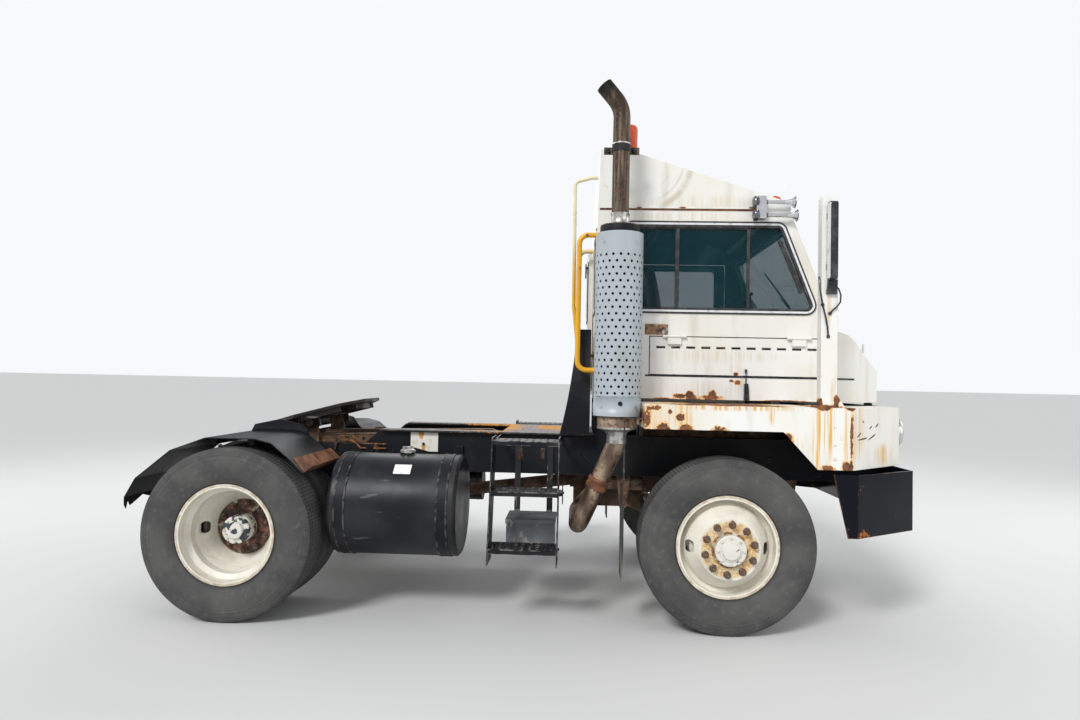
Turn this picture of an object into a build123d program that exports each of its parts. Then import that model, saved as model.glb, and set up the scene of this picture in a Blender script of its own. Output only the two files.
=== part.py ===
"""Terminal tractor (yard spotter): one-man cab, lifting fifth wheel, vertical exhaust stack.

Millimetres. +X is forward, +Y is the truck's left side, +Z is up. The origin is on the
ground, half way along and across the truck. Lengths along X are mostly given from the
front axle, which is where the truck was measured from.
"""
from math import cos, radians, sin
from pathlib import Path

from build123d import *

PARTS = Path("parts")
PARTS.mkdir(exist_ok=True)
for old_file in PARTS.glob("*.step"):
    old_file.unlink()

RIGHT, LEFT = -1, 1
SIDES = ((RIGHT, "right"), (LEFT, "left"))

# Whole truck
WHEELBASE = 2946
FRONT_OVERHANG = 1160
REAR_OVERHANG = 634
FRONT_AXLE = (WHEELBASE + REAR_OVERHANG - FRONT_OVERHANG) / 2
REAR_AXLE = FRONT_AXLE - WHEELBASE
RUN = 0.3  # play between a shaft and its bore, or a moving face and its seat

# Tyres and disc wheels
TYRE_RADIUS = 515
TYRE_WIDTH = 279
TREAD_WIDTH = 216
BEAD_RADIUS = 285.75
RIM_RADIUS = 298.5
RIM_WIDTH = 234
RIM_WALL = 9
WELL_RADIUS = 256
DISC_OUTSET = 168
DISC_WALL = 12
BOLT_FACE_RADIUS = 176
HAND_HOLE_RADIUS = 218
HAND_HOLE = (74, 40)
FRONT_WHEEL_Y = 1005
DUAL_SPACING = 2 * DISC_OUTSET
OUTER_DUAL_Y = 1092
AXLE_Z = TYRE_RADIUS
DRUM_RADIUS = 212
DRUM_WALL = 14
HUB_RADIUS = 84
SPINDLE_RADIUS = 40

# Steering
KINGPIN_Y = 850
KINGPIN_RADIUS = 22
BOSS_RADIUS = 48
BOSS_HEIGHT = 130
EAR_HEIGHT = 34
ARM_BACK = 190
ARM_HALF = 26
BALL_PIN_RADIUS = 13
TIE_ROD_RADIUS = 21

# Frame
RAIL_Y = 432
RAIL_FLANGE = 80
RAIL_WALL = 9.5
RAIL_TOP = 1095
RAIL_BOTTOM = 825
REAR_RAIL_TOP = 1000
REAR_RAIL_BOTTOM = 745
RAIL_REAR = REAR_AXLE - 554
DROP_START = REAR_AXLE + 696
DROP_END = REAR_AXLE + 596
RAIL_INSIDE = RAIL_Y - RAIL_WALL

# Front sheet metal
FENDER_Y = 1180
FENDER_INSIDE = 560
FENDER_TOP = 1340
FENDER_BOTTOM = 985
ARCH_BOTTOM = 1195
FENDER_REAR = FRONT_AXLE - 497
FENDER_FOLD = FRONT_AXLE + 688
FENDER_FRONT = FRONT_AXLE + 1105
FENDER_CORNER_Y = 805
SHEET = 8
BUMPER_FRONT = FRONT_AXLE + FRONT_OVERHANG
BUMPER_TOP = 959
BUMPER_BOTTOM = 599
BUMPER_WALL = 12
RAIL_FRONT = BUMPER_FRONT - BUMPER_WALL
BUMPER_CORNER_Y = 872

# Cab
CAB_RIGHT = -700
CAB_LEFT = 1060
CAB_BOTTOM = 1361
CAB_REAR = FRONT_AXLE - 775
CAB_FRONT = FRONT_AXLE + 1085
SEAM_Z = 2589
WALL = 40
NOSE_SHEET = 12
SIDE_SPLIT = FRONT_AXLE + 700
PILLAR_TOP = (FRONT_AXLE + 457, SEAM_Z)
HEADER = 90
COWL_TOP = (FRONT_AXLE + 762, 1815)
COWL_FOLD = (FRONT_AXLE + 829, 1792)
NOSE_TOP = (CAB_FRONT, 1564)
NOSE_FOLD = FRONT_AXLE + 875
NOSE_CORNER = 180
FLOOR_HEIGHT = 40
ROOF_REAR_TOP = SEAM_Z + 389
CAB_PIVOT = (FRONT_AXLE + 1080, CAB_BOTTOM - 16)
CAB_PIVOT_Y = 390
CAB_PIN_RADIUS = 9
GRILLE_BACK = FENDER_FRONT - 8

# Lifting fifth wheel
BOOM_PIVOT = (FRONT_AXLE - 1480, 970)
TRUNNION = (REAR_AXLE + 166, 1128)
BOOM_ARM_Y = 225
BOOM_ARM_WIDTH = 90
BOOM_PIN_RADIUS = 38
TRUNNION_Y = 318
TRUNNION_RADIUS = 28
PLATE_HALF_WIDTH = 430
PLATE_FRONT = 385
PLATE_REAR = 330
PLATE_THICKNESS = 22
THROAT_DEPTH = 70
PLATE_RISE = 78
RIB_DEPTH = 36
RAMP = 12
EAR_WALL = 23.4
PLATE_REST_TILT = 15
KINGPIN_HOLE = 26.5
LIFT_FOOT = (REAR_AXLE + 731, 462)
LIFT_EYE = (LIFT_FOOT[0], 925)
LIFT_Y = 120
LIFT_PIN_RADIUS = 20
EYE_PLAY = 8  # the rod's eye is the linkage's open joint
BARREL_RADIUS = 55
ROD_RADIUS = 30

# Stack
STACK = (FRONT_AXLE - 645, -950)
SHIELD_RADIUS = 145
SHIELD_BOTTOM = 1257
SHIELD_TOP = 2368
MUFFLER_RADIUS = 120
PIPE_RADIUS = 53


def block(x, y, z, mode=Mode.ADD):
    """Box between the two values given along each axis."""
    centre = ((x[0] + x[1]) / 2, (y[0] + y[1]) / 2, (z[0] + z[1]) / 2)
    with Locations(centre):
        Box(abs(x[1] - x[0]), abs(y[1] - y[0]), abs(z[1] - z[0]), mode=mode)


def side_slab(points, y, mode=Mode.ADD):
    """Outline of (x, z) points, as thick as the two y values lie apart."""
    with BuildSketch(Plane.XZ.offset(-max(y))) as outline:
        with BuildLine():
            Polyline(*points, close=True)
        make_face()
    extrude(outline.sketch, amount=abs(y[1] - y[0]), mode=mode)


def plan_slab(points, z, mode=Mode.ADD):
    """Outline of (x, y) points, as tall as the two z values lie apart."""
    with BuildSketch(Plane.XY.offset(min(z))) as outline:
        with BuildLine():
            Polyline(*points, close=True)
        make_face()
    extrude(outline.sketch, amount=abs(z[1] - z[0]), mode=mode)


def cross_slab(points, x, mode=Mode.ADD):
    """Outline of (y, z) points, as long as the two x values lie apart."""
    with BuildSketch(Plane.YZ.offset(min(x))) as outline:
        with BuildLine():
            Polyline(*points, close=True)
        make_face()
    extrude(outline.sketch, amount=abs(x[1] - x[0]), mode=mode)


def bar(start, end, radius, mode=Mode.ADD):
    """Round bar from one point to another."""
    run = Vector(*end) - Vector(*start)
    with BuildSketch(Plane(origin=start, z_dir=run.normalized())) as outline:
        Circle(radius)
    extrude(outline.sketch, amount=run.length, mode=mode)


def pipe(points, radius, bend, mode=Mode.ADD):
    """Bent tube or bar through the points."""
    with BuildLine() as route:
        FilletPolyline(*points, radius=bend)
    with BuildSketch(route.line ^ 0) as outline:
        Circle(radius)
    sweep(outline.sketch, path=route.line, mode=mode)


def save(piece, name):
    """Label a finished piece and write it under its node's name."""
    piece.part.label = name
    export_step(piece.part, str(PARTS / f"{name}.step"))


def wheel_plane(x, y, side):
    """Section plane through a wheel: local x points outboard, local y up."""
    return Plane(origin=(x, side * y, AXLE_Z), x_dir=(0, side, 0), z_dir=(side, 0, 0))


def turned(x, y, side, profile, mode=Mode.ADD):
    """Solid of revolution about the axle line, from (outboard, radius) points."""
    with BuildSketch(wheel_plane(x, y, side)) as outline:
        with BuildLine():
            Polyline(*profile, close=True)
        make_face()
    revolve(outline.sketch, axis=Axis((x, 0, AXLE_Z), (0, 1, 0)), mode=mode)


def tyre_ring(x, y, side):
    """Tyre: flat tread, square shoulders, walls that bulge in few flats, and narrow beads."""
    half, tread = TYRE_WIDTH / 2, TREAD_WIDTH / 2
    inner = BEAD_RADIUS + RUN
    bead = RIM_WIDTH / 2 - RIM_WALL - RUN
    lip = RIM_RADIUS + 2
    bulge = (TYRE_RADIUS + lip) / 2
    with BuildSketch(wheel_plane(x, y, side)) as outline:
        with BuildLine():
            right_wall = [(bead, inner), (bead, lip), (half - 8, bulge - 60), (half, bulge),
                          (half - 5, bulge + 45),
                          (tread + 14, TYRE_RADIUS - 24), (tread, TYRE_RADIUS)]
            Polyline(*right_wall, *[(-w, r) for w, r in reversed(right_wall)], close=True)
        make_face()
    revolve(outline.sketch, axis=Axis((x, 0, AXLE_Z), (0, 1, 0)))


def rim_profile():
    """Rolled rim: flange, bead seat and drop centre, all one gauge."""
    edge = RIM_WIDTH / 2
    outer = [(-edge, RIM_RADIUS), (-edge + RIM_WALL, RIM_RADIUS), (-edge + RIM_WALL, BEAD_RADIUS),
             (-58, BEAD_RADIUS), (-38, WELL_RADIUS), (28, WELL_RADIUS), (48, BEAD_RADIUS),
             (edge - RIM_WALL, BEAD_RADIUS), (edge - RIM_WALL, RIM_RADIUS), (edge, RIM_RADIUS)]
    inner = [(edge, BEAD_RADIUS - RIM_WALL), (52, BEAD_RADIUS - RIM_WALL), (32, WELL_RADIUS - RIM_WALL),
             (-42, WELL_RADIUS - RIM_WALL), (-62, BEAD_RADIUS - RIM_WALL), (-edge, BEAD_RADIUS - RIM_WALL)]
    return outer + inner


def disc_profile(face):
    """Pressed disc from the rim's well to the bolt face, dished out towards face."""
    sign = 1 if face > 0 else -1
    depth = abs(face)
    points = [(40, WELL_RADIUS - 4), (78, 236), (depth - 26, 196), (depth, BOLT_FACE_RADIUS),
              (depth, HUB_RADIUS)]
    back = [(depth - DISC_WALL, HUB_RADIUS), (depth - DISC_WALL, BOLT_FACE_RADIUS - 8),
            (depth - 34, 184), (72, 226), (14, WELL_RADIUS - 4)]
    return [(sign * w, r) for w, r in points + back]


def disc_wheel(x, y, side, face):
    """Rim with its disc and two hand holes; face is the bolt face's outboard offset."""
    turned(x, y, side, rim_profile())
    turned(x, y, side, disc_profile(face))
    with BuildSketch(Plane(origin=(x, side * y, AXLE_Z), x_dir=(1, 0, 0), z_dir=(0, side, 0))) as holes:
        with PolarLocations(HAND_HOLE_RADIUS, 2):
            SlotOverall(HAND_HOLE[0], HAND_HOLE[1], rotation=90)
    extrude(holes.sketch, amount=face, mode=Mode.SUBTRACT)


def drum(x, y, side, inboard, outboard):
    """Brake drum: a cup, open inboard, with a bore for the axle's spindle end."""
    inside = DRUM_RADIUS - DRUM_WALL
    turned(x, y, side, [(inboard, inside), (inboard, DRUM_RADIUS), (outboard, DRUM_RADIUS),
                        (outboard, HUB_RADIUS),
                        (outboard - DRUM_WALL, HUB_RADIUS), (outboard - DRUM_WALL, inside)])


def hub(x, y, side, inboard, outboard, bore_end):
    """Hub and cap, bored from the inboard side for the spindle."""
    bore = SPINDLE_RADIUS + RUN
    turned(x, y, side, [(inboard, bore), (inboard, HUB_RADIUS), (outboard - 34, HUB_RADIUS),
                        (outboard - 26, 70),
                        (outboard, 62), (outboard, 0), (bore_end, 0), (bore_end, bore)])


# Wheels. The front disc's bolt face stands outboard of its rim, so hub and studs show.
for side, hand in SIDES:
    with BuildPart() as front_tyre:
        tyre_ring(FRONT_AXLE, FRONT_WHEEL_Y, side)
    save(front_tyre, f"front_tyre_{hand}")

    with BuildPart() as front_wheel:
        disc_wheel(FRONT_AXLE, FRONT_WHEEL_Y, side, DISC_OUTSET)
        drum(FRONT_AXLE, FRONT_WHEEL_Y, side, -60, 66)
        hub(FRONT_AXLE, FRONT_WHEEL_Y, side, 6, DISC_OUTSET + 44, DISC_OUTSET + 12)
    save(front_wheel, f"front_wheel_{hand}")

    with BuildPart() as rear_tyres:
        for dual_y in (OUTER_DUAL_Y, OUTER_DUAL_Y - DUAL_SPACING):
            tyre_ring(REAR_AXLE, dual_y, side)
    save(rear_tyres, f"rear_tyres_{hand}")

    with BuildPart() as rear_wheels:
        disc_wheel(REAR_AXLE, OUTER_DUAL_Y, side, -DISC_OUTSET)
        disc_wheel(REAR_AXLE, OUTER_DUAL_Y - DUAL_SPACING, side, DISC_OUTSET)
        drum(REAR_AXLE, OUTER_DUAL_Y, side, -DISC_OUTSET - 170, -DISC_OUTSET - DISC_WALL)
        hub(REAR_AXLE, OUTER_DUAL_Y, side, -DISC_OUTSET - 120, -34, -80)
    save(rear_wheels, f"rear_wheels_{hand}")

# Steering knuckles: forked about the beam's boss, spindle outboard, arm to the rear.
SPINDLE_END = FRONT_WHEEL_Y + DISC_OUTSET + 12 - 6
for side, hand in SIDES:
    with BuildPart() as knuckle:
        for step in (-1, 1):
            ear_near = AXLE_Z + step * (BOSS_HEIGHT / 2 + RUN)
            ear_far = ear_near + step * EAR_HEIGHT
            bar((FRONT_AXLE, side * KINGPIN_Y, min(ear_near, ear_far)),
                (FRONT_AXLE, side * KINGPIN_Y, max(ear_near, ear_far)), BOSS_RADIUS)
            block((FRONT_AXLE - BOSS_RADIUS, FRONT_AXLE + BOSS_RADIUS),
                  (side * KINGPIN_Y, side * (KINGPIN_Y + 90)), (ear_near, ear_far))
        block((FRONT_AXLE - BOSS_RADIUS, FRONT_AXLE + BOSS_RADIUS),
              (side * (KINGPIN_Y + BOSS_RADIUS + 8), side * (KINGPIN_Y + 90)),
              (AXLE_Z - BOSS_HEIGHT / 2 - EAR_HEIGHT, AXLE_Z + BOSS_HEIGHT / 2 + EAR_HEIGHT))
        bar((FRONT_AXLE, side * (KINGPIN_Y + 90), AXLE_Z), (FRONT_AXLE, side * SPINDLE_END, AXLE_Z),
            SPINDLE_RADIUS)
        bar((FRONT_AXLE, side * KINGPIN_Y, AXLE_Z - BOSS_HEIGHT / 2 - EAR_HEIGHT),
            (FRONT_AXLE, side * KINGPIN_Y, AXLE_Z + BOSS_HEIGHT / 2 + EAR_HEIGHT), KINGPIN_RADIUS)
        ear_top = AXLE_Z - BOSS_HEIGHT / 2 - RUN
        plan_slab([(FRONT_AXLE, side * (KINGPIN_Y + ARM_HALF + 8)),
                   (FRONT_AXLE, side * (KINGPIN_Y - ARM_HALF - 8)),
                   (FRONT_AXLE - ARM_BACK, side * (KINGPIN_Y - ARM_HALF)),
                   (FRONT_AXLE - ARM_BACK - ARM_HALF, side * KINGPIN_Y),
                   (FRONT_AXLE - ARM_BACK, side * (KINGPIN_Y + ARM_HALF))],
                  (ear_top - EAR_HEIGHT, ear_top))
        bar((FRONT_AXLE - ARM_BACK, side * KINGPIN_Y, ear_top - EAR_HEIGHT - 62),
            (FRONT_AXLE - ARM_BACK, side * KINGPIN_Y, ear_top - EAR_HEIGHT), BALL_PIN_RADIUS)
    save(knuckle, f"knuckle_{hand}")

BALL_Z = AXLE_Z - BOSS_HEIGHT / 2 - RUN - EAR_HEIGHT - 34
with BuildPart() as tie_rod:
    rod_x = FRONT_AXLE - ARM_BACK
    bar((rod_x, -KINGPIN_Y, BALL_Z), (rod_x, KINGPIN_Y, BALL_Z), TIE_ROD_RADIUS)
    for side, play in ((RIGHT, RUN), (LEFT, 3)):
        bar((rod_x, side * KINGPIN_Y, BALL_Z - 26), (rod_x, side * KINGPIN_Y, BALL_Z + 26), 28)
        bar((rod_x, side * KINGPIN_Y, BALL_Z - 27), (rod_x, side * KINGPIN_Y, BALL_Z + 27),
            BALL_PIN_RADIUS + play, mode=Mode.SUBTRACT)
save(tie_rod, "tie_rod")

# Front axle: forged I-beam, dropped between its spring pads.
SPRING_Y = 432
BEAM_LOW = 470
with BuildPart() as front_axle:
    outline = [(-KINGPIN_Y, AXLE_Z + 44), (-700, AXLE_Z + 30), (-570, BEAM_LOW), (570, BEAM_LOW),
               (700, AXLE_Z + 30), (KINGPIN_Y, AXLE_Z + 44), (KINGPIN_Y, AXLE_Z - 44), (690, AXLE_Z - 58),
               (540, BEAM_LOW - 98), (-540, BEAM_LOW - 98), (-690, AXLE_Z - 58), (-KINGPIN_Y, AXLE_Z - 44)]
    cross_slab(outline, (FRONT_AXLE - 46, FRONT_AXLE + 46))
    for face in (-1, 1):
        pocket = [(-500, BEAM_LOW - 16), (500, BEAM_LOW - 16), (500, BEAM_LOW - 82), (-500, BEAM_LOW - 82)]
        cross_slab(pocket, (FRONT_AXLE + face * 12, FRONT_AXLE + face * 46), mode=Mode.SUBTRACT)
    for side, hand in SIDES:
        bar((FRONT_AXLE, side * KINGPIN_Y, AXLE_Z - BOSS_HEIGHT / 2),
            (FRONT_AXLE, side * KINGPIN_Y, AXLE_Z + BOSS_HEIGHT / 2), BOSS_RADIUS)
        bar((FRONT_AXLE, side * KINGPIN_Y, AXLE_Z - BOSS_HEIGHT / 2),
            (FRONT_AXLE, side * KINGPIN_Y, AXLE_Z + BOSS_HEIGHT / 2), KINGPIN_RADIUS + RUN,
            mode=Mode.SUBTRACT)
        block((FRONT_AXLE - 70, FRONT_AXLE + 70), (side * (SPRING_Y - 42), side * (SPRING_Y + 42)),
              (BEAM_LOW - 2, BEAM_LOW + 14))
save(front_axle, "front_axle")

# Leaf springs, with the hangers that carry their eyes on the rails.
LEAF = 13
LEAF_SPAN = 560
EYE_Z = 640
with BuildPart() as front_springs:
    for side, hand in SIDES:
        for order, reach in enumerate((LEAF_SPAN, 470, 330, 190)):
            low = BEAM_LOW + 14 + (3 - order) * LEAF
            rise = (EYE_Z - low) * (reach / LEAF_SPAN) ** 2
            with BuildSketch(Plane.XZ.offset(-side * SPRING_Y)):
                with BuildLine():
                    ThreePointArc((FRONT_AXLE - reach, low + rise), (FRONT_AXLE, low),
                                  (FRONT_AXLE + reach, low + rise))
                    Line((FRONT_AXLE + reach, low + rise), (FRONT_AXLE + reach, low + rise + LEAF))
                    ThreePointArc((FRONT_AXLE + reach, low + rise + LEAF), (FRONT_AXLE, low + LEAF),
                                  (FRONT_AXLE - reach, low + rise + LEAF))
                    Line((FRONT_AXLE - reach, low + rise + LEAF), (FRONT_AXLE - reach, low + rise))
                make_face()
            extrude(amount=38, both=True)
        block((FRONT_AXLE - 60, FRONT_AXLE + 60), (side * (SPRING_Y - 38), side * (SPRING_Y + 38)),
              (BEAM_LOW + 14, BEAM_LOW + 100))
        for end in (-1, 1):
            x = FRONT_AXLE + end * LEAF_SPAN
            bar((x, side * (SPRING_Y - 50), EYE_Z), (x, side * (SPRING_Y + 38), EYE_Z), 27)
            side_slab([(x - 50, RAIL_BOTTOM), (x + 50, RAIL_BOTTOM), (x + 22, EYE_Z - 22),
                       (x - 22, EYE_Z - 22)],
                      (side * (SPRING_Y - 60), side * (SPRING_Y - 38)))
save(front_springs, "front_springs")

# Ladder frame: two channel rails, stepped down under the fifth wheel, with the lift cylinders' hangers.
RAIL_OUTLINE = [(RAIL_FRONT, RAIL_BOTTOM), (RAIL_FRONT, RAIL_TOP), (DROP_START, RAIL_TOP),
                (DROP_END, REAR_RAIL_TOP),
                (RAIL_REAR + 230, REAR_RAIL_TOP), (RAIL_REAR, REAR_RAIL_TOP - 100),
                (RAIL_REAR, REAR_RAIL_BOTTOM),
                (DROP_END - 40, REAR_RAIL_BOTTOM), (DROP_START - 40, RAIL_BOTTOM)]
# Crossmembers: back x, front x, bottom z, top z
CROSSMEMBERS = ((FRONT_AXLE + 1060, RAIL_FRONT, 840, 1080),
                (FRONT_AXLE + 690, FRONT_AXLE + 810, 835, 870),
                (FRONT_AXLE - 1010, FRONT_AXLE - 930, 850, 1070),
                (REAR_AXLE - 234, REAR_AXLE - 174, 770, 960),
                (RAIL_REAR, RAIL_REAR + 60, 760, 890))
with BuildPart() as frame:
    for side, hand in SIDES:
        side_slab(RAIL_OUTLINE, (side * (RAIL_Y - RAIL_FLANGE), side * RAIL_Y))
        with BuildSketch(Plane.XZ.offset(-max(side * RAIL_INSIDE, side * (RAIL_Y - RAIL_FLANGE)))):
            with BuildLine():
                Polyline(*RAIL_OUTLINE, close=True)
            make_face()
            offset(amount=-RAIL_WALL, kind=Kind.INTERSECTION, mode=Mode.REPLACE)
        extrude(amount=RAIL_FLANGE - RAIL_WALL, mode=Mode.SUBTRACT)
    for back, front, low, high in CROSSMEMBERS:
        block((back, front), (-RAIL_INSIDE, RAIL_INSIDE), (low, high))
    bar((BOOM_PIVOT[0], -RAIL_INSIDE, BOOM_PIVOT[1]), (BOOM_PIVOT[0], RAIL_INSIDE, BOOM_PIVOT[1]),
        BOOM_PIN_RADIUS)
    fx, fz = LIFT_FOOT
    hanger_y = RAIL_Y - RAIL_FLANGE
    for side, hand in SIDES:
        side_slab([(fx - 50, fz - 40), (fx + 50, fz - 40), (fx + 90, RAIL_TOP - 60),
                   (fx - 20, RAIL_TOP - 60)],
                  (side * (hanger_y - 12), side * hanger_y))
    bar((fx, -hanger_y, fz), (fx, hanger_y, fz), LIFT_PIN_RADIUS)
save(frame, "frame")

# Cab carriers: pivot brackets in front, rest posts behind.
REST_X = (FRONT_AXLE - 765, FRONT_AXLE - 690)
GUSSET_X = (FRONT_AXLE - 984, FRONT_AXLE - 690)
with BuildPart() as cab_mounts:
    for side, hand in SIDES:
        x, z = CAB_PIVOT
        side_slab([(x - 90, RAIL_TOP), (GRILLE_BACK, RAIL_TOP), (GRILLE_BACK, z - 6), (x + 15, z + 8),
                   (x + 6, z + 18), (x - 18, z + 18)],
                  (side * (CAB_PIVOT_Y - 12), side * (CAB_PIVOT_Y + 12)))
        bar((x, side * (CAB_PIVOT_Y - 12), z), (x, side * (CAB_PIVOT_Y + 46), z), CAB_PIN_RADIUS)
        block(REST_X, (side * (RAIL_Y - RAIL_FLANGE), side * RAIL_Y), (RAIL_TOP, CAB_BOTTOM - RUN - 30))
        bar((sum(REST_X) / 2, side * (RAIL_Y - RAIL_FLANGE / 2), CAB_BOTTOM - RUN - 30),
            (sum(REST_X) / 2, side * (RAIL_Y - RAIL_FLANGE / 2), CAB_BOTTOM - RUN), 34)
        side_slab([(GUSSET_X[0], RAIL_TOP - 12), (GUSSET_X[1], RAIL_TOP - 12), (GUSSET_X[1], RAIL_BOTTOM)],
                  (side * RAIL_Y, side * (RAIL_Y + 12)))
        block(REST_X, (side * RAIL_Y, side * (RAIL_Y + 12)), (RAIL_TOP - 14, RAIL_TOP + 60))
    block(REST_X, (-(RAIL_Y - RAIL_FLANGE), RAIL_Y - RAIL_FLANGE), (CAB_BOTTOM - 130, CAB_BOTTOM - 60))
save(cab_mounts, "cab_mounts")

# Outriggers from the rails to the front sheet metal.
with BuildPart() as outriggers:
    for side, hand in SIDES:
        for x in (FRONT_AXLE - 470, FRONT_AXLE + 630):
            arm = [(RAIL_Y - 70, RAIL_TOP), (RAIL_Y, RAIL_TOP), (RAIL_Y + 120, ARCH_BOTTOM + 40),
                   (FENDER_Y - SHEET, FENDER_TOP - SHEET - 60), (FENDER_Y - SHEET, FENDER_TOP - SHEET),
                   (RAIL_Y - 70, FENDER_TOP - SHEET)]
            cross_slab([(side * y, z) for y, z in arm], (x - 6, x + 6))
save(outriggers, "outriggers")

# Front fenders: flat-topped boxes, folded in at the front corner, open below and inboard.
FENDER_SIDE = [(FENDER_REAR, ARCH_BOTTOM), (FRONT_AXLE + 296, ARCH_BOTTOM),
               (FRONT_AXLE + 490, FENDER_BOTTOM),
               (FENDER_FRONT, FENDER_BOTTOM), (FENDER_FRONT, FENDER_TOP), (FENDER_REAR, FENDER_TOP)]
for side, hand in SIDES:
    plan = [(FENDER_REAR, FENDER_INSIDE), (FENDER_REAR, FENDER_Y), (FENDER_FOLD, FENDER_Y),
            (FENDER_FRONT, FENDER_CORNER_Y), (FENDER_FRONT, FENDER_INSIDE)]
    inside = [(FENDER_REAR + SHEET, FENDER_INSIDE - 10), (FENDER_REAR + SHEET, FENDER_Y - SHEET),
              (FENDER_FOLD - 3, FENDER_Y - SHEET), (FENDER_FRONT - SHEET, FENDER_CORNER_Y - 3),
              (FENDER_FRONT - SHEET, FENDER_INSIDE - 10)]
    with BuildPart() as fender:
        side_slab(FENDER_SIDE, (side * FENDER_INSIDE, side * FENDER_Y))
        plan_slab([(x, side * y) for x, y in plan], (FENDER_BOTTOM, FENDER_TOP), mode=Mode.INTERSECT)
        plan_slab([(x, side * y) for x, y in inside], (FENDER_BOTTOM, FENDER_TOP - SHEET),
                  mode=Mode.SUBTRACT)
    save(fender, f"front_fender_{hand}")

# Bumper: one bent plate with raked ends.
with BuildPart() as bumper:
    outer = [(FRONT_AXLE + 580, FENDER_Y), (FRONT_AXLE + 718, FENDER_Y), (BUMPER_FRONT, BUMPER_CORNER_Y),
             (BUMPER_FRONT, -BUMPER_CORNER_Y), (FRONT_AXLE + 718, -FENDER_Y), (FRONT_AXLE + 580, -FENDER_Y)]
    inner = [(FRONT_AXLE + 560, FENDER_Y - BUMPER_WALL), (FRONT_AXLE + 714, FENDER_Y - BUMPER_WALL),
             (BUMPER_FRONT - BUMPER_WALL, BUMPER_CORNER_Y - 6),
             (BUMPER_FRONT - BUMPER_WALL, 6 - BUMPER_CORNER_Y),
             (FRONT_AXLE + 714, BUMPER_WALL - FENDER_Y), (FRONT_AXLE + 560, BUMPER_WALL - FENDER_Y)]
    plan_slab(outer, (BUMPER_BOTTOM, BUMPER_TOP))
    plan_slab(inner, (BUMPER_BOTTOM, BUMPER_TOP), mode=Mode.SUBTRACT)
    side_slab([(FRONT_AXLE + 560, BUMPER_BOTTOM - 1), (FRONT_AXLE + 664, BUMPER_BOTTOM - 1),
               (FRONT_AXLE + 580, BUMPER_TOP), (FRONT_AXLE + 560, BUMPER_TOP)],
              (-FENDER_Y, FENDER_Y), mode=Mode.SUBTRACT)
save(bumper, "bumper")

# Lower grille between the fenders.
SLOTS = 6
SLOT_HEIGHT = 20
with BuildPart() as grille:
    block((GRILLE_BACK, FENDER_FRONT), (-FENDER_INSIDE, FENDER_INSIDE), (RAIL_TOP + 1, FENDER_TOP))
    for side, hand in SIDES:
        block((GRILLE_BACK, FENDER_FRONT), (side * (RAIL_Y + 12), side * FENDER_INSIDE),
              (FENDER_BOTTOM, RAIL_TOP + 1))
    pitch = (FENDER_TOP - RAIL_TOP) / (SLOTS + 1)
    for row in range(SLOTS):
        z = RAIL_TOP + pitch * (row + 1)
        for middle in (-250, 250):
            block((GRILLE_BACK, FENDER_FRONT), (middle - 225, middle + 225),
                  (z - SLOT_HEIGHT / 2, z + SLOT_HEIGHT / 2), mode=Mode.SUBTRACT)
save(grille, "grille")

with BuildPart() as headlamps:
    for side, hand in SIDES:
        bar((FENDER_FRONT, side * 682, 1180), (FENDER_FRONT + 34, side * 682, 1180), 92)
save(headlamps, "headlamps")

# Mirror posts on the fenders' outer edges, open inboard, each on a base plate.
POST_X = (FRONT_AXLE + 500, FRONT_AXLE + 593)
POST_Y = (FENDER_Y - 65, FENDER_Y)
POST_TOP = 2560
BASE = 12
with BuildPart() as mirror_posts:
    for side, hand in SIDES:
        near, far = side * POST_Y[0], side * POST_Y[1]
        block((POST_X[0] - 25, POST_X[1] + 45), (near - side * 25, far), (FENDER_TOP, FENDER_TOP + BASE))
        block(POST_X, (near, far), (FENDER_TOP + BASE, POST_TOP))
        block((POST_X[0] + 6, POST_X[1] - 6), (near - side * 1, far - side * 6),
              (FENDER_TOP + BASE, POST_TOP - 6), mode=Mode.SUBTRACT)
        side_slab([(POST_X[1], FENDER_TOP + BASE), (POST_X[1] + 40, FENDER_TOP + BASE),
                   (POST_X[1], FENDER_TOP + 75)], (far - side * 8, far))
save(mirror_posts, "mirror_posts")

MIRROR_X = (FRONT_AXLE + 528, FRONT_AXLE + 566)
MIRROR_Z = (2070, 2518)
MIRROR_WIDTH = 75
with BuildPart() as mirror_heads:
    for side, hand in SIDES:
        with BuildSketch(Plane.YZ.offset(MIRROR_X[0])):
            with Locations((side * (FENDER_Y + MIRROR_WIDTH / 2), sum(MIRROR_Z) / 2)):
                RectangleRounded(MIRROR_WIDTH, MIRROR_Z[1] - MIRROR_Z[0], 26)
        extrude(amount=MIRROR_X[1] - MIRROR_X[0])
save(mirror_heads, "mirror_heads")

# Mud flaps behind the front wheels, on straps from the fenders.
FLAP_X = (FRONT_AXLE - 612, FRONT_AXLE - 604)
with BuildPart() as mudflaps:
    for side, hand in SIDES:
        block(FLAP_X, (side * 880, side * 1130), (290, 845))
        block(FLAP_X, (side * 1105, side * 1135), (700, ARCH_BOTTOM + 60))
        block((FLAP_X[0], FENDER_REAR), (side * 1105, side * 1135), (ARCH_BOTTOM + 52, ARCH_BOTTOM + 60))
save(mudflaps, "mudflaps")

# Engine with gearbox, as plain masses on their mounts.
with BuildPart() as engine:
    block((FRONT_AXLE - 420, FRONT_AXLE + 480), (-300, 300), (700, 1290))
    block((FRONT_AXLE - 900, FRONT_AXLE - 420), (-200, 200), (580, 900))
    for x in (FRONT_AXLE - 300, FRONT_AXLE + 330):
        block((x - 40, x + 40), (-RAIL_INSIDE, RAIL_INSIDE), (900, 980))
save(engine, "engine")

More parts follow.
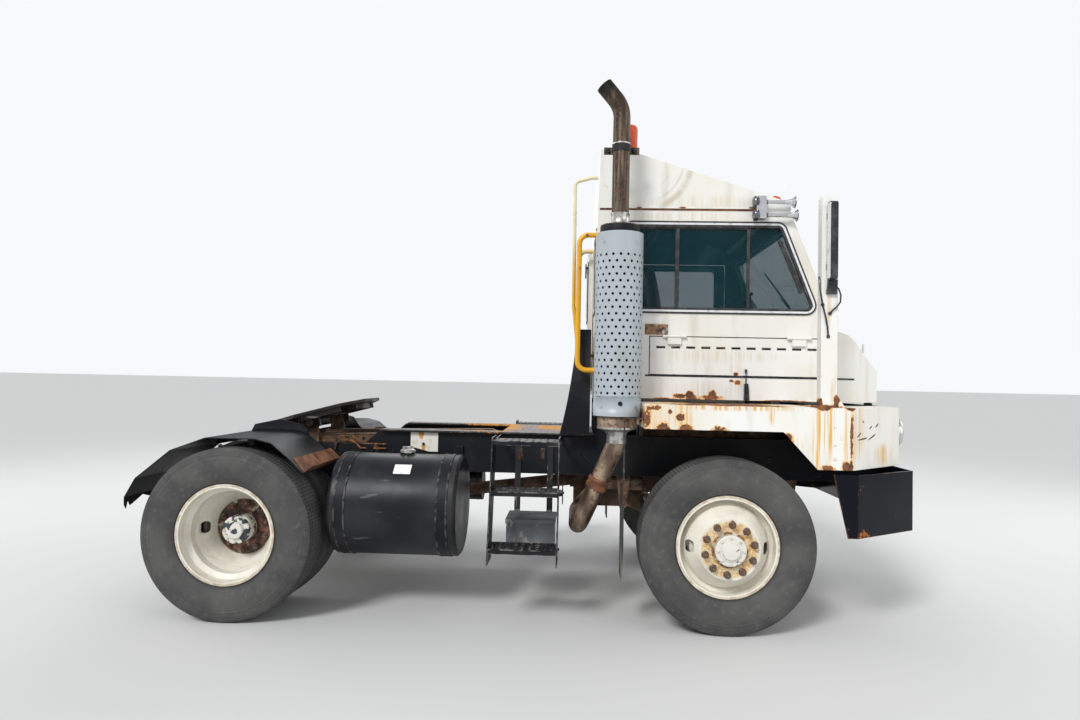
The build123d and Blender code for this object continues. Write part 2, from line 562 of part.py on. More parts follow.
with BuildPart() as radiator:
    block((FRONT_AXLE + 700, FRONT_AXLE + 800), (-345, 345), (870, 1330))
    block((FRONT_AXLE + 480, FRONT_AXLE + 700), (-70, 70), (1000, 1140))
save(radiator, "radiator")

# Rear axle, bolted up to the rails without springs.
with BuildPart() as rear_axle:
    bar((REAR_AXLE, -730, AXLE_Z), (REAR_AXLE, 730, AXLE_Z), 70)
    bar((REAR_AXLE, -1005, AXLE_Z), (REAR_AXLE, 1005, AXLE_Z), SPINDLE_RADIUS)
    bar((REAR_AXLE - 110, 0, AXLE_Z), (REAR_AXLE + 110, 0, AXLE_Z), 190)
    with BuildSketch(Plane.YZ.offset(REAR_AXLE + 110)):
        with Locations((0, AXLE_Z)):
            Circle(120)
    with BuildSketch(Plane.YZ.offset(REAR_AXLE + 330)):
        with Locations((0, AXLE_Z + 10)):
            Circle(60)
    loft()
    for side, hand in SIDES:
        block((REAR_AXLE - 90, REAR_AXLE + 90), (side * (RAIL_Y - RAIL_FLANGE), side * RAIL_Y),
              (AXLE_Z, REAR_RAIL_BOTTOM))
save(rear_axle, "rear_axle")

with BuildPart() as driveshaft:
    bar((REAR_AXLE + 350, 0, AXLE_Z + 12), (FRONT_AXLE - 920, 0, 738), 45)
    bar((REAR_AXLE + 330, 0, AXLE_Z + 10), (REAR_AXLE + 356, 0, AXLE_Z + 10), 60)
    bar((FRONT_AXLE - 926, 0, 740), (FRONT_AXLE - 900, 0, 740), 60)
save(driveshaft, "driveshaft")

# Fuel tank on its straps, right side.
TANK_RADIUS = 317
TANK_AXIS = (-RAIL_Y - 20 - TANK_RADIUS, 657)
TANK_GAP = 42
TANK_X = (REAR_AXLE + TYRE_RADIUS + TANK_GAP, FRONT_AXLE - 1604)
TANK_CAP = (sum(TANK_X) / 2 + 28.5, TANK_AXIS[0])
NECK_RADIUS = 42
with BuildPart() as fuel_tank:
    with BuildSketch(Plane.YZ.offset(TANK_X[0])):
        with Locations(TANK_AXIS):
            Circle(TANK_RADIUS)
    extrude(amount=TANK_X[1] - TANK_X[0])
    chamfer(fuel_tank.edges().filter_by(GeomType.CIRCLE), 16)
    bar((*TANK_CAP, TANK_AXIS[1] + TANK_RADIUS - 4), (*TANK_CAP, TANK_AXIS[1] + TANK_RADIUS + 22),
        NECK_RADIUS)
save(fuel_tank, "fuel_tank")

STRAPS = (TANK_X[0] + 79, TANK_X[1] - 86)
with BuildPart() as tank_straps:
    for x in STRAPS:
        with BuildSketch(Plane.YZ.offset(x - 28)):
            with Locations(TANK_AXIS):
                Circle(TANK_RADIUS + 4)
                Circle(TANK_RADIUS + RUN, mode=Mode.SUBTRACT)
        extrude(amount=56)
        block((x - 28, x + 28), (-RAIL_Y, -RAIL_Y - 17), (REAR_RAIL_BOTTOM - 60, REAR_RAIL_TOP))
save(tank_straps, "tank_straps")

# Left side: air tanks under the rail, where the right side has the fuel tank.
AIR_X = (TANK_X[0] + 49, TANK_X[1] - 36)
AIR_RADIUS = 130
with BuildPart() as air_tanks:
    for z in (600, 900):
        bar((AIR_X[0], RAIL_Y + 150, z), (AIR_X[1], RAIL_Y + 150, z), AIR_RADIUS)
    for x in (AIR_X[0] + 140, AIR_X[1] - 160):
        block((x - 25, x + 25), (RAIL_Y, RAIL_Y + 40), (520, REAR_RAIL_TOP))
save(air_tanks, "air_tanks")

# Batteries hang low behind the right ladder, on two hangers from the rail.
BATTERY_X = (FRONT_AXLE - 1326, FRONT_AXLE - 1016)
BATTERY_Z = (385, 572)
HANGER = 12
with BuildPart() as battery_box:
    block(BATTERY_X, (-RAIL_Y - 322, -RAIL_Y - HANGER), BATTERY_Z)
    block((BATTERY_X[0] - 6, BATTERY_X[1] + 6), (-RAIL_Y - 328, -RAIL_Y - HANGER),
          (BATTERY_Z[1] - 28, BATTERY_Z[1]))
    for x in (BATTERY_X[0] + 45, BATTERY_X[1] - 45):
        block((x - 20, x + 20), (-RAIL_Y - HANGER, -RAIL_Y), (BATTERY_Z[0], RAIL_TOP - 60))
        block((x - 20, x + 20), (-RAIL_Y - 322, -RAIL_Y), (BATTERY_Z[0] - HANGER, BATTERY_Z[0]))
save(battery_box, "battery_box")

# Step ladders: three grip treads between rails that lean out at the foot.
LADDER_X = (FRONT_AXLE - 1401, FRONT_AXLE - 988)
# Treads: inner y, top z
TREADS = ((810, 1094), (900, 801), (980, 479))
TREAD_DEPTH = 200
TREAD_LIP = 30
TREAD_SHEET = 4
LADDER_RAIL = 8
with BuildPart() as ladders:
    for side, hand in SIDES:
        for x in (LADDER_X[0], LADDER_X[1] - LADDER_RAIL):
            rail = [(806, RAIL_TOP + 15), (1010, RAIL_TOP + 15), (1190, 380), (980, 380)]
            cross_slab([(side * y, z) for y, z in rail], (x, x + LADDER_RAIL))
            block((x, x + LADDER_RAIL), (side * RAIL_Y, side * 860),
                  (RAIL_TOP - 50, RAIL_TOP - 5))
        for inner_y, top in TREADS:
            outer_y = inner_y + TREAD_DEPTH
            block(LADDER_X, (side * inner_y, side * outer_y), (top - TREAD_LIP, top))
            block((LADDER_X[0] + LADDER_RAIL, LADDER_X[1] - LADDER_RAIL),
                  (side * (inner_y + TREAD_SHEET), side * (outer_y - TREAD_SHEET)),
                  (top - TREAD_LIP, top - TREAD_SHEET), mode=Mode.SUBTRACT)
save(ladders, "ladders")

# Deck behind the cab, open over the boom.
DECK_TOP = RAIL_TOP + 10
with BuildPart() as deck:
    block((DROP_START + 20, FRONT_AXLE - 770), (-470, 470), (RAIL_TOP, DECK_TOP))
    block((DROP_START, FRONT_AXLE - 1400), (-335, 335), (RAIL_TOP, DECK_TOP), mode=Mode.SUBTRACT)
save(deck, "deck")

TOWER_Y = (-560, -160)
TOWER_TOP = 1809
TOWER_SHEET = 8
with BuildPart() as hose_tower:
    for y in (TOWER_Y[0], TOWER_Y[1] - TOWER_SHEET):
        with BuildSketch(Plane.XZ.offset(-(y + TOWER_SHEET))):
            with BuildLine():
                Polyline((FRONT_AXLE - 1000, DECK_TOP), (FRONT_AXLE - 800, DECK_TOP),
                         (FRONT_AXLE - 800, TOWER_TOP),
                         (FRONT_AXLE - 896, TOWER_TOP))
                Spline((FRONT_AXLE - 896, TOWER_TOP), (FRONT_AXLE - 925, TOWER_TOP - 309),
                       (FRONT_AXLE - 1000, DECK_TOP))
            make_face()
        extrude(amount=TOWER_SHEET)
    block((FRONT_AXLE - 800 - TOWER_SHEET, FRONT_AXLE - 800), TOWER_Y, (DECK_TOP, TOWER_TOP))
    block((FRONT_AXLE - 896, FRONT_AXLE - 800), TOWER_Y, (TOWER_TOP - TOWER_SHEET, TOWER_TOP))
save(hose_tower, "hose_tower")

# Rear fenders: one folded sheet over each pair of twins, with an upstand inboard.
FLAT_Z = AXLE_Z + TYRE_RADIUS + 52
# Folds: x from the rear axle, height from the flat top
FENDER_FOLDS = [(-630, -366), (-567, -251), (-359, -79), (-148, 0), (155, 0), (256, -24), (369, -117),
                (456, -198)]
FENDER_HUMP = [(-148, 0), (-126, 44), (46, 82), (210, 46), (256, -24), (155, 0)]
REAR_SHEET = 5
REAR_FENDER_Y = (556, 1185)
with BuildPart() as rear_fenders:
    for side, hand in SIDES:
        over = [(REAR_AXLE + x, FLAT_Z + z) for x, z in FENDER_FOLDS]
        closed = over + [(over[-1][0], 300), (over[0][0], 300)]
        near, far = side * REAR_FENDER_Y[0], side * REAR_FENDER_Y[1]
        side_slab(closed, (near, far))
        with BuildSketch(Plane.XZ.offset(-max(near, far))):
            with BuildLine():
                Polyline(*closed, close=True)
            make_face()
            offset(amount=-REAR_SHEET, kind=Kind.INTERSECTION, mode=Mode.REPLACE)
        extrude(amount=abs(far - near), mode=Mode.SUBTRACT)
        block((over[0][0] - 1, over[0][0] + 400), (near, far), (290, over[0][1]), mode=Mode.SUBTRACT)
        block((over[-1][0] - 900, over[-1][0] + 1), (near, far), (290, over[-1][1]), mode=Mode.SUBTRACT)
        side_slab([(REAR_AXLE + x, FLAT_Z + z) for x, z in FENDER_HUMP], (near, near + side * REAR_SHEET))
        for x in (REAR_AXLE - 114, REAR_AXLE + 116):
            block((x - 20, x + 20), (side * RAIL_Y, side * 1150), (FLAT_Z - 40, FLAT_Z - REAR_SHEET))
            block((x - 20, x + 20), (side * RAIL_Y, side * (RAIL_Y + 12)),
                  (REAR_RAIL_TOP - 120, FLAT_Z - 40))
save(rear_fenders, "rear_fenders")

# Exhaust: elbow from the engine, muffler inside the shield, stack with a curved tip.
sx, sy = STACK
MUFFLER_Z = (1190, 2420)
STACK_BEND = 3160
with BuildPart() as exhaust_pipe:
    pipe([(sx, sy, MUFFLER_Z[0] + 60), (sx, sy, MUFFLER_Z[0] - 100), (sx - 225, sy + 30, 578),
          (sx - 225, -345, 578), (FRONT_AXLE - 700, -262, 762), (FRONT_AXLE - 420, -262, 762)], 57, 75)
    bar((sx, sy, MUFFLER_Z[0]), (sx, sy, MUFFLER_Z[1]), MUFFLER_RADIUS)
    pipe([(sx, sy, MUFFLER_Z[1] - 20), (sx, sy, STACK_BEND), (sx - 112, sy, STACK_BEND + 136)],
         PIPE_RADIUS, 190)
    block((sx - 105, sx + 115), (sy + PIPE_RADIUS - 6, sy + PIPE_RADIUS + 2), (2880, 2925))
    pipe([(sx, sy, STACK_BEND - 220), (sx, sy, STACK_BEND), (sx - 113, sy, STACK_BEND + 137.2)],
         PIPE_RADIUS - 4, 190, mode=Mode.SUBTRACT)
save(exhaust_pipe, "exhaust_pipe")

with BuildPart() as heat_shield:
    bar((sx, sy, SHIELD_BOTTOM), (sx, sy, SHIELD_TOP), SHIELD_RADIUS)
    bar((sx, sy, SHIELD_BOTTOM), (sx, sy, SHIELD_TOP), SHIELD_RADIUS - 3, mode=Mode.SUBTRACT)
    for z in (SHIELD_BOTTOM + 60, SHIELD_TOP - 60):
        for turn in range(0, 360, 90):
            angle = radians(turn + 45)
            bar((sx + (MUFFLER_RADIUS + RUN) * cos(angle), sy + (MUFFLER_RADIUS + RUN) * sin(angle), z),
                (sx + (SHIELD_RADIUS - 1) * cos(angle), sy + (SHIELD_RADIUS - 1) * sin(angle), z), 8)
save(heat_shield, "heat_shield")

# Cab floor, with ears on the pivot pins.
with BuildPart() as cab_floor:
    block((CAB_REAR + WALL, SIDE_SPLIT), (CAB_RIGHT + WALL, CAB_LEFT - WALL),
          (CAB_BOTTOM, CAB_BOTTOM + FLOOR_HEIGHT))
    block((SIDE_SPLIT, CAB_PIVOT[0] - 60), (-500, 560), (CAB_BOTTOM, CAB_BOTTOM + FLOOR_HEIGHT))
    for side, hand in SIDES:
        x, z = CAB_PIVOT
        near, far = side * (CAB_PIVOT_Y + 12 + RUN), side * (CAB_PIVOT_Y + 40)
        side_slab([(x - 260, CAB_BOTTOM), (x - 40, CAB_BOTTOM), (x - 12, z - 13), (x + 12, z - 13),
                   (x + 14, z + 6), (x - 4, z + 24), (x - 40, CAB_BOTTOM + FLOOR_HEIGHT),
                   (x - 260, CAB_BOTTOM + FLOOR_HEIGHT)], (near, far))
        bar((x, min(near, far) - 1, z), (x, max(near, far) + 1, z), CAB_PIN_RADIUS + RUN,
            mode=Mode.SUBTRACT)
save(cab_floor, "cab_floor")


def pillar_x(z, back=0):
    """Front edge of the raked windscreen pillar at a height, or a parallel line behind it."""
    (x0, z0), (x1, z1) = COWL_TOP, PILLAR_TOP
    return x0 + (x1 - x0) * (z - z0) / (z1 - z0) - back


def pillar_z(x):
    """Height of the raked pillar's front edge at a place along the cab."""
    (x0, z0), (x1, z1) = COWL_TOP, PILLAR_TOP
    return z0 + (z1 - z0) * (x - x0) / (x1 - x0)


# Right wall: raked window, and an opening for the engine's side panel.
WINDOW_Z = (1932, SEAM_Z - 97)
WINDOW_REAR = FRONT_AXLE - 600
PANEL_X = (FRONT_AXLE - 430, FRONT_AXLE + 680)
PANEL_Z = (1513, 1766)
GAP = 6
SPLIT_TOP = pillar_z(SIDE_SPLIT)
WALL_OUTLINE = [(CAB_REAR, CAB_BOTTOM), (SIDE_SPLIT, CAB_BOTTOM), (SIDE_SPLIT, SPLIT_TOP),
                PILLAR_TOP, (CAB_REAR, SEAM_Z)]
RIGHT_WINDOW = [(WINDOW_REAR, WINDOW_Z[0]), (pillar_x(WINDOW_Z[0], 85), WINDOW_Z[0]),
                (pillar_x(WINDOW_Z[1], 85), WINDOW_Z[1]), (WINDOW_REAR, WINDOW_Z[1])]


def rounded_window(points, y, radius, mode=Mode.SUBTRACT):
    """Window outline of (x, z) points with rounded corners, through a side wall."""
    with BuildSketch(Plane.XZ.offset(-max(y))) as opening:
        with BuildLine():
            Polyline(*points, close=True)
        make_face()
        fillet(opening.vertices(), radius)
    extrude(opening.sketch, amount=abs(y[1] - y[0]), mode=mode)


RIGHT_WALL_Y = (CAB_RIGHT, CAB_RIGHT + WALL)
HINGE_PIN = 6
HINGE_RING = 11
PANEL_HINGE = (CAB_RIGHT - HINGE_RING - 1, PANEL_Z[1] - GAP / 2)
PANEL_HINGES = (PANEL_X[0] + 160, PANEL_X[1] - 160)
with BuildPart() as right_wall:
    side_slab(WALL_OUTLINE, RIGHT_WALL_Y)
    rounded_window(RIGHT_WINDOW, RIGHT_WALL_Y, 45)
    block(PANEL_X, RIGHT_WALL_Y, PANEL_Z, mode=Mode.SUBTRACT)
    for x in PANEL_HINGES:
        for start in (x - 75, x + 45):
            bar((start, *PANEL_HINGE), (start + 30, *PANEL_HINGE), HINGE_RING)
            block((start, start + 30), (CAB_RIGHT, PANEL_HINGE[0]),
                  (PANEL_Z[1], PANEL_HINGE[1] + HINGE_RING))
        bar((x - 75, *PANEL_HINGE), (x + 75, *PANEL_HINGE), HINGE_PIN)
save(right_wall, "cab_right_wall")

# Left wall with the driver's door opening, and a fixed quarter window ahead of it.
DOOR_X = (FRONT_AXLE - 330, FRONT_AXLE + 400)
DOOR_Z = (1410, SEAM_Z - 79)
LEFT_WALL_Y = (CAB_LEFT - WALL, CAB_LEFT)
QUARTER_WINDOW = [(CAB_REAR + 90, WINDOW_Z[0]), (DOOR_X[0] - 70, WINDOW_Z[0]),
                  (DOOR_X[0] - 70, WINDOW_Z[1]), (CAB_REAR + 90, WINDOW_Z[1])]
DOOR_HINGE = (DOOR_X[1] - GAP / 2, CAB_LEFT + HINGE_RING + 1)
DOOR_HINGES = (DOOR_Z[0] + 150, DOOR_Z[1] - 150)
with BuildPart() as left_wall:
    side_slab(WALL_OUTLINE, LEFT_WALL_Y)
    block(DOOR_X, LEFT_WALL_Y, DOOR_Z, mode=Mode.SUBTRACT)
    rounded_window(QUARTER_WINDOW, LEFT_WALL_Y, 45)
    for z in DOOR_HINGES:
        bar((*DOOR_HINGE, z - 75), (*DOOR_HINGE, z + 75), HINGE_PIN)
        for end in (z - 75, z + 45):
            plan_slab([(DOOR_HINGE[0], DOOR_HINGE[1] - HINGE_RING), (DOOR_X[1] + 40, CAB_LEFT),
                       (DOOR_X[1] + 40, CAB_LEFT + 6), (DOOR_HINGE[0], DOOR_HINGE[1] + HINGE_RING)],
                       (end, end + 30))
save(left_wall, "cab_left_wall")

# Rear wall: sliding door opening behind the driver, window on the right, door tracks outside.
REAR_DOOR_Y = (60, 560)
REAR_DOOR_Z = (1430, SEAM_Z - 169)
REAR_WINDOW = (-340, SEAM_Z - 374)
REAR_WINDOW_SIZE = (440, 530)
REAR_DOOR_WINDOW = (sum(REAR_DOOR_Y) / 2, REAR_DOOR_Z[1] - 270)
REAR_DOOR_PANE = (380, 420)
CORNER = 45
REAR_WALL_X = (CAB_REAR, CAB_REAR + WALL)
SLIDE_X = (CAB_REAR - 6 - 34, CAB_REAR - 6)
TRACK = 20
TRACK_DROP = 34
with BuildPart() as rear_wall:
    block(REAR_WALL_X, (CAB_RIGHT + WALL, CAB_LEFT - WALL), (CAB_BOTTOM, SEAM_Z))
    block(REAR_WALL_X, REAR_DOOR_Y, REAR_DOOR_Z, mode=Mode.SUBTRACT)
    with BuildSketch(Plane.YZ.offset(REAR_WALL_X[0])):
        with Locations(REAR_WINDOW):
            RectangleRounded(*REAR_WINDOW_SIZE, CORNER)
    extrude(amount=WALL, mode=Mode.SUBTRACT)
    for z in (REAR_DOOR_Z[0] - TRACK_DROP, REAR_DOOR_Z[1] + 14):
        block((SLIDE_X[0] - 4, CAB_REAR), (30, CAB_LEFT), (z, z + TRACK))
save(rear_wall, "cab_rear_wall")

# Roof: a wedge-shaped cap, hollow below.
ROOF_LIP = SEAM_Z + 51
ROOF_PEAK = ROOF_REAR_TOP - 23
ROOF_WALL = 17
ROOF_OUTLINE = [(CAB_REAR, SEAM_Z), (PILLAR_TOP[0] + 10, SEAM_Z), (FRONT_AXLE + 456, ROOF_LIP),
                (FRONT_AXLE - 529, ROOF_PEAK), (CAB_REAR + 12, ROOF_REAR_TOP)]
BEACON = (FRONT_AXLE - 571, CAB_RIGHT + 70)
BEACON_BASE = ROOF_REAR_TOP - 8
BEACON_HEIGHT = 190
with BuildPart() as roof:
    side_slab(ROOF_OUTLINE, (CAB_RIGHT, CAB_LEFT))
    hollow = [(CAB_REAR + WALL, SEAM_Z - 1), (PILLAR_TOP[0] - 30, SEAM_Z - 1),
              (FRONT_AXLE + 430, ROOF_LIP - 12),
              (FRONT_AXLE - 535, ROOF_PEAK - ROOF_WALL), (CAB_REAR + WALL, ROOF_REAR_TOP - 28)]
    side_slab(hollow, (CAB_RIGHT + WALL, CAB_LEFT - WALL), mode=Mode.SUBTRACT)
    bar((*BEACON, BEACON_BASE - 25), (*BEACON, BEACON_BASE), 38)
save(roof, "roof")

# Cab front: nose with folded corners, sloping cowl and the raked windscreen surround.
SCREEN_LOW = 1870
COWL_LINE = 2000
COWL_EDGE = COWL_TOP[1] + 7
NOSE_OUTLINE = [(SIDE_SPLIT, CAB_BOTTOM), (CAB_FRONT, CAB_BOTTOM), NOSE_TOP, COWL_FOLD, COWL_TOP,
                (SIDE_SPLIT, SPLIT_TOP)]
with BuildPart() as nose_hollow:
    side_slab([(SIDE_SPLIT - 1, CAB_BOTTOM - 1), (CAB_FRONT - NOSE_SHEET, CAB_BOTTOM - 1),
               (CAB_FRONT - NOSE_SHEET, NOSE_TOP[1] - 6), (COWL_FOLD[0] - 6, COWL_FOLD[1] - NOSE_SHEET),
               (SIDE_SPLIT - 1, COWL_EDGE)], (CAB_RIGHT + WALL, CAB_LEFT - WALL))
    plan_slab([(SIDE_SPLIT - 1, CAB_RIGHT + WALL), (NOSE_FOLD - 4, CAB_RIGHT + WALL),
               (CAB_FRONT - NOSE_SHEET, CAB_RIGHT + NOSE_CORNER + 5),
               (CAB_FRONT - NOSE_SHEET, CAB_LEFT - NOSE_CORNER - 5),
               (NOSE_FOLD - 4, CAB_LEFT - WALL), (SIDE_SPLIT - 1, CAB_LEFT - WALL)],
              (CAB_BOTTOM - 1, COWL_LINE), mode=Mode.INTERSECT)

with BuildPart() as cab_front:
    side_slab(NOSE_OUTLINE, (CAB_RIGHT, CAB_LEFT))
    plan_slab([(SIDE_SPLIT, CAB_RIGHT), (NOSE_FOLD, CAB_RIGHT), (CAB_FRONT, CAB_RIGHT + NOSE_CORNER),
               (CAB_FRONT, CAB_LEFT - NOSE_CORNER), (NOSE_FOLD, CAB_LEFT), (SIDE_SPLIT, CAB_LEFT)],
              (CAB_BOTTOM, COWL_LINE), mode=Mode.INTERSECT)
    add(nose_hollow.part, mode=Mode.SUBTRACT)
    for side, hand in SIDES:
        block((CAB_FRONT - NOSE_SHEET - 1, CAB_FRONT + 1),
              (side * (CAB_PIVOT_Y - 20), side * (CAB_PIVOT_Y + 54)),
              (CAB_BOTTOM - 1, CAB_BOTTOM + 26), mode=Mode.SUBTRACT)
    side_slab([COWL_TOP, PILLAR_TOP, (PILLAR_TOP[0] - 43, SEAM_Z), (SIDE_SPLIT, COWL_EDGE),
               (SIDE_SPLIT + 10, COWL_TOP[1])],
              (CAB_RIGHT + WALL, CAB_LEFT - WALL))
    block((SIDE_SPLIT - 400, SIDE_SPLIT + 100), (CAB_RIGHT + 110, CAB_LEFT - 110),
          (SCREEN_LOW, SEAM_Z - HEADER), mode=Mode.SUBTRACT)
save(cab_front, "cab_front")

# Glass panes that stay with the cab: right side, rear and windscreen.
GLASS = 6
with BuildPart() as cab_glass:
    middle = CAB_RIGHT + 14
    rounded_window(RIGHT_WINDOW, (middle, middle + GLASS), 45, mode=Mode.ADD)
    with BuildSketch(Plane.YZ.offset(CAB_REAR + 14)):
        with Locations(REAR_WINDOW):
            RectangleRounded(*REAR_WINDOW_SIZE, CORNER)
    extrude(amount=GLASS)
    side_slab([(pillar_x(SCREEN_LOW, 14), SCREEN_LOW), (pillar_x(SEAM_Z - HEADER, 14), SEAM_Z - HEADER),
               (pillar_x(SEAM_Z - HEADER, 21), SEAM_Z - HEADER), (pillar_x(SCREEN_LOW, 21), SCREEN_LOW)],
              (CAB_RIGHT + 110, CAB_LEFT - 110))
    rounded_window(QUARTER_WINDOW, (CAB_LEFT - 20, CAB_LEFT - 14), 45, mode=Mode.ADD)
save(cab_glass, "cab_glass")

# Driver's door, hinged at its front edge.
LEFT_DOOR_WINDOW = [(DOOR_X[0] + 80, WINDOW_Z[0]), (DOOR_X[1] - 70, WINDOW_Z[0]),
                    (DOOR_X[1] - 70, WINDOW_Z[1] - 20),
                    (DOOR_X[0] + 80, WINDOW_Z[1] - 20)]
with BuildPart() as left_door:
    block((DOOR_X[0] + GAP, DOOR_X[1] - GAP), LEFT_WALL_Y, (DOOR_Z[0] + GAP, DOOR_Z[1] - GAP))
    rounded_window(LEFT_DOOR_WINDOW, LEFT_WALL_Y, 45)
    for z in DOOR_HINGES:
        bar((*DOOR_HINGE, z - 44), (*DOOR_HINGE, z + 44), HINGE_RING)
        plan_slab([(DOOR_HINGE[0], DOOR_HINGE[1] + HINGE_RING), (DOOR_X[1] - 60, CAB_LEFT + 6),
                   (DOOR_X[1] - 60, CAB_LEFT),
                   (DOOR_HINGE[0] - 4, CAB_LEFT), (DOOR_HINGE[0], DOOR_HINGE[1] - HINGE_RING)],
                   (z - 44, z + 44))
        bar((*DOOR_HINGE, z - 45), (*DOOR_HINGE, z + 45), HINGE_PIN + RUN, mode=Mode.SUBTRACT)
save(left_door, "left_door")

with BuildPart() as left_door_glass:
    rounded_window(LEFT_DOOR_WINDOW, (CAB_LEFT - 20, CAB_LEFT - 14), 45, mode=Mode.ADD)
save(left_door_glass, "left_door_glass")

# Rear door, sliding along the outside of the rear wall.
with BuildPart() as rear_door:
    block(SLIDE_X, (REAR_DOOR_Y[0] - 22, REAR_DOOR_Y[1] + 22),
          (REAR_DOOR_Z[0] - TRACK_DROP + TRACK + RUN, REAR_DOOR_Z[1] + 12))
    with BuildSketch(Plane.YZ.offset(SLIDE_X[0])):
        with Locations(REAR_DOOR_WINDOW):
            RectangleRounded(*REAR_DOOR_PANE, CORNER)
    extrude(amount=34, mode=Mode.SUBTRACT)
save(rear_door, "rear_door")

with BuildPart() as rear_door_glass:
    with BuildSketch(Plane.YZ.offset(SLIDE_X[0] + 14)):
        with Locations(REAR_DOOR_WINDOW):
            RectangleRounded(*REAR_DOOR_PANE, CORNER)
    extrude(amount=GLASS)
save(rear_door_glass, "rear_door_glass")

# Louvred side panel, hinged along its top edge.
LOUVRES = 11
LOUVRE = (58, 18)
LOUVRE_PITCH = 96
LOUVRE_Z = PANEL_Z[1] - 80
with BuildPart() as side_panel:
    block((PANEL_X[0] + GAP, PANEL_X[1] - GAP), RIGHT_WALL_Y, (PANEL_Z[0] + GAP, PANEL_Z[1] - GAP))
    for count in range(LOUVRES):
        x = sum(PANEL_X) / 2 + (count - (LOUVRES - 1) / 2) * LOUVRE_PITCH
        cross_slab([(CAB_RIGHT - 1, LOUVRE_Z), (CAB_RIGHT + 13, LOUVRE_Z),
                    (CAB_RIGHT - 1, LOUVRE_Z + LOUVRE[1])],
                   (x - LOUVRE[0] / 2, x + LOUVRE[0] / 2), mode=Mode.SUBTRACT)
    for x in PANEL_HINGES:
        bar((x - 44, *PANEL_HINGE), (x + 44, *PANEL_HINGE), HINGE_RING)
        block((x - 44, x + 44), (CAB_RIGHT, PANEL_HINGE[0] - HINGE_RING + 6),
              (PANEL_HINGE[1] - 50, PANEL_HINGE[1] - 4))
        bar((x - 45, *PANEL_HINGE), (x + 45, *PANEL_HINGE), HINGE_PIN + RUN, mode=Mode.SUBTRACT)
save(side_panel, "side_panel")

# Air horns: two open bells on a common bracket.
HORN_X = (FRONT_AXLE + 228, FRONT_AXLE + 290)
BELL_RADIUS = 38
# Horns: y, z, x of the mouth
HORNS = ((CAB_RIGHT - 46, SEAM_Z + 41, FRONT_AXLE + 473), (CAB_RIGHT - 50, SEAM_Z - 44, FRONT_AXLE + 486))
with BuildPart() as horns:
    block(HORN_X, (CAB_RIGHT - 70, CAB_RIGHT), (SEAM_Z - 69, SEAM_Z + 76))
    for y, z, mouth in HORNS:
        with BuildSketch(Plane.XZ.offset(-y)) as bell:
            with BuildLine():
                Polyline((HORN_X[1] - 4, z), (HORN_X[1] - 4, z + 10), (mouth - 62, z + 13),
                         (mouth - 24, z + 20),
                         (mouth - 5, z + BELL_RADIUS - 5), (mouth, z + BELL_RADIUS),
                         (mouth, z + BELL_RADIUS - 4),
                         (mouth - 22, z + 13), (mouth - 50, z + 6), (mouth - 50, z), close=True)
            make_face()
        revolve(bell.sketch, axis=Axis((HORN_X[0], y, z), (1, 0, 0)))
save(horns, "horns")

with BuildPart() as beacon:
    bar((*BEACON, BEACON_BASE), (*BEACON, BEACON_BASE + BEACON_HEIGHT), 50)
    fillet(beacon.edges().group_by(Axis.Z)[-1], 30)
save(beacon, "beacon")

# Two grab rails beside the rear window, and a thinner, tall one that reaches the roof.
RAIL_X = FRONT_AXLE - 891
TALL_Y = -135
with BuildPart() as grab_rails:
    for y in (-640, -40):
        pipe([(CAB_REAR, y, 2427), (RAIL_X, y, 2427), (RAIL_X, y, 1536), (CAB_REAR, y, 1536)], 17, 60)
    pipe([(CAB_REAR + 10.6, TALL_Y, ROOF_REAR_TOP - 28), (CAB_REAR - 30, TALL_Y, ROOF_REAR_TOP - 28),
          (RAIL_X - 38, TALL_Y, ROOF_REAR_TOP - 60), (RAIL_X - 32, TALL_Y, 2010),
          (RAIL_X + 8, TALL_Y, 1650), (CAB_REAR, TALL_Y, 1650)], 13, 40)
save(grab_rails, "grab_rails")

# Driver's place, seen through the glass.
with BuildPart() as seat:
    block((FRONT_AXLE - 260, FRONT_AXLE + 140), (270, 690), (CAB_BOTTOM + FLOOR_HEIGHT, 1680))
    block((FRONT_AXLE - 300, FRONT_AXLE + 200), (240, 720), (1680, 1800))
    side_slab([(FRONT_AXLE - 300, 1800), (FRONT_AXLE - 180, 1800), (FRONT_AXLE - 290, 2400),
               (FRONT_AXLE - 390, 2400)],
              (250, 710))
save(seat, "seat")

with BuildPart() as dashboard:
    side_slab([(FRONT_AXLE + 560, CAB_BOTTOM + FLOOR_HEIGHT), (SIDE_SPLIT, CAB_BOTTOM + FLOOR_HEIGHT),
               (SIDE_SPLIT, 1800), (FRONT_AXLE + 520, 1900), (FRONT_AXLE + 500, 1750)],
              (CAB_RIGHT + WALL, CAB_LEFT - WALL))
    bar((FRONT_AXLE + 560, 480, 1700), (FRONT_AXLE + 320, 480, 2060), 30)
save(dashboard, "dashboard")

with BuildPart() as steering_wheel:
    tilt = Plane(origin=(FRONT_AXLE + 320, 480, 2060), z_dir=(-240, 0, 360))
    with BuildSketch(tilt):
        Circle(230)
        Circle(205, mode=Mode.SUBTRACT)
        Rectangle(420, 36)
        Circle(40)
    extrude(amount=24)
save(steering_wheel, "steering_wheel")

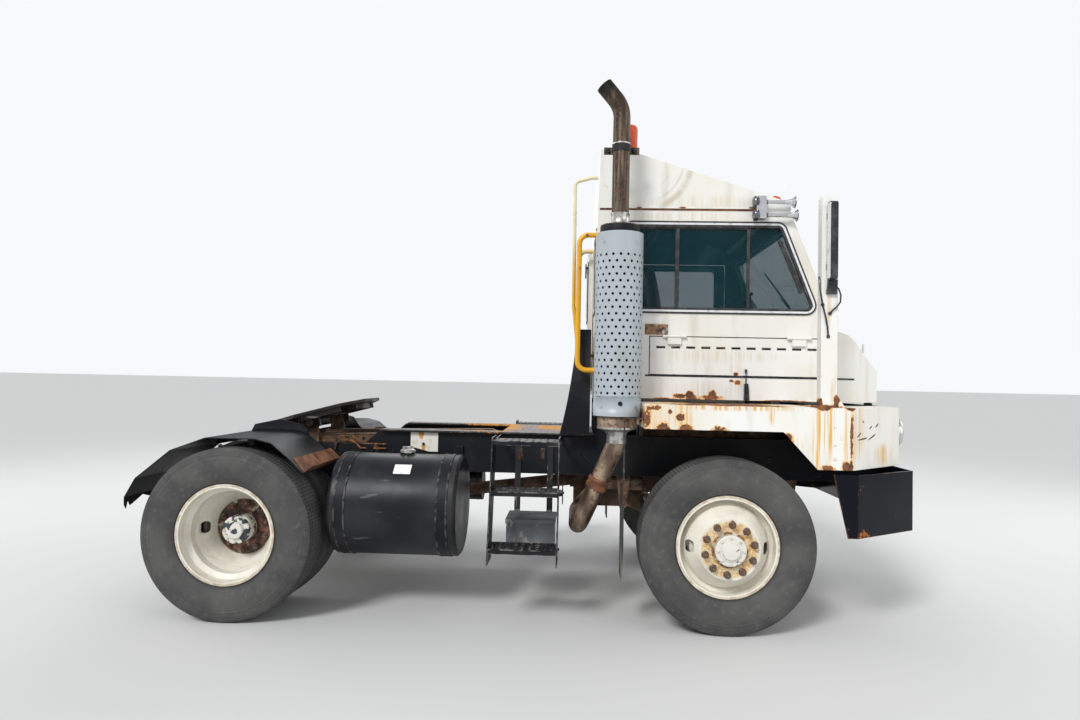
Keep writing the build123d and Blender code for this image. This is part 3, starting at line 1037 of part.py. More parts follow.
# Boom: two box arms on a cross tube, hinged behind the cab, with cheeks for the fifth wheel.
px, pz = BOOM_PIVOT
tx, tz = TRUNNION
with BuildPart() as boom:
    arm = [(px + 70, pz - 60), (px + 70, pz + 60), (px - 60, pz + 110), (tx - 60, tz - 80), (tx - 60, 900),
           (tx + 120, 870), (px - 60, pz - 80)]
    for side, hand in SIDES:
        side_slab(arm, (side * (BOOM_ARM_Y - BOOM_ARM_WIDTH / 2), side * (BOOM_ARM_Y + BOOM_ARM_WIDTH / 2)))
        cheek = [(tx - 70, 930), (tx + 70, 930), (tx + 40, tz + 34), (tx - 40, tz + 34)]
        side_slab(cheek, (side * (BOOM_ARM_Y + BOOM_ARM_WIDTH / 2), side * (TRUNNION_Y - 16)))
        bar((tx, side * 270, tz), (tx, side * (TRUNNION_Y + 24), tz), TRUNNION_RADIUS)
    bar((px, -BOOM_ARM_Y - 100, pz), (px, BOOM_ARM_Y + 100, pz), BOOM_PIN_RADIUS + 24)
    block((tx + 60, tx + 200), (-BOOM_ARM_Y, BOOM_ARM_Y), (880, 1000))
    bar((px, -BOOM_ARM_Y - 110, pz), (px, BOOM_ARM_Y + 110, pz), BOOM_PIN_RADIUS + RUN, mode=Mode.SUBTRACT)
    bar((LIFT_EYE[0], -BOOM_ARM_Y, LIFT_EYE[1]), (LIFT_EYE[0], BOOM_ARM_Y, LIFT_EYE[1]), LIFT_PIN_RADIUS)
save(boom, "boom")

# Fifth wheel plate: ribbed plate with a throat and two horns, parked rear edge down.
with BuildPart() as fifth_wheel:
    base = Plane(origin=(tx, 0, tz), x_dir=(cos(radians(PLATE_REST_TILT)), 0,
                                            sin(radians(PLATE_REST_TILT))),
                 z_dir=(-sin(radians(PLATE_REST_TILT)), 0, cos(radians(PLATE_REST_TILT))))
    with BuildSketch(base.offset(PLATE_RISE - PLATE_THICKNESS)) as plate_face:
        with BuildLine():
            Polyline((PLATE_FRONT, -190), (PLATE_FRONT - 110, -PLATE_HALF_WIDTH), (-60, -PLATE_HALF_WIDTH),
                     (-PLATE_REAR, -250), (-PLATE_REAR, -150), (-THROAT_DEPTH, -KINGPIN_HOLE),
                     (0, -KINGPIN_HOLE),
                     (0, KINGPIN_HOLE), (-THROAT_DEPTH, KINGPIN_HOLE),
                     (-PLATE_REAR, 150), (-PLATE_REAR, 250), (-60, PLATE_HALF_WIDTH),
                     (PLATE_FRONT - 110, PLATE_HALF_WIDTH), (PLATE_FRONT, 190), close=True)
        make_face()
        Circle(KINGPIN_HOLE, mode=Mode.SUBTRACT)
    extrude(amount=PLATE_THICKNESS)
    chamfer(fifth_wheel.edges().group_by(Axis.X)[0], RAMP)
    underside = base.offset(PLATE_RISE - PLATE_THICKNESS - RIB_DEPTH)
    for side in (RIGHT, LEFT):
        # Ribs: middle x, middle y, length, width
        for x, y, length, width in ((15, 200, 600, 14), (120, 408, 290, 12), (62, 374, 12, 80),
                                    (-40, 370, 12, 72),
                                    (20, 66, 150, 16)):
            with BuildSketch(underside):
                with Locations((x, side * y)):
                    Rectangle(length, width)
            extrude(amount=RIB_DEPTH)
    for x, half in ((300, 206), (100, 206)):
        with BuildSketch(underside):
            with Locations((x, 0)):
                Rectangle(14, 2 * half)
        extrude(amount=RIB_DEPTH)
    for side in (RIGHT, LEFT):
        with BuildSketch(base.offset(-40)):
            with Locations((0, side * (TRUNNION_Y + 6))):
                Rectangle(150, EAR_WALL)
        extrude(amount=PLATE_RISE - PLATE_THICKNESS + 40)
        bar((tx, side * (TRUNNION_Y - 20), tz), (tx, side * (TRUNNION_Y + 40), tz), TRUNNION_RADIUS + RUN,
            mode=Mode.SUBTRACT)
save(fifth_wheel, "fifth_wheel")

# Lift cylinders, a pair on shared pins.
with BuildPart() as lift_barrels:
    for side, hand in SIDES:
        y = side * LIFT_Y
        bar((fx, y - 30, fz), (fx, y + 30, fz), 40)
        bar((fx, y, fz + 20), (fx, y, fz + 390), BARREL_RADIUS)
        bar((fx, y, fz + 60), (fx, y, fz + 391), ROD_RADIUS + RUN, mode=Mode.SUBTRACT)
    bar((fx, -LIFT_Y - 40, fz), (fx, LIFT_Y + 40, fz), LIFT_PIN_RADIUS + RUN, mode=Mode.SUBTRACT)
save(lift_barrels, "lift_barrels")

with BuildPart() as lift_rods:
    for side, hand in SIDES:
        y = side * LIFT_Y
        bar((LIFT_EYE[0], y, fz + 70), (LIFT_EYE[0], y, LIFT_EYE[1] - 20), ROD_RADIUS)
        bar((LIFT_EYE[0], y - 28, LIFT_EYE[1]), (LIFT_EYE[0], y + 28, LIFT_EYE[1]), 44)
    bar((LIFT_EYE[0], -LIFT_Y - 40, LIFT_EYE[1]), (LIFT_EYE[0], LIFT_Y + 40, LIFT_EYE[1]),
        LIFT_PIN_RADIUS + EYE_PLAY,
        mode=Mode.SUBTRACT)
save(lift_rods, "lift_rods")
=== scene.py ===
import math

import bmesh
import bpy
from mathutils import Matrix, Vector


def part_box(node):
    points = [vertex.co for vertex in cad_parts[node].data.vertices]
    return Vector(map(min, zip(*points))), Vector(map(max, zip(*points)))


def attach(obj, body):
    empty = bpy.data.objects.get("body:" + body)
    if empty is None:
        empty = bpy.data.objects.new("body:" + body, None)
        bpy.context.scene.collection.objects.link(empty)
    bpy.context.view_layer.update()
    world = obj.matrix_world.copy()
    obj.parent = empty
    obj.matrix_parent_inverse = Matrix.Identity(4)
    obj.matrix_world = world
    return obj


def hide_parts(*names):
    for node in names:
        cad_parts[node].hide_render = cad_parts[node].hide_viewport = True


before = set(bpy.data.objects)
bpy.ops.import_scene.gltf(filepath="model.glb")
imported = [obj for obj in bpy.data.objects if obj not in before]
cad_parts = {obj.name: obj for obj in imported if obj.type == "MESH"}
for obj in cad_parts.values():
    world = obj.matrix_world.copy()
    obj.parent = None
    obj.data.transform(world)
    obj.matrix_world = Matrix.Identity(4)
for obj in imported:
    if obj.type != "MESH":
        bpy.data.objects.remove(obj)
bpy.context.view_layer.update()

# Camera. It stands on the truck's right side, level with the driver's seat, and looks almost square at it.
# The place, the lens and the small tilts are those that bring both wheels onto their places in the photograph.
CAMERA_AT = Vector((0.302, -5.379, 1.464))
LENS_MM = 24.03
TURNED, TILTED, LEANING = (math.radians(a) for a in (2.755, 1.601, 1.184))
look = Vector((-math.sin(TURNED) * math.cos(TILTED), math.cos(TURNED) * math.cos(TILTED), math.sin(TILTED)))
level = look.cross(Vector((0, 0, 1))).normalized()
above = level.cross(look)
right = level * math.cos(LEANING) + above * math.sin(LEANING)
up = above * math.cos(LEANING) - level * math.sin(LEANING)
camera = bpy.data.objects.new("camera", bpy.data.cameras.new("camera"))
camera.data.lens = LENS_MM
camera.data.sensor_width = 36
camera.matrix_world = Matrix.Translation(CAMERA_AT) @ Matrix((right, up, -look)).transposed().to_4x4()
bpy.context.collection.objects.link(camera)
bpy.context.scene.camera = camera

# Studio. A plain pale floor under a pale sky, with one broad key light from above and to the left of the
# camera, as the sun stood, and weaker lamps round the truck so that every side is lit.
FLOOR_GREY = (0.60, 0.60, 0.595, 1)
SKY = (0.93, 0.95, 0.97, 1)
SKY_LIGHT = 0.62
KEY_FROM = (-3.8, -7.0, 6.4)
KEY_STRENGTH = 2.3
LAMPS = (
    ("fill", (6.5, -6.0, 3.5), 5.0, 110),
    ("far_side", (-1.0, 8.5, 6.5), 6.0, 260),
    ("front", (9.0, 1.5, 4.5), 4.0, 150),
    ("rear", (-8.5, 1.0, 5.0), 4.0, 130),
)
bpy.context.scene.view_settings.view_transform = "Standard"
world = bpy.data.worlds.new("sky")
bpy.context.scene.world = world
world.use_nodes = True
sky_nodes, sky_links = world.node_tree.nodes, world.node_tree.links
sky_nodes["Background"].inputs["Color"].default_value = SKY
sky_nodes["Background"].inputs["Strength"].default_value = SKY_LIGHT
seen_sky = sky_nodes.new("ShaderNodeBackground")
seen_sky.inputs["Color"].default_value = SKY
ray = sky_nodes.new("ShaderNodeLightPath")
which_sky = sky_nodes.new("ShaderNodeMixShader")
sky_links.new(ray.outputs["Is Camera Ray"], which_sky.inputs["Fac"])
sky_links.new(sky_nodes["Background"].outputs[0], which_sky.inputs[1])
sky_links.new(seen_sky.outputs[0], which_sky.inputs[2])
sky_links.new(which_sky.outputs[0], sky_nodes["World Output"].inputs["Surface"])
for lamp_name, place, size, watts in LAMPS:
    lamp = bpy.data.objects.new(lamp_name, bpy.data.lights.new(lamp_name, "AREA"))
    lamp.data.size = size
    lamp.data.energy = watts
    lamp.location = place
    lamp.rotation_euler = (Vector((0, 0, 1.2)) - Vector(place)).to_track_quat("-Z", "Y").to_euler()
    bpy.context.collection.objects.link(lamp)
key = bpy.data.objects.new("key", bpy.data.lights.new("key", "SUN"))
key.data.energy = KEY_STRENGTH
key.data.angle = math.radians(16)
key.rotation_euler = (-Vector(KEY_FROM)).to_track_quat("-Z", "Y").to_euler()
bpy.context.collection.objects.link(key)
floor_mesh = bpy.data.meshes.new("floor")
floor_mesh.from_pydata([(-300, -300, 0), (300, -300, 0), (300, 300, 0), (-300, 300, 0)], [], [(0, 1, 2, 3)])
floor = bpy.data.objects.new("floor", floor_mesh)
bpy.context.collection.objects.link(floor)
floor_paint = bpy.data.materials.new("floor")
floor_paint.use_nodes = True
floor_paint.node_tree.nodes["Principled BSDF"].inputs["Base Color"].default_value = FLOOR_GREY
floor_paint.node_tree.nodes["Principled BSDF"].inputs["Roughness"].default_value = 0.9
floor_mesh.materials.append(floor_paint)

# Frame rails. Two pressed steel channels with crossmembers, painted black long ago and now dusty, with rust
# where straps and brackets rub. They carry everything else, and their webs keep rows of unused holes.
RAIL_Y = 0.432
RAIL_TOP = 1.095
RAIL_LOW = 0.825
HOLE_ROWS = ((-1.15, 0.07, 5, 1.035), (-1.15, 0.07, 5, 0.965), (-0.09, 0.068, 4, 1.020), (-0.09, 0.068, 4, 0.950))


class Finish:
    """A weathered finish. Its noise and stains are laid out in metres on the truck itself."""

    def __init__(self, name, metal=0.0):
        self.material = bpy.data.materials.new(name)
        self.material.use_nodes = True
        self.tree = self.material.node_tree
        self.shader = self.tree.nodes["Principled BSDF"]
        self.shader.inputs["Metallic"].default_value = metal
        self.place = self.node("ShaderNodeTexCoord").outputs["Object"]

    def node(self, kind, **sockets):
        made = self.tree.nodes.new(kind)
        for socket, value in sockets.items():
            self.put(made.inputs[socket], value)
        return made

    def put(self, socket, value):
        if isinstance(value, bpy.types.NodeSocket):
            self.tree.links.new(value, socket)
        else:
            socket.default_value = value

    def wear(self, **sockets):
        """Sets the shader's own sockets, named with _ for each space."""
        for socket, value in sockets.items():
            self.put(self.shader.inputs[socket.replace("_", " ")], value)
        return self.material

    def grain(self, scale, detail=4.0, stretch=(1, 1, 1), shift=0.0):
        """Cloudy noise, 0 to 1, with scale grains to the metre, drawn out along an axis by stretch."""
        laid = self.node("ShaderNodeMapping", Vector=self.place, Scale=stretch, Location=(shift, shift, shift))
        cloud = self.node("ShaderNodeTexNoise", Vector=laid.outputs["Vector"], Scale=scale, Detail=detail)
        return cloud.outputs["Fac"]

    def axis(self, letter):
        return self.node("ShaderNodeSeparateXYZ", Vector=self.place).outputs[letter]

    def calc(self, how, first, second=0.0):
        sum_node = self.tree.nodes.new("ShaderNodeMath")
        sum_node.operation = how
        self.put(sum_node.inputs[0], first)
        self.put(sum_node.inputs[1], second)
        return sum_node.outputs["Value"]

    def step(self, value, low, high):
        """0 up to low, 1 from high on, and smooth between; with low above high it runs the other way."""
        ramp = self.tree.nodes.new("ShaderNodeMapRange")
        ramp.interpolation_type = "SMOOTHSTEP"
        self.put(ramp.inputs["Value"], value)
        ramp.inputs["From Min"].default_value = low
        ramp.inputs["From Max"].default_value = high
        return ramp.outputs["Result"]

    def near(self, letter, where, reach):
        """1 on the plane where x, y or z is where, and 0 from reach away."""
        off = self.calc("ABSOLUTE", self.calc("SUBTRACT", self.axis(letter), where))
        return self.step(off, reach, reach * 0.15)

    def spot(self, centre, size):
        """1 at the centre, 0 outside an ellipsoid with these half sizes."""
        moved = self.tree.nodes.new("ShaderNodeVectorMath")
        moved.operation = "SUBTRACT"
        self.put(moved.inputs[0], self.place)
        moved.inputs[1].default_value = centre
        scaled = self.tree.nodes.new("ShaderNodeVectorMath")
        scaled.operation = "DIVIDE"
        self.put(scaled.inputs[0], moved.outputs["Vector"])
        scaled.inputs[1].default_value = size
        length = self.tree.nodes.new("ShaderNodeVectorMath")
        length.operation = "LENGTH"
        self.put(length.inputs[0], scaled.outputs["Vector"])
        return self.step(length.outputs["Value"], 1.0, 0.25)

    def most(self, *masks):
        top = masks[0]
        for mask in masks[1:]:
            top = self.calc("MAXIMUM", top, mask)
        return top

    def edge(self, reach):
        """1 along the edges of a sheet or block, within reach of them, and 0 on its flats."""
        soft = self.node("ShaderNodeBevel", Radius=reach)
        soft.samples = 4
        turn = self.tree.nodes.new("ShaderNodeVectorMath")
        turn.operation = "DOT_PRODUCT"
        self.put(turn.inputs[0], soft.outputs["Normal"])
        self.put(turn.inputs[1], self.node("ShaderNodeNewGeometry").outputs["Normal"])
        return self.step(turn.outputs["Value"], 0.995, 0.90)

    def blend(self, amount, under, over):
        """The colour under, covered by the colour over where amount is 1."""
        mix = self.tree.nodes.new("ShaderNodeMix")
        mix.data_type = "RGBA"
        self.put(mix.inputs["Factor"], amount)
        self.put(mix.inputs["A"], self.colour(under))
        self.put(mix.inputs["B"], self.colour(over))
        return mix.outputs["Result"]

    def colour(self, value):
        return value if isinstance(value, bpy.types.NodeSocket) else (*value[:3], 1.0)

    def level(self, amount, low, high):
        """A number that runs from low, where amount is 0, to high, where it is 1."""
        return self.calc("ADD", self.calc("MULTIPLY", amount, high - low), low)

    def relief(self, height, depth, soften=0.0):
        """The surface pressed out by depth metres where height is 1, with its edges eased by soften metres."""
        bump = self.node("ShaderNodeBump", Height=height, Distance=depth, Strength=1.0)
        if soften:
            eased = self.node("ShaderNodeBevel", Radius=soften)
            eased.samples = 4
            self.put(bump.inputs["Normal"], eased.outputs["Normal"])
        return bump.outputs["Normal"]


RUST_DARK = (0.085, 0.030, 0.014)
RUST_WARM = (0.36, 0.135, 0.035)


def rust_colour(finish):
    """Rust that runs from dark scale to warm orange powder."""
    return finish.blend(finish.step(finish.grain(38, 6), 0.35, 0.66), RUST_DARK, RUST_WARM)


def old_black(name, rusty=0.5, gloss=0.45, dust=0.35, bare=0.35, soft=0.003):
    """Old black chassis paint: dust in clouds, edges worn bare to pale steel that also serves as painted
    highlights along them, rust along the edges and in patches. soft is how far the folds are eased."""
    finish = Finish(name)
    dusty = finish.calc("MULTIPLY", finish.step(finish.grain(3.2, 7), 0.42, 0.78), dust)
    paint = finish.blend(dusty, (0.007, 0.008, 0.011), (0.085, 0.082, 0.078))
    edges = finish.edge(0.006)
    # Edges go pale: worn bare steel, and painted highlights along every edge.
    worn_edges_and_highlights = finish.calc("MULTIPLY", finish.calc("MULTIPLY", edges, finish.step(finish.grain(24, 6), 0.44, 0.60)), bare)
    paint = finish.blend(worn_edges_and_highlights, paint, (0.30, 0.28, 0.265))
    patchy = finish.calc("ADD", finish.calc("MULTIPLY", finish.grain(7.5, 8), 0.75), finish.calc("MULTIPLY", finish.grain(40, 5), 0.25))
    patchy = finish.calc("ADD", patchy, finish.calc("MULTIPLY", edges, 0.14))
    rust = finish.step(patchy, 0.76 - 0.12 * rusty, 0.81 - 0.12 * rusty)
    return finish.wear(
        Base_Color=finish.blend(rust, paint, rust_colour(finish)),
        Roughness=finish.calc("MAXIMUM", finish.level(dusty, gloss, 0.8), finish.calc("MULTIPLY", rust, 0.9)),
        Specular_IOR_Level=0.18,
        Normal=finish.relief(finish.calc("ADD", finish.grain(60, 3), rust), 0.0006, soft),
    )


def dress(finish, *nodes):
    """Gives CAD nodes their finish."""
    for name in nodes:
        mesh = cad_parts[name].data
        mesh.materials.clear()
        mesh.materials.append(finish)


def piece(name, shape, body, finish, crisp=35):
    """Turns a finished bmesh into a piece on a body; edges sharper than crisp degrees stay sharp."""
    bmesh.ops.recalc_face_normals(shape, faces=shape.faces)
    mesh = bpy.data.meshes.new(name)
    shape.to_mesh(mesh)
    shape.free()
    mesh.materials.append(finish)
    mesh.shade_smooth()
    mesh.set_sharp_from_angle(angle=math.radians(crisp))
    made = bpy.data.objects.new(name, mesh)
    bpy.context.collection.objects.link(made)
    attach(made, body)
    return made


def aim(at, axis, roll=0.0):
    """A place whose own Z points along axis."""
    turned = Vector(axis).to_track_quat("Z", "Y").to_matrix().to_4x4()
    return Matrix.Translation(Vector(at)) @ turned @ Matrix.Rotation(roll, 4, "Z")


def lathe(shape, profile, place, steps=32):
    """Turns a profile of (radius, height) pairs round the place's Z axis; a radius of 0 closes it."""
    rings = []
    for radius, height in profile:
        if radius < 1e-6:
            rings.append([shape.verts.new(place @ Vector((0, 0, height)))])
            continue
        ring = []
        for i in range(steps):
            angle = 2 * math.pi * i / steps
            spot = Vector((radius * math.cos(angle), radius * math.sin(angle), height))
            ring.append(shape.verts.new(place @ spot))
        rings.append(ring)
    for one, two in zip(rings, rings[1:]):
        for i in range(steps):
            j = (i + 1) % steps
            corners = [one[i % len(one)], one[j % len(one)], two[j % len(two)], two[i % len(two)]]
            corners = list(dict.fromkeys(corners))
            if len(corners) > 2:
                shape.faces.new(corners)


def slab(shape, outline, place, thick):
    """A flat plate: the outline's (x, y) points in the place's own plane, raised by thick along its Z."""
    low = [shape.verts.new(place @ Vector((x, y, 0))) for x, y in outline]
    high = [shape.verts.new(place @ Vector((x, y, thick))) for x, y in outline]
    shape.faces.new(low[::-1])
    shape.faces.new(high)
    for i in range(len(outline)):
        j = (i + 1) % len(outline)
        shape.faces.new([low[i], low[j], high[j], high[i]])


def hexagon(radius):
    return [(radius * math.cos(math.radians(60 * i)), radius * math.sin(math.radians(60 * i))) for i in range(6)]


def bolt(shape, at, axis, across=0.019, roll=0.3):
    """A hexagon head on its washer, standing out of a face."""
    place = aim(at, axis, roll)
    lathe(shape, [(0, 0), (across * 0.95, 0), (across * 0.95, 0.0025), (0, 0.0025)], place, 14)
    slab(shape, hexagon(across * 0.58), place @ Matrix.Translation((0, 0, 0.002)), across * 0.62)


# The chassis paint gets less dust than the default and stays nearly black: dust, and painted shade for the frame under
# the truck.
chassis_black = old_black("chassis_black", rusty=0.50, dust=0.22)
dress(chassis_black, "frame", "cab_mounts", "outriggers")
rail_bolts = bmesh.new()
for side in (-1, 1):
    for x in (1.95, 1.62, 1.28, -0.72, -0.80, -1.05, -2.16):
        for z in (0.865, 0.955):
            bolt(rail_bolts, (x, side * RAIL_Y, z), (0, side, 0))
piece("rail_bolts", rail_bolts, "chassis", chassis_black)
# The rail holes are near-black discs laid on the webs: painted shade standing for the open holes. The same near-black
# finish serves the dark screw heads.
hole_shade_and_dark_screws = Finish("open_hole").wear(Base_Color=(0.004, 0.004, 0.004, 1), Roughness=0.9)
rail_holes = bmesh.new()
for side in (-1, 1):
    for start, pitch, count, z in HOLE_ROWS:
        for i in range(count):
            rim = [(0, 0.0012), (0.0095, 0.0012), (0.0105, 0.0018), (0.0115, 0.0), (0, 0)]
            lathe(rail_holes, rim, aim((start + pitch * i, side * RAIL_Y, z), (0, side, 0)), 16)
piece("rail_holes", rail_holes, "chassis", hole_shade_and_dark_screws)

# Rail plates and pipes. A blank white plate with one corner cut off is screwed to each web above the tank, and
# its screw has run orange. Behind it, brake pipes loop along the rail under clips, brown with rust.
def tube(shape, points, radius, steps=12):
    """A round bar, pipe or hose through the points, closed at its ends."""
    points = [Vector(point) for point in points]
    rings, across = [], None
    for i, point in enumerate(points):
        ahead = (points[min(i + 1, len(points) - 1)] - points[max(i - 1, 0)]).normalized()
        across = ahead.orthogonal() if across is None else across - ahead * across.dot(ahead)
        across.normalize()
        beside = ahead.cross(across)
        ring = []
        for k in range(steps):
            angle = 2 * math.pi * k / steps
            ring.append(shape.verts.new(point + radius * (math.cos(angle) * across + math.sin(angle) * beside)))
        rings.append(ring)
    for one, two in zip(rings, rings[1:]):
        for k in range(steps):
            j = (k + 1) % steps
            shape.faces.new([one[k], one[j], two[j], two[k]])
    shape.faces.new(rings[0][::-1])
    shape.faces.new(rings[-1])


PLATE_X = (-0.817, -0.627)
PLATE_Z = (0.957, 1.088)
white_plate = Finish("white_plate")
streak = white_plate.most(white_plate.spot((-0.744, 0, 1.078), (0.030, 0.9, 0.062)),
                          white_plate.spot((-0.727, 0, 0.985), (0.022, 0.9, 0.045)))
plate_rust = white_plate.calc("MULTIPLY", white_plate.step(streak, 0.05, 0.45),
                              white_plate.step(white_plate.grain(40, 6, (1, 1, 0.15)), 0.20, 0.48))
plate_colour = white_plate.blend(white_plate.step(white_plate.grain(30, 6), 0.5, 0.8), (0.78, 0.76, 0.70), (0.58, 0.50, 0.38))
white_plate.wear(
    Base_Color=white_plate.blend(plate_rust, plate_colour, (0.62, 0.29, 0.05)),
    Roughness=white_plate.level(plate_rust, 0.45, 0.9),
)
rail_plates = bmesh.new()
for side in (-1, 1):
    corners = [(PLATE_X[0], PLATE_Z[0] + 0.032), (PLATE_X[1] - 0.060, PLATE_Z[0]), (PLATE_X[1], PLATE_Z[0]),
               (PLATE_X[1], PLATE_Z[1]), (PLATE_X[0], PLATE_Z[1])]
    face = Matrix.Translation((0, side * (RAIL_Y + 0.0035), 0)) @ Matrix.Rotation(math.pi / 2, 4, "X")
    slab(rail_plates, corners, face, 0.003)
piece("rail_plates", rail_plates, "chassis", white_plate.material)
plate_screws = bmesh.new()
for side in (-1, 1):
    bolt(plate_screws, (-0.727, side * (RAIL_Y + 0.0035), 1.010), (0, side, 0), 0.016)
piece("plate_screws", plate_screws, "chassis", hole_shade_and_dark_screws)
brake_pipes = bmesh.new()
for side in (-1, 1):
    out = side * (RAIL_Y + 0.010)
    for drop in (0.0, 0.030):
        loop = [(-1.345, 0.985), (-1.335, 1.030), (-1.300, 1.050), (-1.225, 1.050), (-1.190, 1.025), (-1.165, 1.000), (-0.985, 1.000)]
        tube(brake_pipes, [(x, out, z - drop) for x, z in loop], 0.007, 8)
    for x in (-1.262, -1.060):
        bolt(brake_pipes, (x, side * RAIL_Y, 1.025 if x < -1.1 else 0.985), (0, side, 0), 0.020)
pipe_rust = Finish("pipe_rust", metal=0.3)
pipe_rust.wear(
    Base_Color=pipe_rust.blend(pipe_rust.step(pipe_rust.grain(22, 6), 0.35, 0.60), (0.045, 0.032, 0.026), rust_colour(pipe_rust)),
    Roughness=pipe_rust.level(pipe_rust.grain(30, 5), 0.55, 0.9),
    Normal=pipe_rust.relief(pipe_rust.grain(90, 4), 0.0008),
)
piece("brake_pipes", brake_pipes, "chassis", pipe_rust.material)

# Axles, springs and driveshaft. Bare castings and forgings in old oil and road dirt: rust-brown, darker in
# patches where oil holds the dust. U-bolts with four nuts clamp each spring pack to its axle.
AXLE_Z = 0.515
FRONT_AXLE_X = 1.210
REAR_AXLE_X = -1.736


def greasy_iron(name, bare=0.5, oil=0.5):
    """Cast or forged iron under oil, dust and rust."""
    finish = Finish(name, metal=0.25)
    grime = finish.step(finish.grain(9, 7), 0.62 - 0.2 * oil, 0.72)
    rust = finish.blend(finish.step(finish.grain(22, 6), 0.3, 0.7), (0.07, 0.045, 0.032), (0.21, 0.115, 0.065))
    pale = finish.blend(finish.calc("MULTIPLY", finish.step(finish.grain(5, 5), 0.5, 0.8), bare), rust, (0.30, 0.25, 0.20))
    return finish.wear(
        Base_Color=finish.blend(grime, pale, (0.03, 0.024, 0.02)),
        Roughness=finish.level(grime, 0.82, 0.5),
        Normal=finish.relief(finish.grain(90, 4), 0.0012, 0.004),
    )


axle_iron = greasy_iron("axle_iron")
dress(axle_iron, "front_axle", "front_springs", "rear_axle", "driveshaft", "tie_rod", "knuckle_right", "knuckle_left")
spring_clamps = bmesh.new()
SPRING_Y = 0.432
for side in (-1, 1):
    for x in (FRONT_AXLE_X - 0.11, FRONT_AXLE_X + 0.11):
        for y in (SPRING_Y - 0.052, SPRING_Y + 0.052):
            lathe(spring_clamps, [(0, 0), (0.009, 0), (0.009, 0.16), (0, 0.16)], aim((x, side * y, 0.50), (0, 0, 1)), 10)
            bolt(spring_clamps, (x, side * y, 0.52), (0, 0, -1), 0.026)
piece("spring_clamps", spring_clamps, "chassis", axle_iron)

# Tyres. Highway tyres on 22.5 inch rims: five ribs nicked along their grooves, square shoulders, and walls
# with moulded rings. The rubber has gone grey with dust, darker near the bead and where the tread meets the road.
TYRE_RADIUS = 0.515
HALF_TREAD = 0.108
GROOVES = (-0.066, -0.023, 0.023, 0.066)
GROOVE_DEPTH = 0.013
WALL_RINGS = ((0.309, 0.0035, 0.004), (0.347, 0.0012, 0.003), (0.432, 0.0012, 0.003), (0.449, 0.002, 0.004),
              (0.474, 0.0015, 0.003))
FRONT_WHEEL_Y = 1.005
DUAL_Y = (1.092, 0.756)


def wall_profile(side):
    """One side wall from bead to shoulder, its moulded rings standing a little proud."""
    points = [(0.2862, 0.100), (0.2862, 0.1075)]
    for i in range(45):
        t = i / 44
        radius = 0.3005 + (0.491 - 0.3005) * t
        out = 0.1077 + 0.0143 * t + 0.0240 * math.sin(math.pi * t ** 0.9)
        for ring, height, half_width in WALL_RINGS:
            out += height * max(0.0, 1 - (abs(radius - ring) / half_width) ** 2)
        points.append((radius, out))
    points += [(0.503, 0.1160), (0.5095, 0.1118), (0.5115, HALF_TREAD)]
    return [(radius, side * out) for radius, out in points]


def tread_profile():
    """Across the tread, from one shoulder to the other, down and up through each groove."""
    points = []
    for groove in GROOVES:
        crown = TYRE_RADIUS - 0.003 * (groove / HALF_TREAD) ** 2
        for across, down in ((-0.0058, 0), (-0.0038, GROOVE_DEPTH), (0.0038, GROOVE_DEPTH), (0.0058, 0)):
            points.append((crown - down, groove + across))
    return points


def round_axle(finish, axle_x):
    """Distance from an axle's centre line, and the turn round it from 0 to 1."""
    x = finish.calc("SUBTRACT", finish.axis("X"), axle_x)
    z = finish.calc("SUBTRACT", finish.axis("Z"), AXLE_Z)
    squares = finish.calc("ADD", finish.calc("MULTIPLY", x, x), finish.calc("MULTIPLY", z, z))
    turn = finish.calc("MULTIPLY", finish.calc("ARCTAN2", z, x), 0.5 / math.pi)
    return finish.calc("SQRT", squares), turn


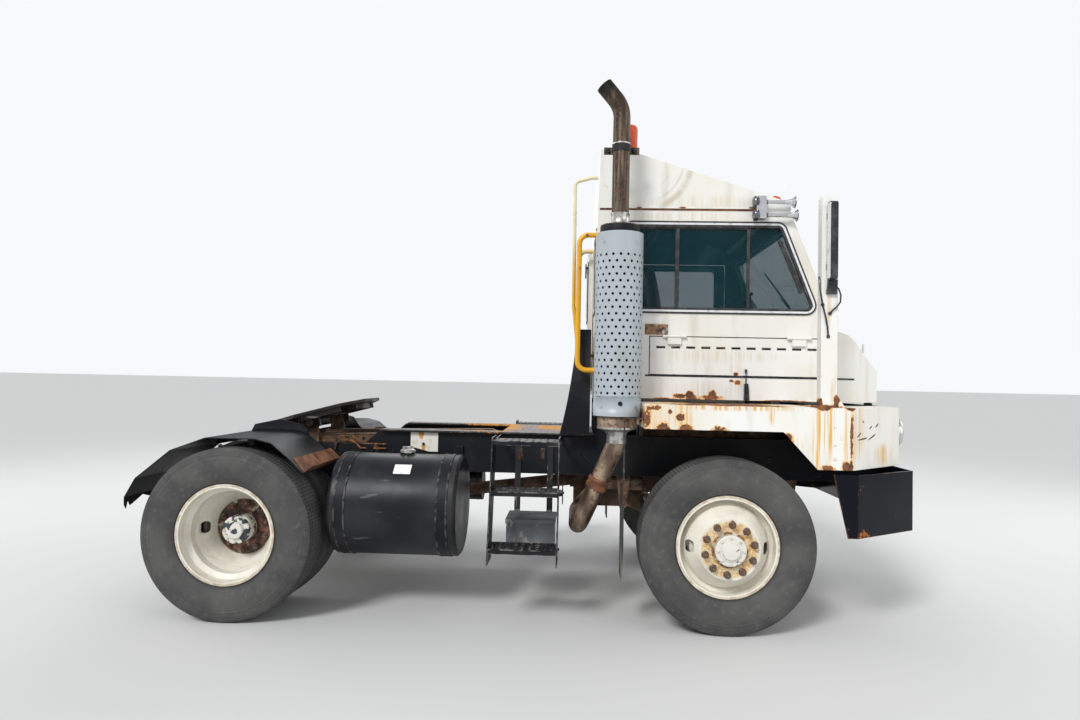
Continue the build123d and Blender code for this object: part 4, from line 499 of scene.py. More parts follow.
def tyre_rubber(name, axle_x):
    """Dusty rubber with fine nicks across the tread ribs."""
    finish = Finish(name)
    radius, turn = round_axle(finish, axle_x)
    # Nicks: short cuts across the outer tread, pressed in and darkened as painted shade inside them.
    nick = finish.calc("FRACT", finish.calc("MULTIPLY", turn, 150))
    nick = finish.calc("MULTIPLY", finish.step(finish.calc("ABSOLUTE", finish.calc("SUBTRACT", nick, 0.5)), 0.10, 0.05),
                       finish.step(radius, 0.508, 0.511))
    wall_dust = finish.step(radius, 0.295, 0.330)
    dust = finish.calc("MULTIPLY", finish.step(finish.grain(5, 9), 0.30, 0.70), wall_dust)
    rubber = finish.blend(dust, (0.044, 0.044, 0.045), (0.086, 0.085, 0.082))
    # Thin dark rings on the shoulder: painted shade for moulded grooves there.
    groove = finish.calc("ABSOLUTE", finish.calc("SUBTRACT", finish.calc("FRACT", finish.calc("MULTIPLY", radius, 95)), 0.5))
    shoulder = finish.calc("MULTIPLY", finish.step(radius, 0.458, 0.470), finish.step(radius, 0.508, 0.500))
    shoulder_groove_shade = finish.calc("MULTIPLY", finish.calc("MULTIPLY", finish.step(groove, 0.16, 0.04), shoulder), 0.55)
    scuffed = finish.blend(shoulder_groove_shade, rubber, (0.012, 0.012, 0.012))
    fine = finish.step(finish.calc("ABSOLUTE", finish.calc("SUBTRACT", finish.calc("FRACT", finish.calc("MULTIPLY", radius, 210)), 0.5)), 0.2, 0.5)
    scuffed = finish.blend(finish.calc("MULTIPLY", fine, 0.10), scuffed, (0.20, 0.20, 0.195))
    scuffed = finish.blend(finish.calc("MULTIPLY", finish.step(finish.grain(30, 8), 0.52, 0.80), 0.3), scuffed, (0.17, 0.168, 0.16))
    height = finish.calc("SUBTRACT", finish.calc("MULTIPLY", finish.grain(120, 3), 0.25), nick)
    return finish.wear(
        Base_Color=finish.blend(finish.calc("MULTIPLY", nick, 0.8), scuffed, (0.010, 0.010, 0.010)),
        Roughness=finish.level(dust, 0.66, 0.90),
        Specular_IOR_Level=0.30,
        Normal=finish.relief(height, 0.002),
    )


def tyre(shape, axle_x, wheel_y, side):
    """A whole tyre, lathed from bead to bead."""
    profile = wall_profile(-1) + tread_profile() + wall_profile(1)[::-1]
    lathe(shape, profile + profile[:1], aim((axle_x, side * wheel_y, AXLE_Z), (0, side, 0)), 96)


front_rubber = tyre_rubber("front_rubber", FRONT_AXLE_X)
rear_rubber = tyre_rubber("rear_rubber", REAR_AXLE_X)
for side, hand in ((-1, "right"), (1, "left")):
    rolling = bmesh.new()
    tyre(rolling, FRONT_AXLE_X, FRONT_WHEEL_Y, side)
    front_tyre = piece(f"front_tyre_{hand}_ribbed", rolling, f"wheel_front_{hand}", front_rubber)
    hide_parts(f"front_tyre_{hand}")
    rolling = bmesh.new()
    for dual in DUAL_Y:
        tyre(rolling, REAR_AXLE_X, dual, side)
    rear_tyres = piece(f"rear_tyres_{hand}_ribbed", rolling, f"wheels_rear_{hand}", rear_rubber)
    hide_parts(f"rear_tyres_{hand}")

# Disc wheels and hubs. Rolled and pressed steel in cream enamel, with rust creeping from the nuts and a thin
# line of it under the flange. Ten nuts hold each disc; the rear hub's own white paint is peeling to blue-black.
NUT_CIRCLE = 0.1429
NUTS = 10
NUT_PHASE = 0.35
FRONT_FACE_Y = 1.173
REAR_FACE_Y = 0.924


def wheel_enamel(name, axle_x, hub_end, nut_rust, rust_and_shade_inboard_of, peeling):
    """Cream enamel, rusty round the nuts; beyond hub_end from the middle it is the hub, peeling or whole."""
    finish = Finish(name)
    radius, turn = round_axle(finish, axle_x)
    out = finish.calc("ABSOLUTE", finish.axis("Y"))
    grime = finish.step(finish.grain(7, 7), 0.40, 0.80)
    enamel = finish.blend(finish.calc("MULTIPLY", grime, 0.55), (0.74, 0.71, 0.62), (0.42, 0.36, 0.28))
    ring = finish.calc("MULTIPLY", finish.step(radius, 0.190, 0.150), finish.step(radius, 0.084, 0.100))
    to_nut = finish.calc("ABSOLUTE", finish.calc("SUBTRACT", finish.calc("FRACT", finish.calc("SUBTRACT", finish.calc("MULTIPLY", turn, NUTS), NUT_PHASE)), 0.5))
    round_nut = finish.calc("MULTIPLY", finish.step(to_nut, 0.26, 0.46), finish.step(finish.calc("ABSOLUTE", finish.calc("SUBTRACT", radius, NUT_CIRCLE)), 0.040, 0.018))
    flecks = finish.calc("ADD", finish.calc("MULTIPLY", finish.grain(30, 8), 0.7), finish.calc("MULTIPLY", finish.grain(90, 4), 0.4))
    bleed = finish.calc("ADD", finish.calc("MULTIPLY", ring, nut_rust), flecks)
    stained = finish.step(bleed, 0.78, 1.12)
    rusty = finish.step(finish.calc("ADD", finish.calc("MULTIPLY", round_nut, nut_rust), flecks), 0.92, 1.10)
    collar = finish.step(finish.calc("ABSOLUTE", finish.calc("SUBTRACT", radius, 0.096)), 0.014, 0.004)
    collar = finish.calc("MULTIPLY", collar, finish.calc("MULTIPLY", finish.step(finish.grain(20, 6), 0.36, 0.56), nut_rust * 2))
    rusty = finish.calc("MINIMUM", finish.most(rusty, collar), 1.0)
    rust = finish.most(stained, rusty)
    flange = finish.calc("MULTIPLY", finish.step(radius, 0.282, 0.289), finish.level(finish.step(finish.grain(24, 7), 0.35, 0.65), 0.25, 0.85))
    enamel = finish.blend(flange, enamel, (0.40, 0.30, 0.19))
    face = finish.blend(stained, enamel, finish.blend(finish.step(finish.grain(60, 6), 0.35, 0.62), (0.50, 0.27, 0.08), (0.74, 0.56, 0.30)))
    face = finish.blend(rusty, face, finish.blend(finish.step(finish.grain(70, 5), 0.4, 0.6), (0.11, 0.045, 0.02), (0.34, 0.16, 0.05)))
    # Inboard of the given depth, the middle of the disc turns dark brown: rust, and painted shade in the recess behind
    # the hub.
    dark = finish.calc("MULTIPLY", finish.step(radius, 0.176, 0.168), finish.step(out, rust_and_shade_inboard_of + 0.015, rust_and_shade_inboard_of + 0.005))
    dark = finish.calc("MULTIPLY", dark, finish.step(finish.grain(12, 5), 0.32, 0.45))
    face = finish.blend(dark, face, finish.blend(finish.step(finish.grain(26, 7), 0.40, 0.64), (0.045, 0.018, 0.012), (0.20, 0.085, 0.045)))
    hub = finish.calc("MULTIPLY", finish.step(radius, 0.0905, 0.088), finish.step(out, hub_end, hub_end + 0.004))
    peel = finish.step(finish.grain(19, 5, shift=3.1), 1.0 - peeling, 1.03 - peeling)
    hub_paint = finish.blend(peel, (0.66, 0.64, 0.58), (0.035, 0.045, 0.06))
    return finish.wear(
        Base_Color=finish.blend(hub, face, hub_paint),
        Roughness=finish.level(rust, 0.36, 0.85),
        Normal=finish.relief(finish.calc("ADD", finish.calc("MULTIPLY", rust, finish.grain(150, 3)), peel), 0.0008, 0.002),
    )


def hub_cover(shape, place, reach):
    """Hub flange with its stud nuts and the cap in its middle; reach is the radius of the flange."""
    lathe(shape, [(reach, -0.012), (reach, 0.004), (reach - 0.006, 0.009), (0.055, 0.010), (0.051, 0.022), (0.047, 0.027),
                  (0.020, 0.031), (0, 0.0315)], place, 40)
    for i in range(8):
        spin = Matrix.Rotation(2 * math.pi * i / 8, 4, "Z")
        at = place @ spin @ Matrix.Translation((reach * 0.82, 0, 0.008))
        slab(shape, hexagon(0.0085), at, 0.008)
        lathe(shape, [(0.0045, 0.006), (0.0045, 0.013), (0, 0.0135)], at, 10)


nut_steel = Finish("nut_steel", metal=0.7)
nut_wear = nut_steel.step(nut_steel.grain(55, 5), 0.40, 0.62)
nut_steel.wear(
    Base_Color=nut_steel.blend(nut_wear, (0.16, 0.15, 0.14), (0.22, 0.10, 0.04)),
    Roughness=nut_steel.level(nut_wear, 0.35, 0.8),
    Normal=nut_steel.relief(nut_steel.grain(200, 3), 0.0005, 0.0015),
)
front_enamel = wheel_enamel("front_enamel", FRONT_AXLE_X, 1.182, 0.50, 0.0, 0.36)
rear_enamel = wheel_enamel("rear_enamel", REAR_AXLE_X, 0.96, 0.34, 0.945, 0.50)
for side, hand in ((-1, "right"), (1, "left")):
    dress(front_enamel, f"front_wheel_{hand}")
    dress(rear_enamel, f"rear_wheels_{hand}")
    for axle_x, face_y, body, cover_y, reach in (
        (FRONT_AXLE_X, FRONT_FACE_Y, f"wheel_front_{hand}", 1.203, 0.090),
        (REAR_AXLE_X, REAR_FACE_Y, f"wheels_rear_{hand}", 1.058, 0.0845),
    ):
        nuts = bmesh.new()
        for i in range(NUTS):
            angle = 2 * math.pi * (i + NUT_PHASE) / NUTS
            at = (axle_x + NUT_CIRCLE * math.cos(angle), side * face_y, AXLE_Z + NUT_CIRCLE * math.sin(angle))
            stud = aim(at, (0, side, 0), roll=i * 0.7)
            lathe(nuts, [(0.022, 0), (0.022, 0.004), (0.016, 0.009), (0.0158, 0.011)], stud, 18)
            slab(nuts, hexagon(0.0185), stud @ Matrix.Translation((0, 0, 0.005)), 0.022)
            lathe(nuts, [(0.0105, 0.020), (0.0105, 0.038), (0.008, 0.041), (0, 0.041)], stud, 14)
        where = "front" if axle_x > 0 else "rear"
        piece(f"{where}_nuts_{hand}", nuts, body, nut_steel.material)
        cover = bmesh.new()
        hub_cover(cover, aim((axle_x, side * cover_y, AXLE_Z), (0, side, 0)), reach)
        enamel = front_enamel if axle_x > 0 else rear_enamel
        piece(f"{where}_hub_{hand}", cover, body, enamel)

# Fuel tank. A spun steel drum in black enamel, held to the rail by two straps with rolled edges. It has a
# finned cap on a short neck, and a small blank white label on its shoulder.
TANK_Y, TANK_Z, TANK_RADIUS = -0.769, 0.657, 0.317
TANK_CAP_X = -0.758
LABEL_X = (-0.795, -0.690)
LABEL_TURN = (33, 47)
tank_black = Finish("tank_enamel")
tank_dust = tank_black.calc("MULTIPLY", tank_black.step(tank_black.grain(2.6, 7), 0.35, 0.75), 0.8)
tank_scratch = tank_black.step(tank_black.grain(14, 8, (0.25, 1, 1)), 0.66, 0.72)
tank_black.wear(
    Base_Color=tank_black.blend(
        tank_black.calc("MULTIPLY", tank_scratch, 0.35),
        tank_black.blend(tank_dust, (0.006, 0.007, 0.011), (0.036, 0.036, 0.036)),
        (0.20, 0.19, 0.175),
    ),
    Roughness=tank_black.level(tank_dust, 0.36, 0.62),
    Specular_IOR_Level=0.26,
    Normal=tank_black.relief(tank_black.grain(4, 2), 0.004, 0.004),
)
dress(tank_black.material, "fuel_tank")
dress(chassis_black, "tank_straps")
strap_low, strap_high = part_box("tank_straps")
strap_edges = bmesh.new()
tank_place = aim((0, TANK_Y, TANK_Z), (1, 0, 0))
for strap_x in (strap_low.x + 0.028, strap_high.x - 0.028):
    for edge in (-0.030, 0.030):
        ring = [(TANK_RADIUS + 0.0003, edge - 0.006), (TANK_RADIUS + 0.006, edge - 0.004),
                (TANK_RADIUS + 0.006, edge + 0.004), (TANK_RADIUS + 0.0003, edge + 0.006)]
        lathe(strap_edges, [(r, strap_x + x) for r, x in ring], tank_place, 72)
# The rolled strap edges are worn pale nearly all along: bare steel, and painted highlights on the rolls.
piece("strap_edges", strap_edges, "chassis", old_black("strap_black", rusty=0.3, gloss=0.4, dust=0.3, bare=0.9))
tank_seams = bmesh.new()
tank_low, tank_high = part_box("fuel_tank")
for seam_x in (tank_low.x + 0.020, tank_high.x - 0.020):
    ring = [(TANK_RADIUS - 0.0005, seam_x - 0.005), (TANK_RADIUS + 0.0022, seam_x), (TANK_RADIUS - 0.0005, seam_x + 0.005)]
    lathe(tank_seams, ring, tank_place, 72)
piece("tank_seams", tank_seams, "chassis", tank_black.material)
worn_alloy = Finish("worn_alloy", metal=0.85)
alloy_dull = worn_alloy.step(worn_alloy.grain(30, 5), 0.4, 0.7)
worn_alloy.wear(
    Base_Color=worn_alloy.blend(alloy_dull, (0.55, 0.55, 0.53), (0.26, 0.24, 0.21)),
    Roughness=worn_alloy.level(alloy_dull, 0.28, 0.6),
    Normal=worn_alloy.relief(worn_alloy.grain(140, 3), 0.0004, 0.001),
)
tank_cap = bmesh.new()
cap_place = Matrix.Translation((TANK_CAP_X, TANK_Y, TANK_Z + TANK_RADIUS + 0.022))
lathe(tank_cap, [(0.046, -0.014), (0.046, 0.002), (0.040, 0.008), (0.030, 0.010), (0.012, 0.011), (0, 0.011)], cap_place, 28)
for i in range(14):
    spin = Matrix.Rotation(2 * math.pi * i / 14, 4, "Z")
    slab(tank_cap, [(0.044, -0.003), (0.0495, -0.003), (0.0495, 0.003), (0.044, 0.003)],
         cap_place @ spin @ Matrix.Translation((0, 0, -0.012)), 0.013)
slab(tank_cap, [(-0.036, -0.007), (0.036, -0.007), (0.036, 0.007), (-0.036, 0.007)],
     cap_place @ Matrix.Rotation(0.6, 4, "Z") @ Matrix.Translation((0, 0, 0.009)), 0.016)
piece("tank_cap", tank_cap, "chassis", worn_alloy.material)
label_white = Finish("label_white")
label_white.wear(
    Base_Color=label_white.blend(label_white.step(label_white.grain(25, 5), 0.5, 0.8), (0.78, 0.78, 0.76), (0.60, 0.58, 0.53)),
    Roughness=0.45,
)
label = bmesh.new()
label_rows = []
for i in range(9):
    angle = math.radians(LABEL_TURN[0] + (LABEL_TURN[1] - LABEL_TURN[0]) * i / 8)
    y = TANK_Y - (TANK_RADIUS + 0.0012) * math.cos(math.radians(90) - angle)
    z = TANK_Z + (TANK_RADIUS + 0.0012) * math.sin(math.radians(90) - angle)
    label_rows.append([label.verts.new((x, y, z)) for x in LABEL_X])
for one, two in zip(label_rows, label_rows[1:]):
    label.faces.new([one[0], one[1], two[1], two[0]])
piece("tank_label", label, "chassis", label_white.material)

# Air tanks and battery box, hung on the rails: rolled tanks with welded ends and a drain cock each, and a
# folded steel box with a lid held down by two toggle clips.
dress(chassis_black, "air_tanks")
battery_grey = Finish("battery_grey")
battery_scrape = battery_grey.step(battery_grey.grain(20, 8, (1, 1, 0.5)), 0.58, 0.66)
battery_grey.wear(
    Base_Color=battery_grey.blend(
        battery_grey.calc("MULTIPLY", battery_scrape, 0.6),
        battery_grey.blend(
            battery_grey.step(battery_grey.axis("Z"), 0.580, 0.586),
            battery_grey.blend(battery_grey.step(battery_grey.grain(5, 5), 0.3, 0.7), (0.085, 0.095, 0.105), (0.19, 0.20, 0.21)),
            (0.012, 0.013, 0.016),
        ),
        (0.42, 0.40, 0.37),
    ),
    Roughness=battery_grey.level(battery_scrape, 0.40, 0.8),
    Normal=battery_grey.relief(battery_grey.grain(12, 3), 0.002, 0.004),
)
dress(battery_grey.material, "battery_box")
air_low, air_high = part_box("air_tanks")
air_fittings = bmesh.new()
for z in (0.600, 0.900):
    for x in (air_low.x + 0.04, air_high.x - 0.04):
        ring = [(0.1295, x - 0.006), (0.1335, x), (0.1295, x + 0.006)]
        lathe(air_fittings, ring, aim((0, 0.582, z), (1, 0, 0)), 48)
    lathe(air_fittings, [(0, -0.03), (0.013, -0.03), (0.013, 0.0), (0.0, 0.0)], aim((air_high.x - 0.25, 0.582, z - 0.130), (0, 0, 1)), 12)
piece("air_tank_fittings", air_fittings, "chassis", chassis_black)
box_low, box_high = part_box("battery_box")
battery_trim = bmesh.new()
for x in (box_low.x + 0.09, box_high.x - 0.09):
    slab(battery_trim, [(x - 0.012, -0.035), (x + 0.012, -0.035), (x + 0.012, 0.035), (x - 0.012, 0.035)],
         Matrix.Translation((0, box_low.y - 0.004, box_high.z - 0.04)) @ Matrix.Rotation(math.pi / 2, 4, "X"), 0.010)
    bolt(battery_trim, (x, box_low.y - 0.014, box_high.z - 0.02), (0, -1, 0), 0.011)
piece("battery_clips", battery_trim, "chassis", nut_steel.material)

# Step ladders. Each has three grip treads, folded from perforated plate whose holes stand up in lips, held
# between flat side rails. The black paint has worn to bare, browned steel on every edge that a boot meets, and
# those pale edges are painted highlights as well.
LADDER_X = (-0.191, 0.222)
LADDER_TREADS = ((0.810, 1.094), (0.900, 0.801), (0.980, 0.479))
TREAD_DEPTH = 0.200
TREAD_FLANGE = 0.030


def pierced(shape, across, rows, hole, lay, lip=0.0, stagger=False, wrap=False):
    """A sheet laid out in cells with a round hole in each; lay turns a count of cells along and up, and 0
    or 1 for the sheet's back or front, into a place. hole is half the hole's width and height in cells."""
    shared = {}

    def corner(along, up, front):
        if wrap:
            along %= across
        key = (round(along * 8) % (across * 8 if wrap else 10 ** 9), round(up * 8), front)
        if key not in shared:
            shared[key] = shape.verts.new(lay(along, up, front))
        return shared[key]

    for row in range(rows):
        shift = 0.5 if stagger and row % 2 else 0.0
        for column in range(across):
            along, up = column + 0.5 + shift, row + 0.5
            square = [(i / 4 - 0.5, -0.5) for i in range(4)] + [(0.5, i / 4 - 0.5) for i in range(4)]
            square += [(-a, -b) for a, b in square]
            rings = []
            for front in (0, 1):
                rim = [corner(along + a, up + b, front) for a, b in square]
                ring = []
                for i in range(16):
                    turn = math.radians(22.5 * i - 135)
                    place = lay(along + hole[0] * math.cos(turn), up + hole[1] * math.sin(turn), front + lip * front)
                    ring.append(shape.verts.new(place))
                for i in range(16):
                    j = (i + 1) % 16
                    shape.faces.new([rim[i], rim[j], ring[j], ring[i]])
                rings.append(ring)
            for i in range(16):
                j = (i + 1) % 16
                shape.faces.new([rings[0][i], rings[0][j], rings[1][j], rings[1][i]])


ladder_black = old_black("ladder_black", rusty=0.40, gloss=0.42, dust=0.35, bare=1.0)
steps = bmesh.new()
for side in (-1, 1):
    for x in (LADDER_X[0], LADDER_X[1] - 0.008):
        rail = [(0.806, 1.110), (1.010, 1.110), (1.190, 0.380), (0.980, 0.380)]
        across_truck = Matrix(((0, 0, 1, x), (side, 0, 0, 0), (0, 1, 0, 0), (0, 0, 0, 1)))
        slab(steps, rail, across_truck, 0.008)
        slab(steps, [(0.432, 1.045), (0.860, 1.045), (0.860, 1.090), (0.432, 1.090)], across_truck, 0.008)
        for y, top in LADDER_TREADS:
            bolt(steps, (x + (0.008 if x > 0 else 0), side * (y + 0.100), top - 0.015), (1 if x > 0 else -1, 0, 0), 0.014)
    for inner, top in LADDER_TREADS:
        columns, rows = 9, 4
        span = LADDER_X[1] - LADDER_X[0] - 0.018

        def on_tread(along, up, front, inner=inner, top=top, span=span):
            x = LADDER_X[0] + 0.009 + span * along / columns
            return Vector((x, side * (inner + TREAD_DEPTH * up / rows), top - 0.0055 + 0.003 * front))

        pierced(steps, columns, rows, (0.24, 0.26), on_tread, lip=0.7)
        for y in (inner, inner + TREAD_DEPTH - 0.003):
            low, high = sorted((side * y, side * (y + 0.003)))
            flange = [(LADDER_X[0] + 0.008, low), (LADDER_X[1] - 0.008, low), (LADDER_X[1] - 0.008, high), (LADDER_X[0] + 0.008, high)]
            slab(steps, flange, Matrix.Translation((0, 0, top - TREAD_FLANGE)), TREAD_FLANGE - 0.0025)
ladders = piece("grip_ladders", steps, "chassis", ladder_black)
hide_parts("ladders")

# Deck. Grip plate between the cab and the boom, with rows of small raised buttons, black with boot-worn
# steel; a patch of its paint has gone and the plate under it is bright orange with new rust.
deck_plate = Finish("deck_plate")
button_x = deck_plate.calc("FRACT", deck_plate.calc("MULTIPLY", deck_plate.axis("X"), 22))
button_y = deck_plate.calc("FRACT", deck_plate.calc("MULTIPLY", deck_plate.axis("Y"), 22))
from_x = deck_plate.calc("ABSOLUTE", deck_plate.calc("SUBTRACT", button_x, 0.5))
from_y = deck_plate.calc("ABSOLUTE", deck_plate.calc("SUBTRACT", button_y, 0.5))
button = deck_plate.step(deck_plate.calc("MAXIMUM", from_x, from_y), 0.30, 0.18)
bright = deck_plate.most(deck_plate.spot((-0.32, 0.05, 1.105), (0.40, 0.75, 0.4)), deck_plate.spot((0.14, 0.10, 1.105), (0.22, 0.40, 0.4)))
specks = deck_plate.calc("ADD", deck_plate.calc("MULTIPLY", deck_plate.grain(12, 6), 0.5), deck_plate.calc("MULTIPLY", deck_plate.grain(75, 4), 0.6))
flaked = deck_plate.step(deck_plate.calc("ADD", specks, deck_plate.calc("MULTIPLY", bright, 0.23)), 0.67, 0.72)
old_plate = deck_plate.blend(deck_plate.step(deck_plate.grain(11, 7), 0.45, 0.7), (0.022, 0.021, 0.023), (0.10, 0.075, 0.06))
new_rust = deck_plate.blend(deck_plate.grain(70, 5), (0.40, 0.13, 0.02), (0.85, 0.42, 0.06))
deck_plate.wear(
    Base_Color=deck_plate.blend(flaked, old_plate, new_rust),
    Roughness=deck_plate.level(flaked, 0.48, 0.92),
    Normal=deck_plate.relief(deck_plate.calc("ADD", deck_plate.calc("MULTIPLY", button, 2), deck_plate.grain(80, 3)), 0.0012),
)
dress(deck_plate.material, "deck")

# Rear fenders. Thick black moulded sheet gone matt, over angle irons that have rusted right through their
# paint; the last fold hangs in tatters where docks have torn it.
fender_black = old_black("fender_black", rusty=0.10, gloss=0.46, dust=0.40, bare=0.10, soft=0.045)
dress(fender_black, "rear_fenders")
bare_rust = Finish("bare_rust")
bare_rust.wear(
    Base_Color=bare_rust.blend(bare_rust.step(bare_rust.grain(16, 8), 0.35, 0.68), (0.10, 0.035, 0.018), (0.30, 0.125, 0.055)),
    Roughness=bare_rust.level(bare_rust.grain(30, 4), 0.7, 0.95),
    Normal=bare_rust.relief(bare_rust.grain(70, 6), 0.002, 0.003),
)
fender_irons = bmesh.new()
fender_tatters = bmesh.new()
for side in (-1, 1):
    iron_start = Vector((-1.364, side * 0.470, 0.9680))
    down = Vector((0.087, 0, -0.081)).normalized()
    outward = Vector((0, side, 0))
    face = Matrix.Identity(4)
    face.col[0] = (*outward, 0)
    face.col[1] = (*down, 0)
    face.col[2] = (*(outward.cross(down) * side), 0)
    face.col[3] = (*iron_start, 1)
    slab(fender_irons, [(0, 0), (0.660, 0), (0.700, 0.108), (0, 0.108)], face, 0.0035)
    lip = face @ Matrix.Translation((0, 0.108, 0.0035)) @ Matrix.Rotation(-math.pi / 2, 4, "X")
    slab(fender_irons, [(0, -0.004), (0.698, -0.004), (0.680, 0.042), (0, 0.042)], lip, 0.004)
    for reach in (0.16, 0.34, 0.52, 0.63):
        head = face @ Vector((reach, 0.045, 0.0035))
        bolt(fender_irons, head, outward.cross(down) * side, 0.017)
    ragged = [(0.556, 0.716), (0.62, 0.690), (0.70, 0.706), (0.77, 0.672), (0.83, 0.700), (0.93, 0.684), (1.00, 0.704),
              (1.07, 0.676), (1.125, 0.656), (1.148, 0.690), (1.165, 0.642), (1.183, 0.668), (1.185, 0.716)]
    hang = Matrix(((0, 0, 1, -2.3655), (side, 0, 0, 0), (0, 1, 0, 0.0025), (0, 0, 0, 1)))
    slab(fender_tatters, ragged, hang, 0.004)
piece("fender_irons", fender_irons, "chassis", bare_rust.material)
piece("fender_tatters", fender_tatters, "chassis", fender_black)

# Boom and fifth wheel. Welded box arms and a cast coupler under years of grease: black and wet-looking where
# trailers slide, dusty brown on the arms. The pins carry grease nipples, and each barrel a capped oil port.
greasy_plate = Finish("greasy_plate", metal=0.4)
smear = greasy_plate.step(greasy_plate.grain(4, 7, (0.4, 1, 1)), 0.35, 0.7)
scored = greasy_plate.step(greasy_plate.grain(30, 4, (0.12, 1, 1)), 0.62, 0.70)
greasy_plate.wear(
    Base_Color=greasy_plate.blend(
        greasy_plate.calc("MULTIPLY", scored, 0.6),
        greasy_plate.blend(smear, (0.014, 0.012, 0.011), (0.075, 0.055, 0.042)),
        (0.30, 0.27, 0.24),
    ),
    Roughness=greasy_plate.level(smear, 0.28, 0.75),
    Normal=greasy_plate.relief(greasy_plate.grain(45, 4), 0.0015, 0.004),
)
boom_iron = greasy_iron("boom_iron", bare=0.2, oil=0.9)
dress(greasy_plate.material, "fifth_wheel")
dress(boom_iron, "boom", "lift_barrels")
rod_chrome = Finish("rod_chrome", metal=1.0)
oil_film = rod_chrome.step(rod_chrome.grain(20, 4), 0.5, 0.8)
rod_chrome.wear(
    Base_Color=rod_chrome.blend(oil_film, (0.62, 0.62, 0.63), (0.20, 0.16, 0.12)),
    Roughness=rod_chrome.level(oil_film, 0.14, 0.5),
)
dress(rod_chrome.material, "lift_rods")


boom_fittings = bmesh.new()
for side in (-1, 1):
    for x, z, y in ((-0.270, 0.970, 0.325), (-1.570, 1.128, 0.3425)):
        lathe(boom_fittings, [(0, 0), (0.026, 0), (0.026, 0.005), (0.010, 0.006), (0.008, 0.014), (0, 0.014)],
              aim((x, side * y, z), (0, side, 0)), 18)
    seam = [(-0.36, side * 0.271, 1.072), (-0.9, side * 0.271, 1.0585), (-1.60, side * 0.271, 1.0405)]
    tube(boom_fittings, seam, 0.0035, 8)
piece("boom_fittings", boom_fittings, "boom", boom_iron)
barrel_caps = bmesh.new()
for side in (-1, 1):
    barrel = aim((-1.005, side * 0.120, 0.462), (0, 0, 1))
    gland = [(0.0552, 0.350), (0.0585, 0.352), (0.0585, 0.386), (0.0555, 0.389), (0.034, 0.389)]
    lathe(barrel_caps, gland, barrel, 28)
    lathe(barrel_caps, [(0.0552, 0.040), (0.0585, 0.042), (0.0585, 0.060), (0.0552, 0.062)], barrel, 28)
    port = aim((-1.005 + 0.052, side * 0.120, 0.500), (1, 0, 0))
    lathe(barrel_caps, [(0, 0), (0.013, 0), (0.013, 0.016), (0.009, 0.017), (0.009, 0.030), (0, 0.030)], port, 12)
piece("barrel_caps", barrel_caps, "lift_barrels", boom_iron)

# Engine, gearbox and radiator. Oily cast iron, seen only from below and through the wheel arches; the
# radiator's core is fine dark fins in a black frame.
engine_iron = greasy_iron("engine_iron", bare=0.35, oil=1.0)
dress(engine_iron, "engine")
fins = Finish("radiator_fins", metal=0.5)
fin = fins.step(fins.calc("ABSOLUTE", fins.calc("SUBTRACT", fins.calc("FRACT", fins.calc("MULTIPLY", fins.axis("Z"), 160)), 0.5)), 0.2, 0.3)
fins.wear(
    Base_Color=fins.blend(fin, (0.012, 0.012, 0.012), (0.055, 0.052, 0.048)),
    Roughness=fins.level(fins.grain(20, 4), 0.5, 0.9),
    Normal=fins.relief(fin, 0.001),
)
dress(fins.material, "radiator")

# Exhaust. A black-brown stack blued by heat above, a tan, mottled elbow below with a rust-red coupling, and
# band clamps where the pipes meet. The grey shield round the muffler is perforated sheet, plain at both ends.
STACK_X, STACK_Y = 0.565, -0.950
exhaust_steel = Finish("exhaust_steel", metal=0.60)
above_cab = exhaust_steel.step(exhaust_steel.axis("Z"), 1.9, 2.3)
soot = exhaust_steel.step(exhaust_steel.grain(9, 8, (1, 1, 0.30)), 0.34, 0.66)
streaky = exhaust_steel.step(exhaust_steel.grain(60, 6, (1, 1, 0.08)), 0.36, 0.64)
upper = exhaust_steel.blend(exhaust_steel.calc("MULTIPLY", streaky, soot), (0.045, 0.031, 0.022), (0.22, 0.17, 0.115))
lower = exhaust_steel.blend(soot, (0.10, 0.068, 0.048), (0.44, 0.33, 0.24))
scale = exhaust_steel.step(exhaust_steel.grain(42, 8), 0.53, 0.64)
steel = exhaust_steel.blend(exhaust_steel.calc("MULTIPLY", scale, 0.75), exhaust_steel.blend(above_cab, lower, upper), (0.13, 0.060, 0.038))
# The pipe inside the perforated shield is made near black: painted shade behind the shield. The stack's tip gets the
# same near black: soot, and painted shade in its open mouth.
shade_behind_shield = exhaust_steel.calc("MULTIPLY", exhaust_steel.step(exhaust_steel.axis("Z"), 1.235, 1.265), exhaust_steel.step(exhaust_steel.axis("Z"), 2.375, 2.362))
soot_and_shade_at_tip = exhaust_steel.spot((0.455, -0.950, 3.295), (0.170, 0.2, 0.140))
exhaust_steel.wear(
    Base_Color=exhaust_steel.blend(exhaust_steel.most(shade_behind_shield, soot_and_shade_at_tip), steel, (0.009, 0.008, 0.007)),
    Roughness=exhaust_steel.level(soot, 0.30, 0.70),
    Normal=exhaust_steel.relief(exhaust_steel.grain(60, 5), 0.0012),
)
dress(exhaust_steel.material, "exhaust_pipe")
stack_place = aim((STACK_X, STACK_Y, 0), (0, 0, 1))
clamps = bmesh.new()
lathe(clamps, [(0.0535, 2.424), (0.059, 2.426), (0.060, 2.438), (0.0575, 2.442), (0.0575, 2.484), (0.060, 2.488),
               (0.060, 2.496), (0.0535, 2.499)], stack_place, 36)
lathe(clamps, [(0.057, 1.188), (0.1205, 1.190), (0.1205, 1.1785), (0.098, 1.172), (0.070, 1.160), (0.062, 1.140),
               (0.062, 1.090), (0.0575, 1.088)], stack_place, 40)
